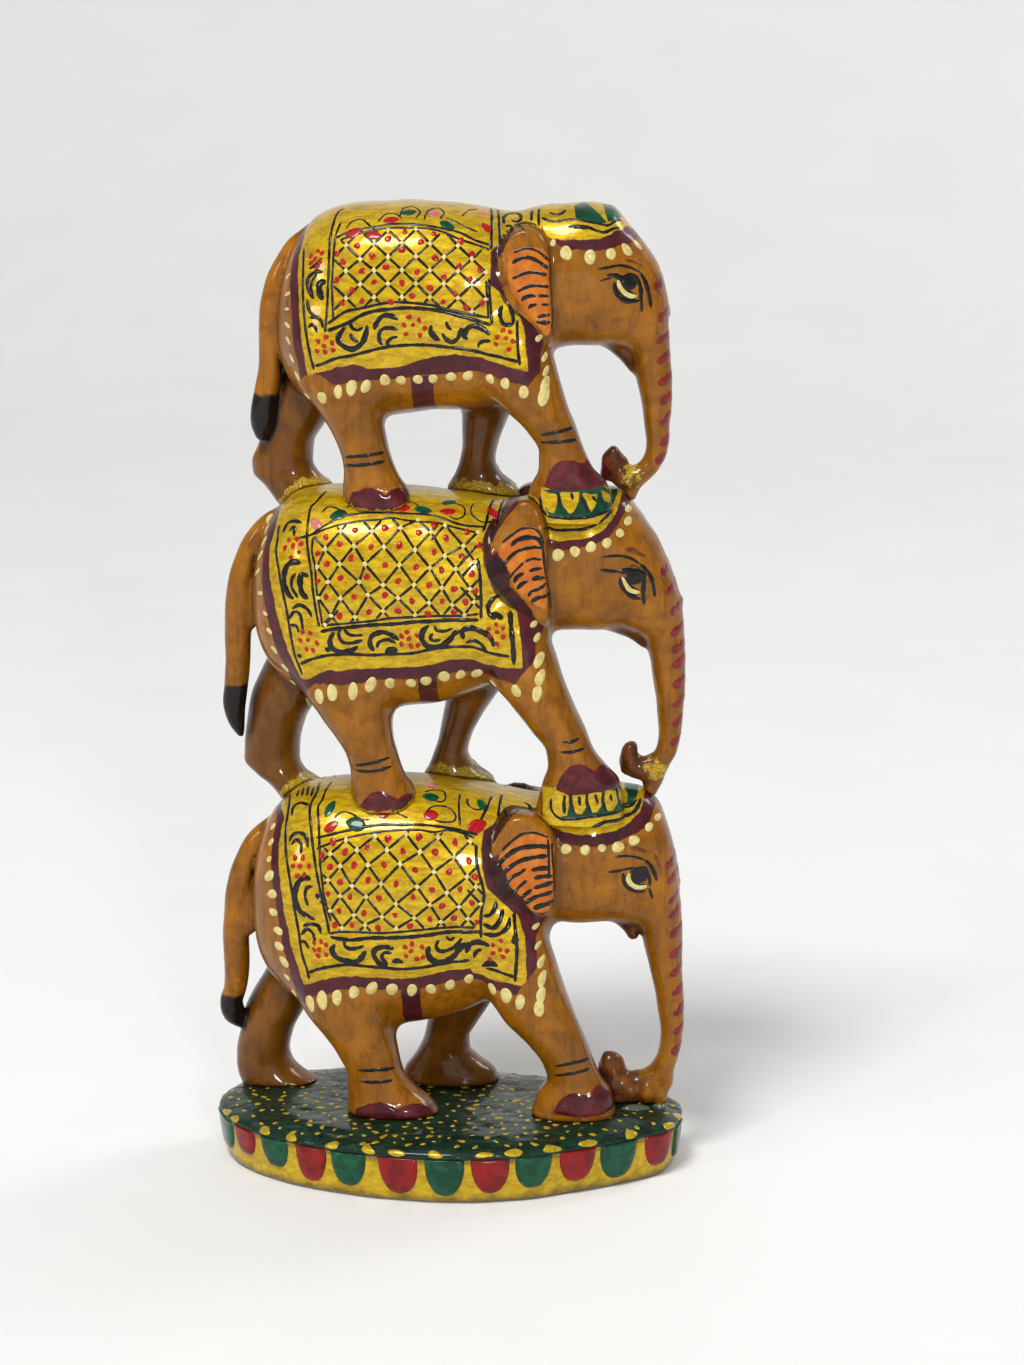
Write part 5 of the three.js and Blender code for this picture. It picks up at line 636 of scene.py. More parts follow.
            [-13.01,42.6],[-11.71,39.2]],[[-7.9,46.9],[-9.8,43],[-11.71,39.2]],[[-7.9,46.9],[-7.39,48.1],[-7.14,48.8]],[[-7.9,46.9],[-6.37,42.6],[-4.89,38.6]],
            [[-1.28,45.9],[-1.83,47.1],[-2.11,47.7]],[[-1.28,45.9],[-3.08,42.2],[-4.89,38.6]],[[-1.28,45.9],[-0.77,47.2],[-0.27,48.5]],[[-1.28,45.9],[0.42,41.4],
            [2.09,37]],[[-23.55,37.3],[-24.4,39.4],[-24.97,40.8]],[[-23.55,37.3],[-24.61,34.7],[-25.41,32.7]],[[-23.55,37.3],[-22.45,34.1],[-21.36,30.9]],
            [[-17.91,38.9],[-19.62,34.9],[-21.36,30.9]],[[-17.91,38.9],[-16.72,35.3],[-15.56,31.6]],[[-11.71,39.2],[-13.62,35.4],[-15.56,31.6]],[[-11.71,39.2],
            [-10.32,35.8],[-8.94,32.3]],[[-4.89,38.6],[-6.92,35.5],[-8.94,32.3]],[[-4.89,38.6],[-3.41,33.9],[-1.94,28.9]],[[2.09,37],[0.07,33],[-1.94,28.9]],
            [[2.09,37],[3.45,32.2],[4.79,27.1]],[[5.26,45.5],[4.44,47.3],[3.89,48.5]],[[5.26,45.5],[3.68,41.2],[2.09,37]],[[5.26,45.5],[5.8,44.4],[6.35,43.2]],
            [[-21.36,30.9],[-22.6,27.3],[-23.86,23.6]],[[-21.36,30.9],[-20.08,25.7],[-18.84,20.4]],[[-15.56,31.6],[-17.19,26.2],[-18.84,20.4]],[[-15.56,31.6],
            [-14.18,26.7],[-12.81,21.8]],[[-8.94,32.3],[-10.87,27.1],[-12.81,21.8]],[[-8.94,32.3],[-7.16,26.6],[-5.4,20.6]],[[-1.94,28.9],[-3.67,24.7],
            [-5.4,20.6]],[[-1.94,28.9],[-0.59,23.4],[0.73,17.6]],[[4.79,27.1],[2.77,22.3],[0.73,17.6]],[[4.79,27.1],[5.84,30.1],[6.88,33.1]],[[4.79,27.1],
            [5.72,24.4],[6.64,21.6]],[[-23.86,23.6],[-24.69,25.9],[-25.25,27.3]],[[-23.86,23.6],[-24.41,22.2],[-24.96,20.7]],[[-23.86,23.6],[-22.6,19.2],
            [-21.35,14.6]],[[-18.84,20.4],[-20.09,17.6],[-21.35,14.6]],[[-18.84,20.4],[-17.4,17.4],[-15.96,14.3]],[[-12.81,21.8],[-14.38,18.1],[-15.96,14.3]],
            [[-12.81,21.8],[-11.26,16.3],[-9.73,10.6]],[[-5.4,20.6],[-7.56,15.6],[-9.73,10.6]],[[-5.4,20.6],[-4.06,15.5],[-2.72,10.3]],[[0.73,17.6],[-1,13.9],
            [-2.72,10.3]],[[0.73,17.6],[1.96,13.5],[3.2,9.2]],[[6.64,21.6],[4.92,15.4],[3.2,9.2]],[[6.64,21.6],[7.16,23.2],[7.68,24.8]],[[6.64,21.6],[7.43,19.3],
            [8.22,16.9]],[[-21.35,14.6],[-22.4,10.1],[-23.47,5.4]],[[-21.35,14.6],[-19.92,9],[-18.49,3.2]],[[-15.96,14.3],[-17.23,8.9],[-18.49,3.2]],
            [[-15.96,14.3],[-14.3,8.5],[-12.64,2.6]],[[-9.73,10.6],[-11.18,6.6],[-12.64,2.6]],[[-9.73,10.6],[-7.88,6.5],[-6.03,2.3]],[[-2.72,10.3],[-4.37,6.4],
            [-6.03,2.3]],[[-2.72,10.3],[-1.6,5.2],[-0.5,-0.2]],[[3.2,9.2],[1.36,4.5],[-0.5,-0.2]],[[3.2,9.2],[4.12,5.4],[5.03,1.5]],[[7.66,11.1],[6.09,16.1],
            [4.77,20]],[[7.66,11.1],[6.35,6.3],[5.03,1.5]],[[-23.47,5.4],[-24.01,7],[-24.28,7.8]],[[-23.47,5.4],[-22.24,0.1],[-21,-5]],[[-18.49,3.2],[-19.75,-0.9],
            [-21,-5]],[[-18.49,3.2],[-17.35,0.2],[-16.21,-2.7]],[[-12.64,2.6],[-14.43,-0.1],[-16.21,-2.7]],[[-12.64,2.6],[-11.2,-1],[-9.75,-4.5]],[[-6.03,2.3],
            [-7.9,-1.2],[-9.75,-4.5]],[[-6.03,2.3],[-4.97,-0.9],[-3.91,-4.2]],[[-0.5,-0.2],[-1.03,-1.9],[-1.56,-3.6]],[[-0.5,-0.2],[0.03,-1.9],[0.56,-3.6]],
            [[5.03,1.5],[4.24,-1],[3.44,-3.6]],[[5.03,1.5],[5.82,-1.2],[6.6,-4]],[[-21,-5],[-21.53,-6.6],[-21.8,-7.4]],[[-16.21,-2.7],[-17.02,-5.3],[-17.56,-6.9]],
            [[-16.21,-2.7],[-15.4,-5.1],[-14.86,-6.6]]],
        "panel": [[-26.13,40.1],[-24.47,41.9],[-21.55,44],[-18.25,45.8],[-14.95,47.2],[-11.66,48.3],[-8.36,48.8],[-5.05,48.9],[-2.15,48.2],[0.7,49.6],[3.57,49.1],
            [6.25,47.4],[6.8,34.3],[8.06,21.2],[8.27,16.3],[7.67,3.2],[7.26,-4.7],[3.39,-3.6],[-0.71,-4],[-4.8,-5],[-8.93,-6.3],[-13.08,-7.2],[-17.26,-7.1],
            [-21.41,-7.3],[-23.49,-8.7],[-24.72,14.4],[-25.14,23.7],[-25.63,34.5]],
        "ear_area": [[10.91,65.18],[10.71,67.74],[11.75,70.74],[13.81,72.91],[16.08,74.65],[18.56,75.33],[21.03,74.74],[21.86,73.48],[22.08,70.29],[22.5,64.97],
            [22.52,60.27],[21.69,58.54],[19.83,57.86],[17.55,58.46],[15.06,60.13],[12.57,62.65]],
        "ear_lines": [[0.48,[[11.78,71.3],[13.85,73.25],[16.12,74.77],[18.59,75.03],[21.48,74.23]]],[0.92,[[10.95,67.02],[11.37,68.74],[13.02,70.26],[15.09,71.57],
            [17.56,72.15],[21.48,72.32]]],[0.84,[[11.37,65.75],[13.44,67.71],[15.5,69.03],[17.57,69.7],[21.28,70.41]]],[0.68,[[12.4,63.85],[13.85,65.59],
            [15.5,66.47],[16.74,67.56]]],[0.92,[[17.78,67.15],[19.63,67.61],[21.7,67.86]]],[0.6,[[14.06,61.96],[15.5,63.7],[16.95,65]]],[0.88,[[18.4,65.46],
            [20.05,65.92],[22.32,66.17]]],[0.72,[[15.3,60.91],[16.75,62.01],[17.99,63.1]]],[0.88,[[18.4,63.32],[20.26,64],[22.33,64.89]]],[0.76,[[16.34,59.86],
            [17.99,60.96],[19.23,61.63],[20.68,62.09],[22.33,62.76]]],[1,[[18.2,58.83],[19.86,59.5],[21.3,59.96],[22.34,60.62]]],[0.52,[[21.27,74.02],
            [21.49,70.41],[21.49,67.22],[21.7,65.73]]],[0.48,[[22.1,73.19],[22.31,69.37],[22.53,66.18],[22.54,62.55]]]],
        "sclera": [1.32,[[37.85,65.66],[37.75,64.13],[38.68,62.74],[40.12,62.18],[41.56,62.46]]],
        "pupil": [40.11,64.81,1.44],
        "eye_lines": [[0.44,[[33.54,66.13],[35.58,66.22],[37.43,66.55],[39.07,66.65]]],[0.64,[[36.61,65.73],[36.83,63.75],[37.86,62.34],[39.3,61.57],[41.16,61.42]]],
            [0.6,[[39.07,66.44],[40.92,66.25],[41.95,64.6],[42.18,62.39]]],[0.48,[[41.97,61.98],[42.4,60.63],[42.82,59.48]]],[0.36,[[34.95,69.24],[37,69.34],
            [39.05,69],[41.11,68.17]]],[0.64,[[41.11,68.17],[42.14,66.98],[42.97,65.36],[43.61,63.32]]]],
        "rust": [[0.6,[[38.01,70.95],[39.65,70.63],[41.5,69.81]]],[0.52,[[43.14,69.17],[43.77,67.39],[44.2,66.05]]]],
        "chev": [66.9,63.64,59.08,55.82,51.46,46.87,42.7,38.3,33.89,29.46,25.01],
        "ankles": [[[-18.61,23.52],[-14.55,23.78],[-10.83,23.66]],[[-18.06,20.95],[-14.62,21.02],[-11.17,21.13]],[[22.87,25.04],[26.44,25.96],[30.01,25.97]],
            [[22.83,22.78],[26.64,23.66],[30.09,24.06]]],
        "nails": [[[-18.92,14.53],[-17.64,15.22],[-16.15,16.14],[-14.03,16.64],[-12.34,16.24],[-10.23,14.96],[-8.75,15.66],[-6.63,15.93],[-4.52,15.54],[-3.05,14.48],
            [-2.64,12.28],[-4.55,11.34],[-9.84,11.21],[-16.19,11.49],[-19.36,12.3]],[[22.43,14.66],[23.48,16.89],[24.73,18.46],[26.4,19.16],[28.08,19.09],
            [29.55,18.58],[30.59,19.7],[31.63,20.38],[32.68,19.75],[33.95,18.47],[35,16.73],[36.06,15],[32.3,14.25],[28.1,13.92]]],
    },
}
SCALLOPS = [('green', -50.3, -45.6, 2.2), ('red', -45.4, -40.2, 3.7), ('green', -39.0, -32.4, 3.2), ('red', -30.8, -24.1, 1.7), ('green', -23.0, -15.3, 2.1), ('red', -12.9, -4.3, 1.5), ('green', -3.3, 5.3, 1.4), ('red', 6.4, 14.5, 2.0), ('green', 15.5, 23.1, 2.5), ('red', 24.5, 32.0, 2.6), ('green', 32.6, 40.4, 1.6), ('red', 41.8, 47.4, 2.3)]
SMEARS = {'upper': [(-33.2, 14.0, 143.3, 3.6), (2.7, 9.0, 145.2, 3.6), (37.1, -1.0, 147.5, 3.4)], 'middle': [(-32.6, 14.0, 78.1, 3.6), (2.0, 10.0, 83.3, 3.6), (42.8, -1.0, 85.9, 3.4)], 'lower': []}

# ------------------------------------------------------------------ small tools
rng = np.random.RandomState(21)
VOXEL = 0.56
MM = 0.001
ZERO = np.array([SHIFT[0], SHIFT[1], 0.0])
DOWELS = {"lower": [(-13.8, -10.3, 12.7), (-2.4, 11.4, 12.7)],
          "middle": [(-13.8, -8.8, 82.0), (-0.6, 8.8, 82.0)],
          "upper": [(-15.0, -8.6, 142.2), (4.6, 8.6, 142.0)]}
# rough curled-back end of each trunk: x, z, radius
STUBS = {"upper": [(33.9, 149.7, 2.5), (35.4, 147.2, 2.5), (32.6, 147.6, 1.7), (33.7, 151.8, 1.1), (38.0, 146.9, 2.1)],
         "middle": [(38.1, 87.2, 2.1), (40.0, 85.7, 2.4), (36.7, 86.1, 1.6), (37.7, 89.6, 1.3), (42.4, 86.2, 2.2)],
         "lower": [(33.8, 19.9, 2.7), (34.0, 17.2, 3.0), (35.0, 14.4, 3.0), (38.2, 15.0, 3.3), (41.8, 15.2, 3.1), (33.4, 21.6, 1.8)]}
TUFT = {"upper": 0.20, "middle": 0.23, "lower": 0.15}
BELOW = {"upper": "middle", "middle": "lower", "lower": None}
ABOVE = {"upper": None, "middle": "upper", "lower": "middle"}


def peg_hole(d, X, Y, Z, pegs):
    for cx, cy, cz in pegs:
        q = np.maximum(np.sqrt((X - cx) ** 2 + (Y - cy) ** 2) - 1.62, np.abs(Z - cz) - 5.2)
        d = np.maximum(d, -q)
    return d


def contour(d, origin, voxel):
    g = vdb.FloatGrid(background=3.0)
    g.copyFromArray(np.clip(d / voxel, -3, 3).astype(np.float32))
    p, t3, q = g.convertToPolygons(isovalue=0.0, adaptivity=0.0)
    p = p.astype(float) * voxel + np.array(origin)
    faces = [tuple(f) for f in q.tolist()] + [tuple(f) for f in t3.tolist()]
    return keep_largest(p, faces)


def keep_largest(p, faces):
    """Only the biggest connected shell."""
    n = len(p)
    lab = np.arange(n)
    f4 = np.array([f if len(f) == 4 else (f[0], f[1], f[2], f[2]) for f in faces])
    while True:
        m = lab[f4].min(axis=1)
        new = lab.copy()
        for k in range(4):
            np.minimum.at(new, f4[:, k], m)
        new = new[new]
        if (new == lab).all():
            break
        lab = new
    ids, cnt = np.unique(lab[f4[:, 0]], return_counts=True)
    big = ids[cnt.argmax()]
    good = lab == big
    if good.all():
        return p, faces
    idx = -np.ones(n, int)
    idx[good] = np.arange(good.sum())
    return p[good], [tuple(int(idx[i]) for i in f) for f in faces if good[f[0]]]


def mesh_object(name, p_mm, faces, material, smooth=True, attrs=None):
    me = bpy.data.meshes.new(name)
    pts = (np.asarray(p_mm, float) + ZERO) * MM
    me.from_pydata(pts.tolist(), [], faces)
    me.update()
    me.polygons.foreach_set("use_smooth", [smooth] * len(me.polygons))
    for k, v in (attrs or {}).items():
        a = me.attributes.new(k, "FLOAT", "POINT")
        a.data.foreach_set("value", np.asarray(v, np.float32))
    me.materials.append(material)
    ob = bpy.data.objects.new(name, me)
    bpy.context.scene.collection.objects.link(ob)
    return ob


def curve2(pts, step):
    """Catmull-Rom through 2-D points, resampled evenly."""
    p = np.asarray(pts, float)
    if len(p) < 2:
        return p
    q = np.vstack([2 * p[0] - p[1], p, 2 * p[-1] - p[-2]])
    out = []
    for i in range(1, len(q) - 2):
        a, b, c, d = q[i - 1], q[i], q[i + 1], q[i + 2]
        for t in np.linspace(0, 1, 12, endpoint=False):
            out.append(0.5 * ((2 * b) + (c - a) * t + (2 * a - 5 * b + 4 * c - d) * t**2 + (3 * b - a - 3 * c + d) * t**3))
    out.append(p[-1])
    out = np.array(out)
    s = np.concatenate([[0], np.cumsum(np.hypot(*np.diff(out, axis=0).T))])
    n = max(3, int(s[-1] / step) + 1)
    t = np.linspace(0, s[-1], n)
    return np.stack([np.interp(t, s, out[:, 0]), np.interp(t, s, out[:, 1])], 1)


class Paint:
    """Gathers raised paint, one closed low solid for each touch of the brush."""

    def __init__(self, tree):
        self.tree, self.v, self.f = tree, [], []

    def cast(self, o, d):
        h = self.tree.ray_cast(Vector(o), Vector(d))
        return (np.array(h[0]), np.array(h[1])) if h[0] is not None else None

    def stroke(self, hits, width, height=0.09, taper=0.8, wobble=0.12):
        """Ribbon of paint over surface hits, broken where the surface steps."""
        run = []
        for h in list(hits) + [None]:
            if h is None or (run and np.linalg.norm(h[0] - run[-1][0]) > 2.4):
                if len(run) >= 3:
                    self._ribbon(run, width, height, taper, wobble)
                run = []
            if h is not None:
                run.append(h)

    def _ribbon(self, run, width, height, taper, wobble):
        P = np.array([h[0] for h in run])
        N = np.array([h[1] for h in run])
        N[1:-1] = N[:-2] + N[1:-1] + N[2:]
        N /= np.linalg.norm(N, axis=1)[:, None]
        T = np.gradient(P, axis=0)
        B = np.cross(N, T)
        ln = np.linalg.norm(B, axis=1)
        ok = ln > 1e-6
        if not ok.all():
            P, N, B, ln = P[ok], N[ok], B[ok], ln[ok]
        if len(P) < 3:
            return
        B /= ln[:, None]
        s = np.concatenate([[0], np.cumsum(np.linalg.norm(np.diff(P, axis=0), axis=1))])
        L = s[-1]
        if L < 0.2:
            return
        ph = rng.uniform(0, 6.28)
        reach = max(width * taper, 0.15)
        e = np.minimum(np.minimum(s, L - s) / reach, 1.0)
        w = width / 2 * (0.22 + 0.78 * np.sqrt(np.maximum(1 - (1 - e) ** 2, 0))) * (1 + wobble * np.sin(s * 1.7 + ph) + wobble * 0.6 * np.sin(s * 4.1 + 2 * ph))
        hh = height * (0.45 + 0.55 * e)
        base = len(self.v)
        for k in range(len(P)):
            for off, up in ((-1, -0.05 / height), (-0.8, 0.55), (0, 1.0), (0.8, 0.55), (1, -0.05 / height)):
                lift = up * (hh[k] if up > 0 else height)
                self.v.append(P[k] + B[k] * (off * w[k]) + N[k] * lift)
        for k in range(len(P) - 1):
            a, b = base + 5 * k, base + 5 * (k + 1)
            for j in range(5):
                j2 = (j + 1) % 5
                self.f.append((a + j, a + j2, b + j2, b + j))
        self.f.append(tuple(base + j for j in (4, 3, 2, 1, 0)))
        last = base + 5 * (len(P) - 1)
        self.f.append(tuple(last + j for j in range(5)))

    def blob(self, place, rx, ry, turn=0.0, height=0.16, rough=0.08, n=14, point=0.0):
        """Domed dab: place(du, dv) gives the surface hit at that offset in mm. point > 0 draws its ends out."""
        c = place(0.0, 0.0)
        if c is None:
            return
        ct, st = math.cos(turn), math.sin(turn)
        ph = rng.uniform(0, 6.28, 3)
        e1, e2 = place(0.3, 0.0), place(0.0, 0.3)
        tu = tv = None
        if e1 is not None and e2 is not None:
            tu, tv = (e1[0] - c[0]) / 0.3, (e2[0] - c[0]) / 0.3
            tu, tv = tu / np.linalg.norm(tu), tv / np.linalg.norm(tv)
        rings = []
        for fr, up in ((0.45, 0.93), (0.8, 0.6), (0.97, 0.2), (1.0, -0.07 / height)):
            ring = []
            for i in range(n):
                a = 2 * math.pi * i / n
                k = fr * (1 + rough * math.sin(2 * a + ph[0]) + rough * 0.7 * math.sin(3 * a + ph[1]))
                u, v = rx * k * math.cos(a), ry * k * math.sin(a)
                if point:
                    v *= 1 - point * abs(math.cos(a)) ** 3
                du, dv = u * ct - v * st, u * st + v * ct
                h = place(du, dv)
                if h is None or np.linalg.norm(h[0] - c[0]) > 2.2 * max(rx, ry) + 0.3:
                    if tu is None:
                        return
                    reach = math.hypot(du, dv)
                    h = (c[0] + tu * du + tv * dv - c[1] * (0.09 * reach * reach), c[1])
                ring.append(h[0] + h[1] * (up * height))
            rings.append(ring)
        base = len(self.v)
        self.v.append(c[0] + c[1] * height)
        for r in rings:
            self.v.extend(r)
        for i in range(n):
            j = (i + 1) % n
            self.f.append((base, base + 1 + i, base + 1 + j))
            for r in range(len(rings) - 1):
                a, b = base + 1 + r * n, base + 1 + (r + 1) * n
                self.f.append((a + i, b + i, b + j, a + j))
        self.f.append(tuple(base + 1 + (len(rings) - 1) * n + i for i in reversed(range(n))))

    def make(self, name, material):
        if not self.v:
            return None
        return finish_piece(mesh_object(name, np.array(self.v), self.f, material))


def finish_piece(ob):
    bpy.context.view_layer.update()
    bm = bmesh.new()
    bm.from_mesh(ob.data)
    bmesh.ops.recalc_face_normals(bm, faces=bm.faces)
    bm.to_mesh(ob.data)
    bm.free()
    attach(ob, "root")
    return ob


# ------------------------------------------------------------------ materials
class Nodes:
    def __init__(self, name):
        self.mat = bpy.data.materials.new(name)
        self.mat.use_nodes = True
        self.nt = self.mat.node_tree
        self.nt.nodes.clear()
        self.out = self.nt.nodes.new("ShaderNodeOutputMaterial")
        self.bsdf = self.nt.nodes.new("ShaderNodeBsdfPrincipled")
        self.link(self.bsdf.outputs[0], self.out.inputs[0])
        self.tc = self.nt.nodes.new("ShaderNodeTexCoord").outputs["Object"]

    def link(self, a, b):
        self.nt.links.new(a, b)

    def put(self, socket, value):
        if hasattr(value, "is_linked") or isinstance(value, bpy.types.NodeSocket):
            self.link(value, socket)
        else:
            socket.default_value = value

    def attr(self, name):
        n = self.nt.nodes.new("ShaderNodeAttribute")
        n.attribute_name = name
        return n.outputs["Fac"]

    def stretch(self, scale, turn=(0, 0, 0)):
        m = self.nt.nodes.new("ShaderNodeMapping")
        self.link(self.tc, m.inputs["Vector"])
        m.inputs["Scale"].default_value = scale
        m.inputs["Rotation"].default_value = turn
        return m.outputs[0]

    def noise(self, size_mm, detail=3.0, rough=0.55, vec=None, warp=0.0):
        n = self.nt.nodes.new("ShaderNodeTexNoise")
        self.link(vec or self.tc, n.inputs["Vector"])
        n.inputs["Scale"].default_value = 1000.0 / size_mm
        n.inputs["Detail"].default_value = detail
        n.inputs["Roughness"].default_value = rough
        n.inputs["Distortion"].default_value = warp
        return n.outputs["Fac"]

    def cells(self, size_mm, rand=1.0, vec=None):
        n = self.nt.nodes.new("ShaderNodeTexVoronoi")
        self.link(vec or self.tc, n.inputs["Vector"])
        n.inputs["Scale"].default_value = 1000.0 / size_mm
        n.inputs["Randomness"].default_value = rand
        return n.outputs["Distance"]

    def math(self, op, a, b=0.0, c=None, clamp=False):
        n = self.nt.nodes.new("ShaderNodeMath")
        n.operation = op
        n.use_clamp = clamp
        self.put(n.inputs[0], a)
        self.put(n.inputs[1], b)
        if c is not None:
            self.put(n.inputs[2], c)
        return n.outputs[0]

    def span(self, v, a, b, lo=0.0, hi=1.0, smooth=True):
        n = self.nt.nodes.new("ShaderNodeMapRange")
        n.interpolation_type = "SMOOTHSTEP" if smooth else "LINEAR"
        self.put(n.inputs["Value"], v)
        n.inputs["From Min"].default_value = a
        n.inputs["From Max"].default_value = b
        n.inputs["To Min"].default_value = lo
        n.inputs["To Max"].default_value = hi
        return n.outputs["Result"]

    def mix(self, f, a, b, mode="MIX"):
        n = self.nt.nodes.new("ShaderNodeMix")
        n.data_type = "RGBA"
        n.blend_type = mode
        self.put(n.inputs["Factor"], f)
        self.put(n.inputs[6], a)
        self.put(n.inputs[7], b)
        return n.outputs[2]

    def mixf(self, f, a, b):
        n = self.nt.nodes.new("ShaderNodeMix")
        n.data_type = "FLOAT"
        self.put(n.inputs[0], f)
        self.put(n.inputs[2], a)
        self.put(n.inputs[3], b)
        return n.outputs[0]

    def bump(self, height, strength, dist_mm):
        n = self.nt.nodes.new("ShaderNodeBump")
        n.inputs["Strength"].default_value = strength
        n.inputs["Distance"].default_value = dist_mm * MM
        self.link(height, n.inputs["Height"])
        self.link(n.outputs[0], self.bsdf.inputs["Normal"])
        return n.outputs[0]

    def coat(self, weight=1.0, rough=0.07):
        self.bsdf.inputs["Coat Weight"].default_value = 0.5 * weight
        self.bsdf.inputs["Coat Roughness"].default_value = rough
        self.bsdf.inputs["Coat IOR"].default_value = 1.42
        self.bsdf.inputs["Specular IOR Level"].default_value = 0.12


def col(r, g, b):
    """sRGB 0-255 to linear RGBA."""
    def f(c):
        c /= 255.0
        return c / 12.92 if c <= 0.04045 else ((c + 0.055) / 1.055) ** 2.4
    return (f(r), f(g), f(b), 1.0)


def enamel(name, base, other, size=2.2, rough=0.32, metal=0.0, dark=None, coat=1.0):
    """Brush-laid gloss paint: two tones pooled in patches, fine brush streaks, a little grime."""
    n = Nodes(name)
    m = n.noise(size, 3.0, 0.6, warp=0.4)
    c = n.mix(n.span(m, 0.38, 0.66), base, other)
    s = n.noise(0.5, 2.0, 0.6, vec=n.stretch((1, 1, 0.3)))
    c = n.mix(n.span(s, 0.5, 0.75, 0, 0.22), c, dark or tuple(0.45 * x for x in base[:3]) + (1.0,))
    n.link(c, n.bsdf.inputs["Base Color"])
    n.link(n.span(s, 0.3, 0.8, rough - 0.08, rough + 0.14), n.bsdf.inputs["Roughness"])
    n.bsdf.inputs["Metallic"].default_value = metal
    n.bump(n.math("ADD", m, n.math("MULTIPLY", s, 0.35)), 0.35, 0.12)
    n.coat(coat, 0.07)
    return n.mat


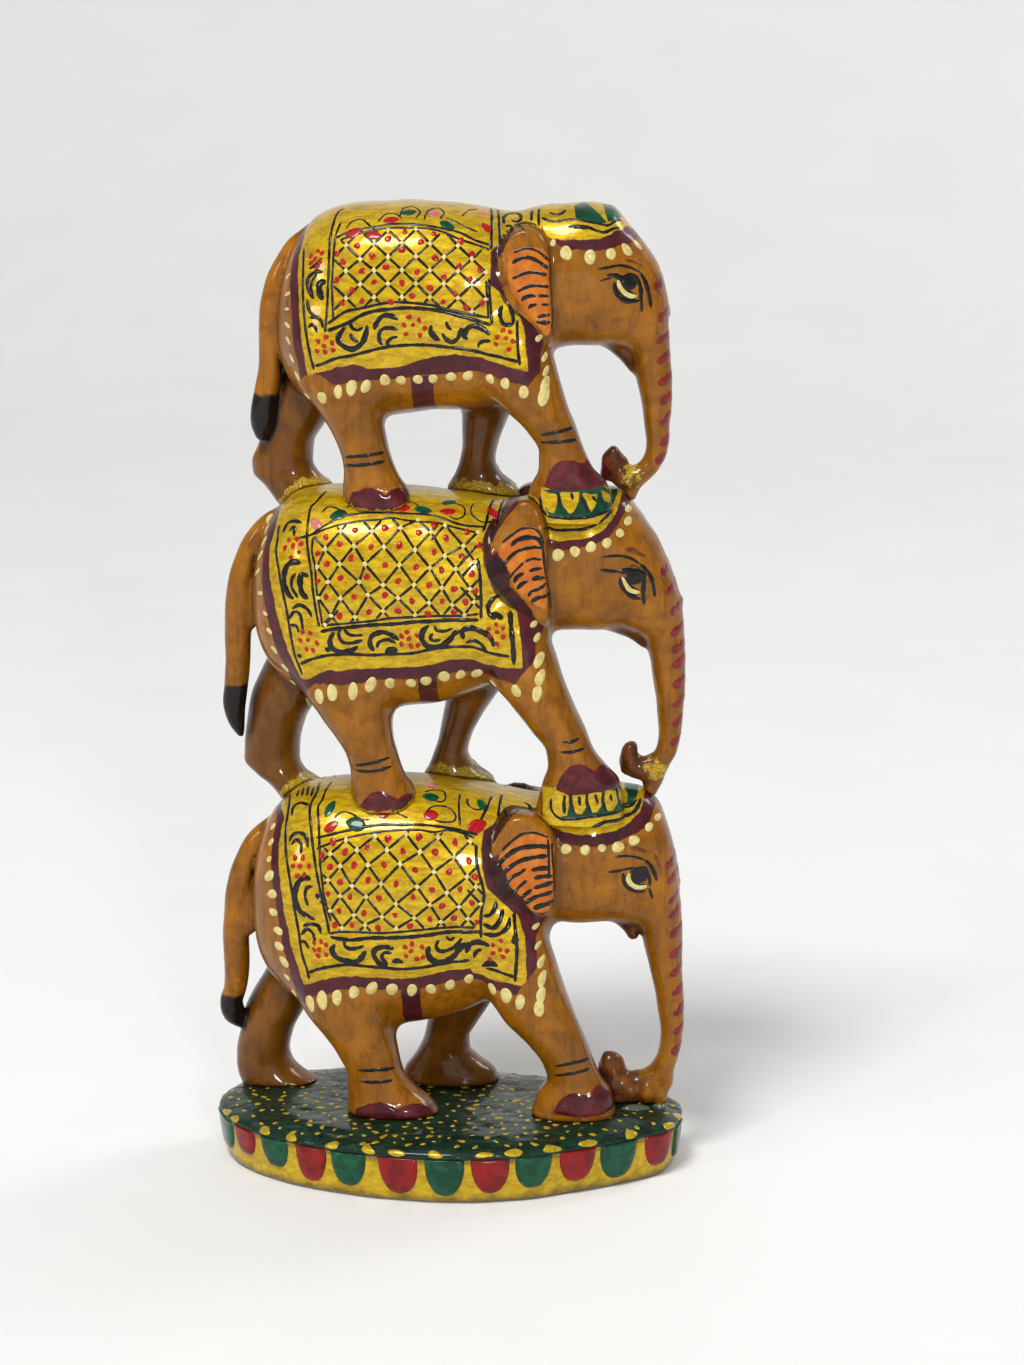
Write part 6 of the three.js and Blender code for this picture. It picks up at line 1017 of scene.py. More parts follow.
def elephant_material(name):
    n = Nodes(name)
    wob = n.math("MULTIPLY", n.math("SUBTRACT", n.noise(1.5, 3.0, 0.6), 0.5), 0.5)
    wob2 = n.math("MULTIPLY", n.math("SUBTRACT", n.noise(4.0, 2.0, 0.5), 0.5), 0.7)
    w = n.math("ADD", wob, wob2)

    def inside(attr, extra=None, soft=0.10):
        v = n.math("ADD", n.attr(attr), w if extra is None else extra)
        return n.span(v, soft, -soft)

    # lacquered wood: vertical grain under an amber stain, mottled; painted shade and grime darken the hollows, painted
    # shade darkens the inner faces of the legs and the belly
    grain = n.noise(1.6, 5.0, 0.62, vec=n.stretch((1, 1, 0.12)), warp=0.6)
    broad = n.noise(11.0, 3.0, 0.5)
    mott = n.noise(3.2, 4.0, 0.6)
    wood = n.mix(n.span(broad, 0.32, 0.68), col(134, 82, 2), col(162, 101, 7))
    wood = n.mix(n.span(mott, 0.42, 0.72, 0, 0.75), wood, col(114, 66, 3))
    wood = n.mix(n.span(grain, 0.46, 0.72, 0, 0.55), wood, col(88, 49, 4))
    wood = n.mix(n.span(n.noise(2.4, 3.0, 0.6), 0.62, 0.78, 0, 0.5), wood, col(184, 122, 20))
    specks = n.span(n.cells(2.1), 0.10, 0.02)
    wood = n.mix(n.math("MULTIPLY", specks, n.span(mott, 0.5, 0.62, 0, 0.6)), wood, col(84, 44, 16))
    # painted shade and grime in the hollows and joints
    crevice_shade_and_grime = n.attr("crevice_shade_and_grime")
    wood = n.mix(n.math("MULTIPLY", crevice_shade_and_grime, 0.85), wood, col(62, 30, 12))
    # painted shade on the inner faces of the legs and under the belly
    painted_underside_shade = n.attr("painted_underside_shade")
    wood = n.mix(n.math("MULTIPLY", painted_underside_shade, 0.72), wood, col(52, 26, 12))
    c = wood
    # maroon cloth border
    maroon = n.mix(n.span(mott, 0.35, 0.7), col(62, 16, 24), col(84, 26, 34))
    c = n.mix(inside("cloth"), c, maroon)
    # gold ground, laid on in streaks with bronze powder, its brightest flecks painted as glints
    streak = n.noise(1.1, 4.0, 0.65, vec=n.stretch((0.35, 1, 1), (0, 0.5, 0)), warp=0.5)
    powder_and_glint = n.noise(0.32, 2.0, 0.7)
    gold = n.mix(n.span(streak, 0.3, 0.7), col(160, 122, 3), col(206, 172, 20))
    # painted glints: pale yellow flecks where the powder catches the light
    gold = n.mix(n.span(powder_and_glint, 0.56, 0.74, 0, 0.6), gold, col(240, 218, 84))
    gold = n.mix(n.span(broad, 0.55, 0.8, 0, 0.45), gold, col(128, 102, 10))
    is_gold = inside("gold")
    c = n.mix(is_gold, c, gold)
    girth = inside("girth")
    c = n.mix(girth, c, maroon)
    # cap and its band
    c = n.mix(inside("band"), c, maroon)
    cap = inside("cap")
    c = n.mix(cap, c, gold)
    green = n.mix(n.span(mott, 0.4, 0.7), col(5, 54, 36), col(12, 78, 52))
    c = n.mix(inside("green", wob), c, green)
    petal = inside("petal", wob)
    c = n.mix(petal, c, gold)
    # ear panel
    orange = n.mix(n.span(n.noise(2.4, 3, 0.6), 0.35, 0.7), col(176, 90, 14), col(198, 116, 34))
    c = n.mix(inside("ear"), c, orange)
    c = n.mix(n.math("MULTIPLY", inside("earrim"), 0.9), c, n.mix(n.span(mott, 0.4, 0.6), col(34, 12, 12), col(58, 20, 18)))
    # far end of tail, lower lip, trunk knob
    c = n.mix(inside("tuft", n.math("MULTIPLY", w, 2.0), 0.5), c, col(20, 13, 12))
    c = n.mix(n.span(n.math("ADD", n.attr("lip"), w), 0.0, 0.9, 0, 0.85), c, n.mix(n.span(mott, 0.35, 0.62), col(98, 48, 20), col(56, 26, 14)))
    # toenail paint
    nail = inside("nail")
    c = n.mix(nail, c, n.mix(n.span(mott, 0.35, 0.7), col(64, 12, 18), col(100, 30, 36)))
    # gold smeared where a foot stands in wet paint
    patch = n.span(n.math("ADD", n.attr("smear"), n.math("MULTIPLY", n.math("SUBTRACT", n.noise(1.6, 4, 0.65), 0.5), 1.9)), 0.46, 0.66, 0, 0.95)
    c = n.mix(patch, c, n.mix(n.span(powder_and_glint, 0.45, 0.65), col(150, 118, 26), col(214, 186, 60)))
    # painted shade, with some soot, near black in the deepest joints
    c = n.mix(n.span(crevice_shade_and_grime, 0.45, 1.0, 0, 0.75), c, col(30, 18, 12))
    n.link(c, n.bsdf.inputs["Base Color"])
    shine = n.math("MAXIMUM", n.math("MAXIMUM", is_gold, cap), petal)
    n.link(n.math("MULTIPLY", shine, n.span(powder_and_glint, 0.35, 0.7, 0.15, 0.5)), n.bsdf.inputs["Metallic"])
    n.link(n.mixf(shine, n.span(grain, 0.3, 0.7, 0.34, 0.5), n.span(powder_and_glint, 0.3, 0.75, 0.28, 0.5)), n.bsdf.inputs["Roughness"])
    h = n.math("ADD", n.math("MULTIPLY", grain, 0.30), n.math("MULTIPLY", n.noise(5.5, 2.0, 0.5), 1.3))
    h = n.math("ADD", h, n.math("MULTIPLY", n.math("MULTIPLY", streak, shine), 0.40))
    n.bump(h, 0.42, 0.16)
    n.coat(1.0, 0.06)
    return n.mat


def plinth_material():
    n = Nodes("plinth_paint")
    w = n.math("MULTIPLY", n.math("SUBTRACT", n.noise(1.6, 3.0, 0.6), 0.5), 0.7)
    top = n.span(n.math("ADD", n.attr("top"), w), 0.12, -0.12)
    dab = n.noise(1.5, 4.0, 0.65, vec=n.stretch((0.4, 1, 1), (0, 0, 0.25)), warp=0.8)
    fine = n.noise(0.6, 3.0, 0.65)
    green = n.mix(n.span(dab, 0.36, 0.62), col(3, 26, 18), col(10, 50, 34))
    green = n.mix(n.span(fine, 0.60, 0.74, 0, 0.55), green, col(74, 92, 48))
    green = n.mix(n.span(n.noise(6.0, 3, 0.6), 0.55, 0.75, 0, 0.5), green, col(6, 20, 16))
    side = n.mix(n.span(dab, 0.3, 0.7), col(170, 136, 10), col(208, 176, 36))
    side = n.mix(n.span(fine, 0.56, 0.74, 0, 0.5), side, col(120, 96, 26))
    c = n.mix(top, side, green)
    # darker along the foot of the side; painted shade under the lip and round the lowest elephant's feet
    sep = n.nt.nodes.new("ShaderNodeSeparateXYZ")
    n.link(n.tc, sep.inputs[0])
    z = n.math("MULTIPLY", sep.outputs["Z"], 1000.0)
    low = n.span(n.math("ADD", z, n.math("MULTIPLY", n.math("SUBTRACT", n.noise(3.0, 4, 0.6), 0.5), 4.0)), 2.4, 0.2, 0, 0.75)
    c = n.mix(low, c, col(88, 66, 34))
    lip_and_feet_shade = n.attr("lip_and_feet_shade")
    c = n.mix(n.math("MULTIPLY", lip_and_feet_shade, 0.6), c, col(60, 44, 20))
    n.link(c, n.bsdf.inputs["Base Color"])
    n.link(n.mixf(top, 0.38, n.span(fine, 0.3, 0.7, 0.28, 0.5)), n.bsdf.inputs["Roughness"])
    n.link(n.math("MULTIPLY", n.math("SUBTRACT", 1.0, top), 0.3), n.bsdf.inputs["Metallic"])
    n.bump(n.math("ADD", n.math("MULTIPLY", dab, 1.0), n.math("MULTIPLY", fine, 0.5)), 0.6, 0.3)
    n.coat(1.0, 0.09)
    return n.mat


def dowel_material():
    n = Nodes("bare_dowel_wood")
    g = n.noise(0.8, 5.0, 0.6, vec=n.stretch((1, 1, 0.08)), warp=0.4)
    n.link(n.mix(n.span(g, 0.35, 0.68), col(206, 172, 122), col(164, 122, 74)), n.bsdf.inputs["Base Color"])
    n.link(n.span(g, 0.3, 0.7, 0.55, 0.75), n.bsdf.inputs["Roughness"])
    n.bump(g, 0.4, 0.08)
    return n.mat


# ------------------------------------------------------------------ elephants
def fold(th):
    """Angle on the near half for any angle round the barrel."""
    th = np.where(th > 90, 180 - th, th)
    return np.where(th < -90, -180 - th, th)


def polar_region(rows, R):
    p = np.array(rows, float)
    p[:, 1] = np.radians(p[:, 1]) * R
    return p


def ring_region(D_, key, R, top=140.0):
    """Cloth outline: left edge down, bottom edge forward, right edge up, closed well past the ridge."""
    g = D_[key]
    left, bottom, right = g["left"], g["bottom"], g["right"]
    lx = left[0][0] + (1.2 if key == "gold" else 0.0)
    rx = right[-1][0]
    rows = [[lx, top], [lx, 90.0]] + left + bottom + right + [[rx, 90.0], [rx, top]]
    return polar_region(rows, R)


def ear_hump(X, Y, Z):
    """Raised top of the lowest elephant's far ear."""
    return (np.sqrt(((X - 13.3) / 3.9) ** 2 + ((Y - 11.0) / 2.2) ** 2 + ((Z - 76.9) / 2.5) ** 2) - 1) * 2.2


def zc_low(D_):
    """Height of the ear's lower tip."""
    return min(q[1] for q in D_["ear_area"]) - 3.0


def build_elephant(key, mat):
    e, D_ = E[key], DESIGN[key]
    zl = min(r[-1][0] for _, r in e["legs"]) - 1.5
    zh = max(r[1] for r in e["torso"]) + 3.0
    xs, ys, zs = np.arange(-51.5, 51.5, VOXEL), np.arange(-22.5, 22.5, VOXEL), np.arange(zl, zh, VOXEL)
    X, Y, Z = np.meshgrid(xs, ys, zs, indexing="ij", sparse=True)
    d = elephant_field(e, X, Y, Z)
    if key == "lower":
        d = -smax(-d, -ear_hump(X, Y, Z), 0.8)
    stub = np.full(np.broadcast_shapes(X.shape, Y.shape, Z.shape), 9.0)
    for cx, cz, r in STUBS[key]:
        i0, i1 = np.searchsorted(xs, cx - 7), np.searchsorted(xs, cx + 7)
        k0, k1 = np.searchsorted(zs, cz - 7), np.searchsorted(zs, cz + 7)
        q = np.sqrt((X[i0:i1] - cx) ** 2 + (Y * 0.9) ** 2 + (Z[:, :, k0:k1] - cz) ** 2) - r
        stub[i0:i1, :, k0:k1] = -smax(-stub[i0:i1, :, k0:k1], -q, 0.8)
    stub = stub + waves(X, Y, Z, 0.34, 4.2, 8, 3) + waves(X, Y, Z, 0.14, 1.7, 8, 6)
    d = -smax(-d, -stub, 1.2)
    d = d + waves(X, Y, Z, 0.10, 13, 9, 11) + waves(X, Y, Z, 0.03, 5, 8, 5)
    m = zs < zl + 16
    if BELOW[key]:
        b = bearing_field(E[BELOW[key]], X, Y, Z[:, :, m], 0.10)
    else:
        xx, yy = np.broadcast_arrays(X[:, :, 0], Y[:, :, 0])
        b = Z[:, :, m] - (plinth_top(xx, yy) + 0.03)[:, :, None]
    d[:, :, m] = np.maximum(d[:, :, m], -b)
    d = peg_hole(d, X, Y, Z, DOWELS[key])
    if ABOVE[key]:
        d = peg_hole(d, X, Y, Z, DOWELS[ABOVE[key]])
    p, faces = contour(d, (xs[0], ys[0], zs[0]), VOXEL)

    def sample(q):
        f = (q - np.array([xs[0], ys[0], zs[0]])) / VOXEL
        i = np.clip(f.astype(int), 0, np.array(d.shape) - 2)
        t = np.clip(f - i, 0, 1)
        out = 0.0
        for a in (0, 1):
            for b_ in (0, 1):
                for c in (0, 1):
                    wgt = (t[:, 0] if a else 1 - t[:, 0]) * (t[:, 1] if b_ else 1 - t[:, 1]) * (t[:, 2] if c else 1 - t[:, 2])
                    out = out + wgt * d[i[:, 0] + a, i[:, 1] + b_, i[:, 2] + c]
        return out

    eps = 0.4
    N = np.stack([sample(p + np.eye(3)[k] * eps) - sample(p - np.eye(3)[k] * eps) for k in range(3)], 1)
    N /= np.maximum(np.linalg.norm(N, axis=1), 1e-6)[:, None]
    # painted shade and grime: occlusion sampled along the normal darkens the crevices, and the joints with the pieces
    # below and above are darkened too
    crevice_shade_and_grime = np.zeros(len(p))
    for r, wt in ((1.0, 0.35), (2.2, 0.35), (4.5, 0.3)):
        crevice_shade_and_grime += wt * np.clip(1 - sample(p + N * r) / r, 0, 1)
    # joints with the piece below
    if BELOW[key]:
        nb = bearing_field(E[BELOW[key]], p[:, 0], p[:, 1], p[:, 2], 0.10)
    else:
        nb = p[:, 2] - plinth_top(p[:, 0], p[:, 1])
    crevice_shade_and_grime = np.maximum(crevice_shade_and_grime, 0.75 * np.clip(1 - nb / 1.2, 0, 1))
    if ABOVE[key]:
        ab = np.full(len(p), 9.0)
        ee = E[ABOVE[key]]
        for ys_, rows in ee["legs"]:
            r = np.array(rows[-4:])
            zz = r[-2, 0]
            cx, cy = (r[-2, 1] + r[-2, 2]) / 2, ys_[-2]
            a_, b_ = (r[-2, 2] - r[-2, 1]) / 2, r[-2, 3]
            q = (np.sqrt(((p[:, 0] - cx) / a_) ** 2 + ((p[:, 1] - cy) / b_) ** 2) - 1) * min(a_, b_)
            ab = np.minimum(ab, np.where(np.abs(p[:, 2] - zz) < 8, np.maximum(q, 0), 9))
        crevice_shade_and_grime = np.maximum(crevice_shade_and_grime, 0.62 * np.clip(1 - ab / 1.4, 0, 1))

    x, y, z = p.T
    R = 19.0
    th = fold(np.degrees(np.arctan2(z - D_["zc"], -y)))
    s = np.radians(th) * R
    eard = eared(e, x, y, z)
    off_ear = 0.3 - eard
    body_d = np.minimum(lofted(e["torso"], x, y, z), lofted(e["head"], x, y, z))
    cloth = np.maximum(polygon_sdf(ring_region(D_, "maroon", R), x, s), off_ear)
    cloth = np.maximum(cloth, np.where(x > 4, body_d - 9.0, body_d - 3.2))
    tail_d = swept(e["tail"], x, y, z, 1.0, e["swing"])
    cloth = np.maximum(cloth, np.where(x < -30, 0.5 - tail_d, -9))
    gold = np.maximum(polygon_sdf(ring_region(D_, "gold", R), x, s), cloth)
    gx = [q[0] for q in D_["girth"]]
    girth = np.maximum(np.abs(x - (min(gx) + max(gx)) / 2) - (max(gx) - min(gx)) / 2, np.maximum(s + 2.0, np.abs(lofted(e["torso"], x, y, z)) - 0.9))
    girth = np.maximum(girth, -cloth)
    Rh = 12.0
    thh = fold(np.degrees(np.arctan2(z - D_["zh"], -y)))
    sh = np.radians(thh) * Rh
    far = 140.0

    def head_region(rows, close):
        q = [list(r) for r in rows]
        if close:
            q[0][1] = far
            q[-1][1] = far
        return polygon_sdf(polar_region(q, Rh), x, sh)

    def side_region(rows):
        return polygon_sdf(np.array(rows, float), x, z)

    if ABOVE[key]:
        def head_region(rows, close):
            return side_region(rows)

    above = np.maximum(D_["zh"] - z, np.abs(lofted(e["head"], x, y, z)) - 1.6)
    cap = np.maximum(np.maximum(head_region(D_["gold_cap"], True), off_ear), above)
    band = np.maximum(np.maximum(head_region(D_["band"], True), off_ear), above)
    green = np.full(len(p), 9.0)
    for q in D_["cap_green"]:
        green = np.minimum(green, head_region(q, False))
    petal = np.full(len(p), 9.0)
    for q in D_["cap_petals"]:
        petal = np.minimum(petal, head_region(q, False))
    green, petal = np.maximum(green, above), np.maximum(petal, above)
    if BELOW[key]:
        D2 = DESIGN[BELOW[key]]
        under_foot = (y < -3) & (x > 13) & (z < D2["foot_z"] + 3)
        edge = np.maximum(z - D2["foot_z"] - 0.25 * np.sin(x * 0.9), y + 4)

        def onto(old, rows_list):
            v = np.full(len(p), 9.0)
            for rows in rows_list:
                v = np.minimum(v, side_region(rows))
            return np.where(under_foot, np.maximum(v, edge), old)

        cap, band = onto(cap, [D2["gold_cap"]]), onto(band, [D2["band"]])
        green, petal = onto(green, D2["cap_green"]), onto(petal, D2["cap_petals"])
    ear = np.maximum(polygon_sdf(np.array(D_["ear_area"]), x, z), -off_ear)
    ear = np.maximum(ear, 0.35 - np.abs(N[:, 1]))
    wide = {"upper": 0.8, "middle": 1.3, "lower": 1.3}[key]
    ex = float(np.mean([q[0] for q in D_["ear_area"]]))
    earrim = np.where(x < ex + 1.0, np.where(eard > 0.3, eard - wide, N[:, 0] + 0.35), 9.0)
    earrim = np.maximum(earrim, np.maximum(zc_low(D_) - z, np.abs(eard) - 3.0))
    # tail tuft, lip and trunk knob
    t = np.array(e["tail"])
    zt = t[-1, 1] + TUFT[key] * (t[0, 1] - t[-1, 1])
    tuft = np.maximum(z - zt, tail_d - 0.8)
    lip_d = swept(e["lip"], x, y, z, 1.5)
    tt = np.array(e["trunk"])
    knob = np.hypot(np.hypot(x - tt[-1, 0], z - tt[-1, 1]), y)
    lip = np.maximum(np.clip(1 - lip_d / 1.3, 0, 1), np.clip((6.5 - knob) / 3.0, 0, 1))
    for cx, cz, r in STUBS[key][:4]:
        lip = np.maximum(lip, np.clip(1.5 - np.sqrt((x - cx) ** 2 + y ** 2 + (z - cz) ** 2) / (r + 1.2), 0, 1))
    # nails, near feet as drawn, far feet shifted to match
    nail = np.full(len(p), 9.0)
    for k in (0, 1):
        near, far_leg = e["legs"][k][1], e["legs"][k + 2][1]
        q = np.array(D_["nails"][k])
        n0 = polygon_sdf(q, x, z)
        nail = np.minimum(nail, np.maximum(n0, y + 1))
        dx = (far_leg[-2][1] + far_leg[-2][2] - near[-2][1] - near[-2][2]) / 2
        dz = far_leg[-2][0] - near[-2][0]
        n1 = polygon_sdf(q, x - dx, z - dz)
        nail = np.minimum(nail, np.maximum(n1, 1 - y))
    nail = np.maximum(nail, 0.3 - np.where(y < 0, -1, 1) * N[:, 1] * 1.6 - 0.2)
    # painted shade on the inner faces of the legs and the belly, and on the far half below the belly
    belly = np.interp(x, [r[0] for r in e["torso"]], [r[2] for r in e["torso"]])
    low = np.clip((belly + 5.0 - z) / 5.0, 0, 1)
    facing = np.clip(0.55 - np.sign(y) * N[:, 1] * 1.3, 0, 1)
    painted_underside_shade = low * facing * np.clip(1.4 - np.abs(x - 38) / 60, 0.7, 1) * (tail_d > 1.0) * (swept(e["trunk"], x, y, z, TRUNK_WIDEN) > 1.0)
    painted_underside_shade = np.maximum(painted_underside_shade, 0.55 * low * (y > 3))
    smear = np.zeros(len(p))
    for cx, cy, cz, r in SMEARS[key]:
        q = np.sqrt((x - cx) ** 2 + (y - cy) ** 2 + (z - cz) ** 2)
        smear = np.maximum(smear, np.clip(1.25 - q / r, 0, 1))
    # nails stand a little proud, the ear panel is cut a little below its rim
    free = np.clip(nb / 1.0, 0, 1)
    step = 0.30 * np.clip(-nail / 0.5, 0, 1) ** 0.7 * free - 0.28 * np.clip(-ear / 0.7, 0, 1)
    p = p + N * step[:, None]
    if BELOW[key]:
        reach = np.where(y > 0, 1.5 - nb / 2.2, 1.25 - nb / 0.9)
        smear = np.maximum(smear, np.clip(reach, 0, 1) * (x < 30) * (z < zl + 14))
    if key == "lower":
        earrim = np.minimum(earrim, ear_hump(x, y, z) - 0.5)
    attrs = dict(cloth=cloth, gold=gold, girth=girth, cap=cap, band=band, green=green, petal=petal, ear=ear, tuft=tuft,
                 lip=lip, nail=nail, earrim=earrim, crevice_shade_and_grime=crevice_shade_and_grime, painted_underside_shade=painted_underside_shade, smear=smear)
    ob = mesh_object(key + "_elephant_carving", p, faces, mat, attrs=attrs)
    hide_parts(key + "_elephant")
    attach(ob, "root")
    return p, faces


def tree_of(*parts):
    vs, fs, n = [], [], 0
    for p, f in parts:
        vs += [Vector(v) for v in p.tolist()]
        fs += [tuple(i + n for i in q) for q in f]
        n += len(p)
    return BVHTree.FromPolygons(vs, fs)


def decorate(key, tree, both, M):
    e, D_ = E[key], DESIGN[key]
    zc, zh = D_["zc"], D_["zh"]
    black, cream, red, leaf, pink, brown, rim = (Paint(tree) for _ in range(7))

    def polar(x, th, axis, side):
        a = math.radians(th)
        c, s = math.cos(a) * side, math.sin(a)
        return black.cast((x, -c * 42, axis + s * 42), (0, c, -s))

    def run_polar(pts, axis, side, step=0.45, R=19.0):
        q = np.array(pts, float)
        q[:, 1] *= R * math.pi / 180
        q = curve2(q, step)
        return [polar(a, math.degrees(b / R), axis, side) for a, b in q]

    def flat(x, z, side):
        return black.cast((x, -60.0 * side, z), (0, side, 0))

    def run_flat(pts, side, step=0.4):
        return [flat(a, b, side) for a, b in curve2(pts, step)]

    def spot(x, th, axis, side, R=19.0):
        return lambda du, dv: polar(x + du, th + math.degrees(dv / R), axis, side)

    def spot_flat(x, z, side):
        return lambda du, dv: flat(x + du, z + dv, side)

    for side in (1, -1):
        for w, pts in D_["lines"]:
            black.stroke(run_polar(pts, zc, side), w * 1.25, 0.09)
        for w, pts in D_["swirls"]:
            black.stroke(run_polar(pts, zc, side, 0.3), w * 1.72, 0.10, taper=1.3)
        for w, pts in D_["vines"]:
            black.stroke(run_polar(pts, zc, side, 0.3), w * 1.25, 0.07, taper=1.0)
        for pts in D_["lattice"]:
            black.stroke(run_polar(pts, zc, side, 0.5), 0.64, 0.07, taper=0.2)
        for x, th in D_["cross"]:
            cream.blob(spot(x, th, zc, side), 0.52, 0.52, 0, 0.13, 0.12, 8)
        for x, th in D_["red"]:
            r = rng.uniform(0.56, 0.74)
            red.blob(spot(x, th, zc, side), r, r, rng.uniform(0, 3), 0.15, 0.12, 10)
        for x, th in D_["cluster"]:
            r = rng.uniform(0.48, 0.6)
            red.blob(spot(x, th, zc, side), r, r * 0.95, rng.uniform(0, 3), 0.15, 0.12, 9)
        for x, th in D_["dots"]:
            r = rng.uniform(0.95, 1.2) * (0.95 if key == "upper" else 1.05)
            here = polar(x, th, zc, side)
            if here is not None and abs(here[1][1]) < 0.72:
                r *= 0.66
            cream.blob(spot(x, th, zc, side), r, r * rng.uniform(0.9, 1.05), rng.uniform(0, 3), 0.17, 0.06, 14)
        for kind, rx, ry, x, th, turn in D_["leaves"]:
            who = {"red": red, "green": leaf, "pink": pink}[kind]
            who.blob(spot(x, th, zc, side), rx * 0.62, ry * 0.62, math.radians(turn), 0.11, 0.05, 14, 0.45)
        # cap
        if ABOVE[key]:
            own, black.tree = black.tree, both
            for x, z, r in D_["cap_dots"]:
                cream.blob(spot_flat(x, z, side), r, r, rng.uniform(0, 3), 0.16, 0.06, 14)
            for w, pts in D_["cap_lines"]:
                black.stroke(run_flat(pts, side, 0.3), w * 1.5, 0.09, taper=1.2)
            black.tree = own
        else:
            for x, th, r in D_["cap_dots"]:
                cream.blob(spot(x, th, zh, side, 12.0), r, r, rng.uniform(0, 3), 0.16, 0.06, 14)
            for w, pts in D_["cap_lines"]:
                black.stroke(run_polar(pts, zh, side, 0.35, 12.0), w * 1.5, 0.09, taper=1.2)
        # ear
        for w, pts in D_["ear_lines"]:
            black.stroke(run_flat(pts, side), w * 1.25, 0.10, taper=1.0)
        # eye
        w, pts = D_["sclera"]
        black.stroke(run_flat(pts, side, 0.2), w + 1.0, 0.03, taper=1.0, wobble=0.03)
        cream.stroke(run_flat(pts, side, 0.2), w, 0.08, taper=1.4, wobble=0.03)
        x, z, r = D_["pupil"]
        black.blob(spot_flat(x, z, side), r * 1.2, r * 1.1, 0, 0.15, 0.03, 20)
        black.blob(spot_flat(x - 0.2, z + 0.85 * r, side), r * 1.3, r * 0.6, 0.1, 0.13, 0.04, 20)
        for w, pts in D_["eye_lines"]:
            black.stroke(run_flat(pts, side, 0.3), w * 1.55, 0.11, taper=2.0)
        for w, pts in D_["rust"]:
            brown.stroke(run_flat(pts, side, 0.3), w * 1.9, 0.05, taper=2.0)
        # ankles
        for k, pts in enumerate(D_["ankles"]):
            leg = 0 if k < 2 else 1
            q = np.array(pts, float)
            if side < 0:
                near, far = np.array(e["legs"][leg][1]), np.array(e["legs"][leg + 2][1])
                dz = far[-2][0] - near[-2][0]
                for i in range(len(q)):
                    cn = np.interp(q[i, 0 + 1], near[::-1, 0], (near[::-1, 1] + near[::-1, 2]) / 2)
                    cf = np.interp(q[i, 1] + dz, far[::-1, 0], (far[::-1, 1] + far[::-1, 2]) / 2)
                    q[i] += (cf - cn, dz)
            black.stroke(run_flat(q, side, 0.35), 0.85, 0.09, taper=3.5)
    # chevrons down the front of the trunk
    tr = np.array(e["trunk"])
    low_i = int(tr[:, 1].argmin())
    for z in D_["chev"]:
        if z < tr[low_i, 1] + 2:
            continue
        cx = float(np.interp(z, tr[:low_i + 1, 1][::-1], tr[:low_i + 1, 0][::-1]))
        front = rim.cast((cx + 30, 0, z), (-1, 0, 0))
        if front is None:
            continue
        half = math.degrees(math.acos(max(0.2, 1 - 2.9 / max(front[0][0] - cx, 3.6))))
        pts = [(half * u, dz) for u, dz in ((-1, -0.9), (-0.6, -0.1), (-0.3, 0.4), (0, 0.25), (0.3, 0.4), (0.6, -0.1), (1, -0.9))]
        hits = []
        for a, dz in curve2(pts, half / 18):
            c_, s_ = math.cos(math.radians(a)), math.sin(math.radians(a))
            hits.append(rim.cast((cx + 30 * c_, 30 * s_, z + dz), (-c_, -s_, 0)))
        rim.stroke(hits, 2.3, 0.07, taper=0.9, wobble=0.16)
    out = []
    for paint, nm, mt in ((black, "black_lines", M["black"]), (cream, "cream_dots", M["cream"]), (red, "red_dots", M["red"]),
                          (leaf, "green_leaves", M["green"]), (pink, "pink_petals", M["pink"]), (brown, "rust_strokes", M["rust"]),
                          (rim, "trunk_chevrons", M["maroon"])):
        out.append(paint.make(key + "_" + nm, mt))
    return [o for o in out if o]


# ------------------------------------------------------------------ plinth
def plinth_loop(step=0.5):
    q = smooth_loop(PLINTH, step)
    s = np.concatenate([[0], np.cumsum(np.hypot(*np.diff(np.vstack([q, q[:1]]), axis=0).T))])
    return q, s


def inset(z):
    return np.interp(z, [0, 0.7, 5.0, 9.2, 9.75, 10.3, 11.0], [1.7, 1.25, 0.65, 0.15, -0.25, -0.62, -0.6])


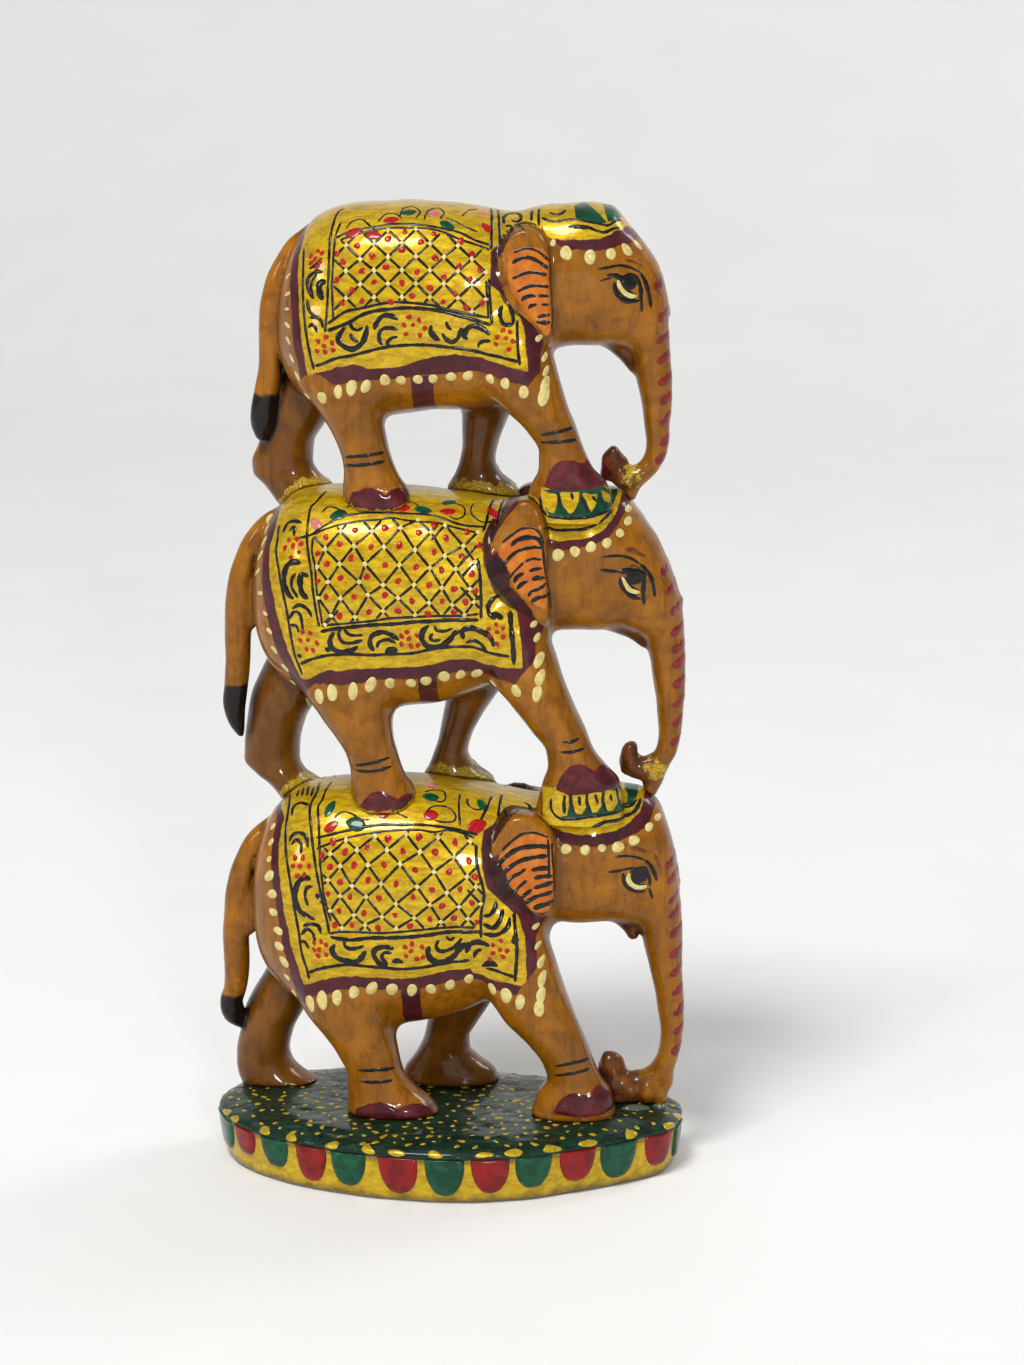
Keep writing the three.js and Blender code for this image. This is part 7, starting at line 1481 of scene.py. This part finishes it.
def build_plinth(mat):
    loop, _ = plinth_loop(1.5)
    v = 0.5
    xs, ys, zs = np.arange(-52.5, 52.0, v), np.arange(-34.0, 24.0, v), np.arange(-0.5 - v, 14.6, v)
    X, Y = np.meshgrid(xs, ys, indexing="ij")
    flat = polygon_sdf(loop, X, Y)
    Z = zs[None, None, :]
    side = flat[:, :, None] + inset(zs)[None, None, :]
    top = PLINTH_RIM - 0.1 + (PLINTH_TOP - PLINTH_RIM + 0.1) * np.clip((-flat - 0.6) / 5.6, 0, 1) ** 0.8
    # the top was worked over with a gouge: short shallow dents
    rs = np.random.RandomState(4)
    dents = np.zeros_like(top)
    for _ in range(900):
        cx, cy = rs.uniform(-50, 50), rs.uniform(-32, 22)
        ln, wd, an, dp = rs.uniform(1.0, 2.2), rs.uniform(0.5, 0.9), rs.normal(0.15, 0.4), rs.uniform(0.05, 0.16)
        i0, i1 = np.searchsorted(xs, cx - 4), np.searchsorted(xs, cx + 4)
        j0, j1 = np.searchsorted(ys, cy - 4), np.searchsorted(ys, cy + 4)
        gx, gy = X[i0:i1, j0:j1] - cx, Y[i0:i1, j0:j1] - cy
        u, w_ = gx * math.cos(an) + gy * math.sin(an), -gx * math.sin(an) + gy * math.cos(an)
        dents[i0:i1, j0:j1] += dp * np.exp(-(u / ln) ** 2 - (w_ / wd) ** 2)
    top = top - np.minimum(dents, 0.3)
    d = smax(side, Z - top[:, :, None], 2.0)
    d = d + waves(X[:, :, None], Y[:, :, None], Z, 0.10, 11, 8, 31)
    d = np.maximum(d, -Z + 0.0)
    d = peg_hole(d, X[:, :, None], Y[:, :, None], Z, DOWELS["lower"])
    p, faces = contour(d, (xs[0], ys[0], zs[0]), v)
    x, y, z = p.T
    fl = polygon_sdf(loop, x, y)
    top_a = 9.7 - z
    # painted shade: a band under the rolled lip and a ring round the lowest elephant's feet
    lip_and_feet_shade = np.clip(1 - np.abs(z - 9.2) / 1.0, 0, 1)
    near = np.full(len(p), 9.0)
    for ys_, rows in E["lower"]["legs"]:
        r = np.array(rows)[-2]
        q = (np.sqrt(((x - (r[1] + r[2]) / 2) / ((r[2] - r[1]) / 2)) ** 2 + ((y - ys_[-2]) / r[3]) ** 2) - 1) * r[3]
        near = np.minimum(near, np.maximum(q, 0))
    lip_and_feet_shade = np.maximum(lip_and_feet_shade, np.where(z > 11, 0.7 * np.clip(1 - near / 2.0, 0, 1), 0))
    ob = mesh_object("plinth_carving", p, faces, mat, attrs=dict(top=top_a, lip_and_feet_shade=lip_and_feet_shade))
    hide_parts("base_plinth")
    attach(ob, "root")
    tree = BVHTree.FromPolygons([Vector(v_) for v_ in p.tolist()], faces)
    return ob, tree


def dress_plinth(tree, M):
    loop, s = plinth_loop(0.5)
    total = s[-1]
    nx = len(loop)
    P2 = np.vstack([loop, loop[:1]])

    def at(u):
        u = u % total
        return np.array([np.interp(u, s, P2[:, 0]), np.interp(u, s, P2[:, 1])])

    def frame_at(u):
        a, b = at(u - 0.4), at(u + 0.4)
        t = (b - a) / np.linalg.norm(b - a)
        nrm = np.array([t[1], -t[0]])
        c = loop.mean(axis=0)
        if np.dot(nrm, at(u) - c) < 0:
            nrm = -nrm
        return at(u), t, nrm

    green, red, gold, glue = Paint(tree), Paint(tree), Paint(tree), Paint(tree)
    # position along the rim of each traced scallop edge, by x on the near side
    near = [(u, at(u)) for u in np.arange(0, total, 0.25)]

    def u_of(x):
        best = min((q for q in near if q[1][1] < -1.0), key=lambda q: abs(q[1][0] - x))
        return best[0]

    marks = []
    for kind, x0, x1, zb in SCALLOPS:
        a, b = u_of(x0), u_of(x1)
        marks.append((kind, (a + b) / 2, abs(b - a) / 2, zb))
    # carry the row on round the far side
    us = sorted((c - h, c + h) for _, c, h, _ in marks)
    order = sorted(marks, key=lambda q: q[1])
    end, start = order[-1][1] + order[-1][2], order[0][1] - order[0][2]
    gap = (start + total - end) % total
    count = int(gap / 8.4)
    rs = np.random.RandomState(9)
    kind = "green" if order[-1][0] == "red" else "red"
    for i in range(count):
        c = end + (i + 0.5) * gap / count
        marks.append((kind, c, gap / count / 2 * rs.uniform(0.68, 0.85), rs.uniform(1.2, 2.4)))
        kind = "green" if kind == "red" else "red"
    for kind, c, h, zb in marks:
        who = green if kind == "green" else red
        nu, nv = 17, 12
        grid = []
        lean = rs.uniform(-0.25, 0.25)
        for j in range(nv):
            tj = j / (nv - 1)
            row = []
            # width of the U at this depth
            wd = h * (1 - tj ** 2.6) ** 0.5 if tj < 1 else 0.0
            wd = max(wd, 0.06 * h)
            z = 9.75 - tj * (9.75 - zb)
            for i in range(nu):
                ti = -1 + 2 * i / (nu - 1)
                u = c + ti * wd + lean * tj
                q, _, nrm = frame_at(u)
                r2 = min(1.0, ti * ti)
                lift = 0.75 * (1 - r2 ** 2) ** 0.6 * (0.55 + 0.45 * (1 - (2 * tj - 1) ** 4)) if abs(ti) < 0.999 and tj < 0.999 else -0.10
                pos = q + nrm * (-inset(z) + lift)
                row.append(np.array([pos[0], pos[1], z]))
            grid.append(row)
        base = len(who.v)
        back = []
        for j in range(nv):
            who.v.extend(grid[j])
        off = nu * nv
        for j in range(nv):
            for i in range(nu):
                ti = -1 + 2 * i / (nu - 1)
                g = grid[j][i]
                tj = j / (nv - 1)
                q, _, nrm = frame_at(c + ti * max(h * (1 - tj ** 2.6) ** 0.5 if tj < 1 else 0, 0.06 * h) + lean * tj)
                pos = q + nrm * (-inset(g[2]) - 0.22)
                who.v.append(np.array([pos[0], pos[1], g[2]]))
        idx = lambda j, i, k: base + k * off + j * nu + i
        for j in range(nv - 1):
            for i in range(nu - 1):
                who.f.append((idx(j, i, 0), idx(j + 1, i, 0), idx(j + 1, i + 1, 0), idx(j, i + 1, 0)))
                who.f.append((idx(j, i, 1), idx(j, i + 1, 1), idx(j + 1, i + 1, 1), idx(j + 1, i, 1)))
        for i in range(nu - 1):
            who.f.append((idx(0, i, 0), idx(0, i + 1, 0), idx(0, i + 1, 1), idx(0, i, 1)))
            who.f.append((idx(nv - 1, i + 1, 0), idx(nv - 1, i, 0), idx(nv - 1, i, 1), idx(nv - 1, i + 1, 1)))
        for j in range(nv - 1):
            who.f.append((idx(j + 1, 0, 0), idx(j, 0, 0), idx(j, 0, 1), idx(j + 1, 0, 1)))
            who.f.append((idx(j, nu - 1, 0), idx(j + 1, nu - 1, 0), idx(j + 1, nu - 1, 1), idx(j, nu - 1, 1)))

    # gold dabs on the lip
    for k in range(30):
        u = (k + rs.uniform(-0.3, 0.3)) * total / 30

        def place(du, dv, u=u):
            q, t, nrm = frame_at(u + du)
            h = gold.cast((q[0] + nrm[0] * 12, q[1] + nrm[1] * 12, 10.9 + dv), (-nrm[0], -nrm[1], 0))
            return h
        gold.blob(place, rs.uniform(1.3, 2.2), rs.uniform(0.5, 0.75), rs.uniform(-0.2, 0.2), 0.14, 0.12, 14)
    # gold spots over the top
    spots = []
    for _ in range(6000):
        x, y = rs.uniform(-49, 48), rs.uniform(-31, 21)
        inn = -float(polygon_sdf(PLINTH, np.array([x]), np.array([y]))[0])
        if inn < 1.2 or any((x - a) ** 2 + (y - b) ** 2 < (2.0 + 1.1 * math.sin(0.35 * x + 0.5 * y) ** 2) ** 2 for a, b in spots):
            continue
        spots.append((x, y))
        if len(spots) >= 600:
            break
    for x, y in spots:
        r = 0.28 + 0.36 * rs.rand() ** 1.6
        gold.blob(lambda du, dv, x=x, y=y: gold.cast((x + du, y + dv, 40), (0, 0, -1)), r * rs.uniform(1.0, 1.7), r, rs.normal(0.1, 0.5), 0.14, 0.2, 9)
    # clear glue where the trunk tip meets the plinth
    for gx, gy, ra, rb in ((39.6, -5.2, 2.8, 1.6), (44.6, -3.2, 1.5, 1.1)):
        glue.blob(lambda du, dv: glue.cast((gx + du, gy + dv, 16.0), (0, 0, -1)), ra, rb, 0.3, 0.85, 0.12, 16)
    out = [green.make("plinth_green_scallops", M["green"]), red.make("plinth_red_scallops", M["scarlet"]), gold.make("plinth_gold_spots", M["gold"]),
           glue.make("glue_bead", M["glue"])]
    return out


# ------------------------------------------------------------------ build
M = {
    "black": enamel("black_enamel", col(13, 12, 13), col(26, 28, 26), 3.0, 0.30, dark=col(40, 38, 34)),
    "cream": enamel("cream_enamel", col(214, 200, 132), col(192, 172, 100), 1.2, 0.36, dark=col(150, 128, 70)),
    "red": enamel("red_enamel", col(176, 24, 22), col(140, 14, 18), 0.9, 0.30, dark=col(90, 8, 12)),
    "scarlet": enamel("scarlet_scallop_enamel", col(140, 18, 20), col(100, 12, 18), 4.0, 0.28, dark=col(84, 12, 14)),
    "green": enamel("green_enamel", col(5, 58, 38), col(12, 82, 54), 2.6, 0.28, dark=col(4, 34, 26)),
    "pink": enamel("pink_enamel", col(196, 120, 110), col(172, 92, 88), 1.2, 0.36),
    "rust": enamel("rust_stain", col(92, 44, 14), col(118, 62, 20), 1.0, 0.4),
    "maroon": enamel("maroon_enamel", col(132, 34, 26), col(104, 26, 28), 1.6, 0.32),
    "gold": enamel("gold_spot_paint", col(196, 168, 40), col(168, 138, 24), 1.0, 0.34, metal=0.35, dark=col(110, 84, 10)),
}
g = Nodes("clear_glue")
gn = g.noise(1.2, 3.0, 0.5)
g.link(g.mix(gn, col(214, 214, 196), col(190, 188, 160)), g.bsdf.inputs["Base Color"])
g.link(g.span(gn, 0.3, 0.7, 0.05, 0.16), g.bsdf.inputs["Roughness"])
g.bsdf.inputs["Transmission Weight"].default_value = 0.85
g.bsdf.inputs["IOR"].default_value = 1.45
g.bump(gn, 0.3, 0.2)
M["glue"] = g.mat

ELEPHANT = elephant_material("painted_lacquered_wood")
SHAPES = {key: build_elephant(key, ELEPHANT) for key in ORDER}
for key in ORDER:
    own = tree_of(SHAPES[key])
    decorate(key, own, tree_of(SHAPES[key], SHAPES[ABOVE[key]]) if ABOVE[key] else own, M)
plinth, ptree = build_plinth(plinth_material())
dress_plinth(ptree, M)
dowel_mat = dowel_material()
for nm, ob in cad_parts.items():
    if "dowel" in nm:
        ob.data.materials.clear()
        ob.data.materials.append(dowel_mat)

# ------------------------------------------------------------------ floor, light, camera
fn = Nodes("pale_floor")
fnz = fn.noise(60.0, 2.0, 0.5)
fn.link(fn.mix(fnz, (0.84, 0.84, 0.83, 1), (0.88, 0.88, 0.87, 1)), fn.bsdf.inputs["Base Color"])
fn.link(fn.span(fnz, 0.3, 0.7, 0.75, 0.85), fn.bsdf.inputs["Roughness"])
n_a, n_b = 48, 3.0
fv, ff = [], []
prof = [(-3.0, 0.0), (1.2, 0.0)] + [(1.2 + 1.0 * math.sin(t), 1.0 - 1.0 * math.cos(t)) for t in np.linspace(0.1, math.pi / 2, 14)] + [(2.2, 4.0)]
for yy, zz in prof:
    fv += [(-4.0, yy, zz - 0.0002), (4.0, yy, zz - 0.0002)]
for i in range(len(prof) - 1):
    ff.append((2 * i, 2 * i + 1, 2 * i + 3, 2 * i + 2))
fme = bpy.data.meshes.new("studio_floor")
fme.from_pydata(fv, [], ff)
fme.update()
fme.polygons.foreach_set("use_smooth", [True] * len(fme.polygons))
fme.materials.append(fn.mat)
floor = bpy.data.objects.new("studio_floor", fme)
bpy.context.scene.collection.objects.link(floor)

world = bpy.data.worlds.new("studio")
bpy.context.scene.world = world
world.use_nodes = True
bg = world.node_tree.nodes["Background"]
bg.inputs[0].default_value = (1.0, 1.0, 1.0, 1)
bg.inputs[1].default_value = 0.34


def area(name, loc, aim, size, power, size_y=None, tint=(1, 1, 1)):
    li = bpy.data.lights.new(name, "AREA")
    li.energy, li.size, li.color = power, size, tint
    if size_y:
        li.shape, li.size_y = "RECTANGLE", size_y
    ob = bpy.data.objects.new(name, li)
    bpy.context.scene.collection.objects.link(ob)
    ob.location = loc
    ob.rotation_euler = (Vector(aim) - Vector(loc)).to_track_quat("-Z", "Y").to_euler()
    return ob


area("key", (-0.55, -1.35, 2.45), (0, 0, 0.10), 0.75, 50.0)
area("front", (0.75, -2.5, 0.75), (0, 0, 0.10), 0.30, 19.0)
area("left", (-1.9, -1.7, 0.9), (0, 0, 0.10), 0.45, 10.0)
area("rim", (1.5, 1.3, 1.5), (0, 0, 0.1), 0.6, 10.0)

cam = bpy.data.cameras.new("camera")
cam.sensor_fit, cam.sensor_height, cam.sensor_width = "VERTICAL", 36.0, 27.0
cam.lens = 79.91
cam.clip_start, cam.clip_end = 0.01, 20.0
co = bpy.data.objects.new("camera", cam)
bpy.context.scene.collection.objects.link(co)
co.location = (0.056599, -0.613440, 0.2292)
co.rotation_euler = (Vector((0.01335, 0.00505, 0.1035)) - co.location).to_track_quat("-Z", "Y").to_euler()
bpy.context.scene.camera = co
bpy.context.scene.view_settings.view_transform = "Standard"

bpy.context.view_layer.update()
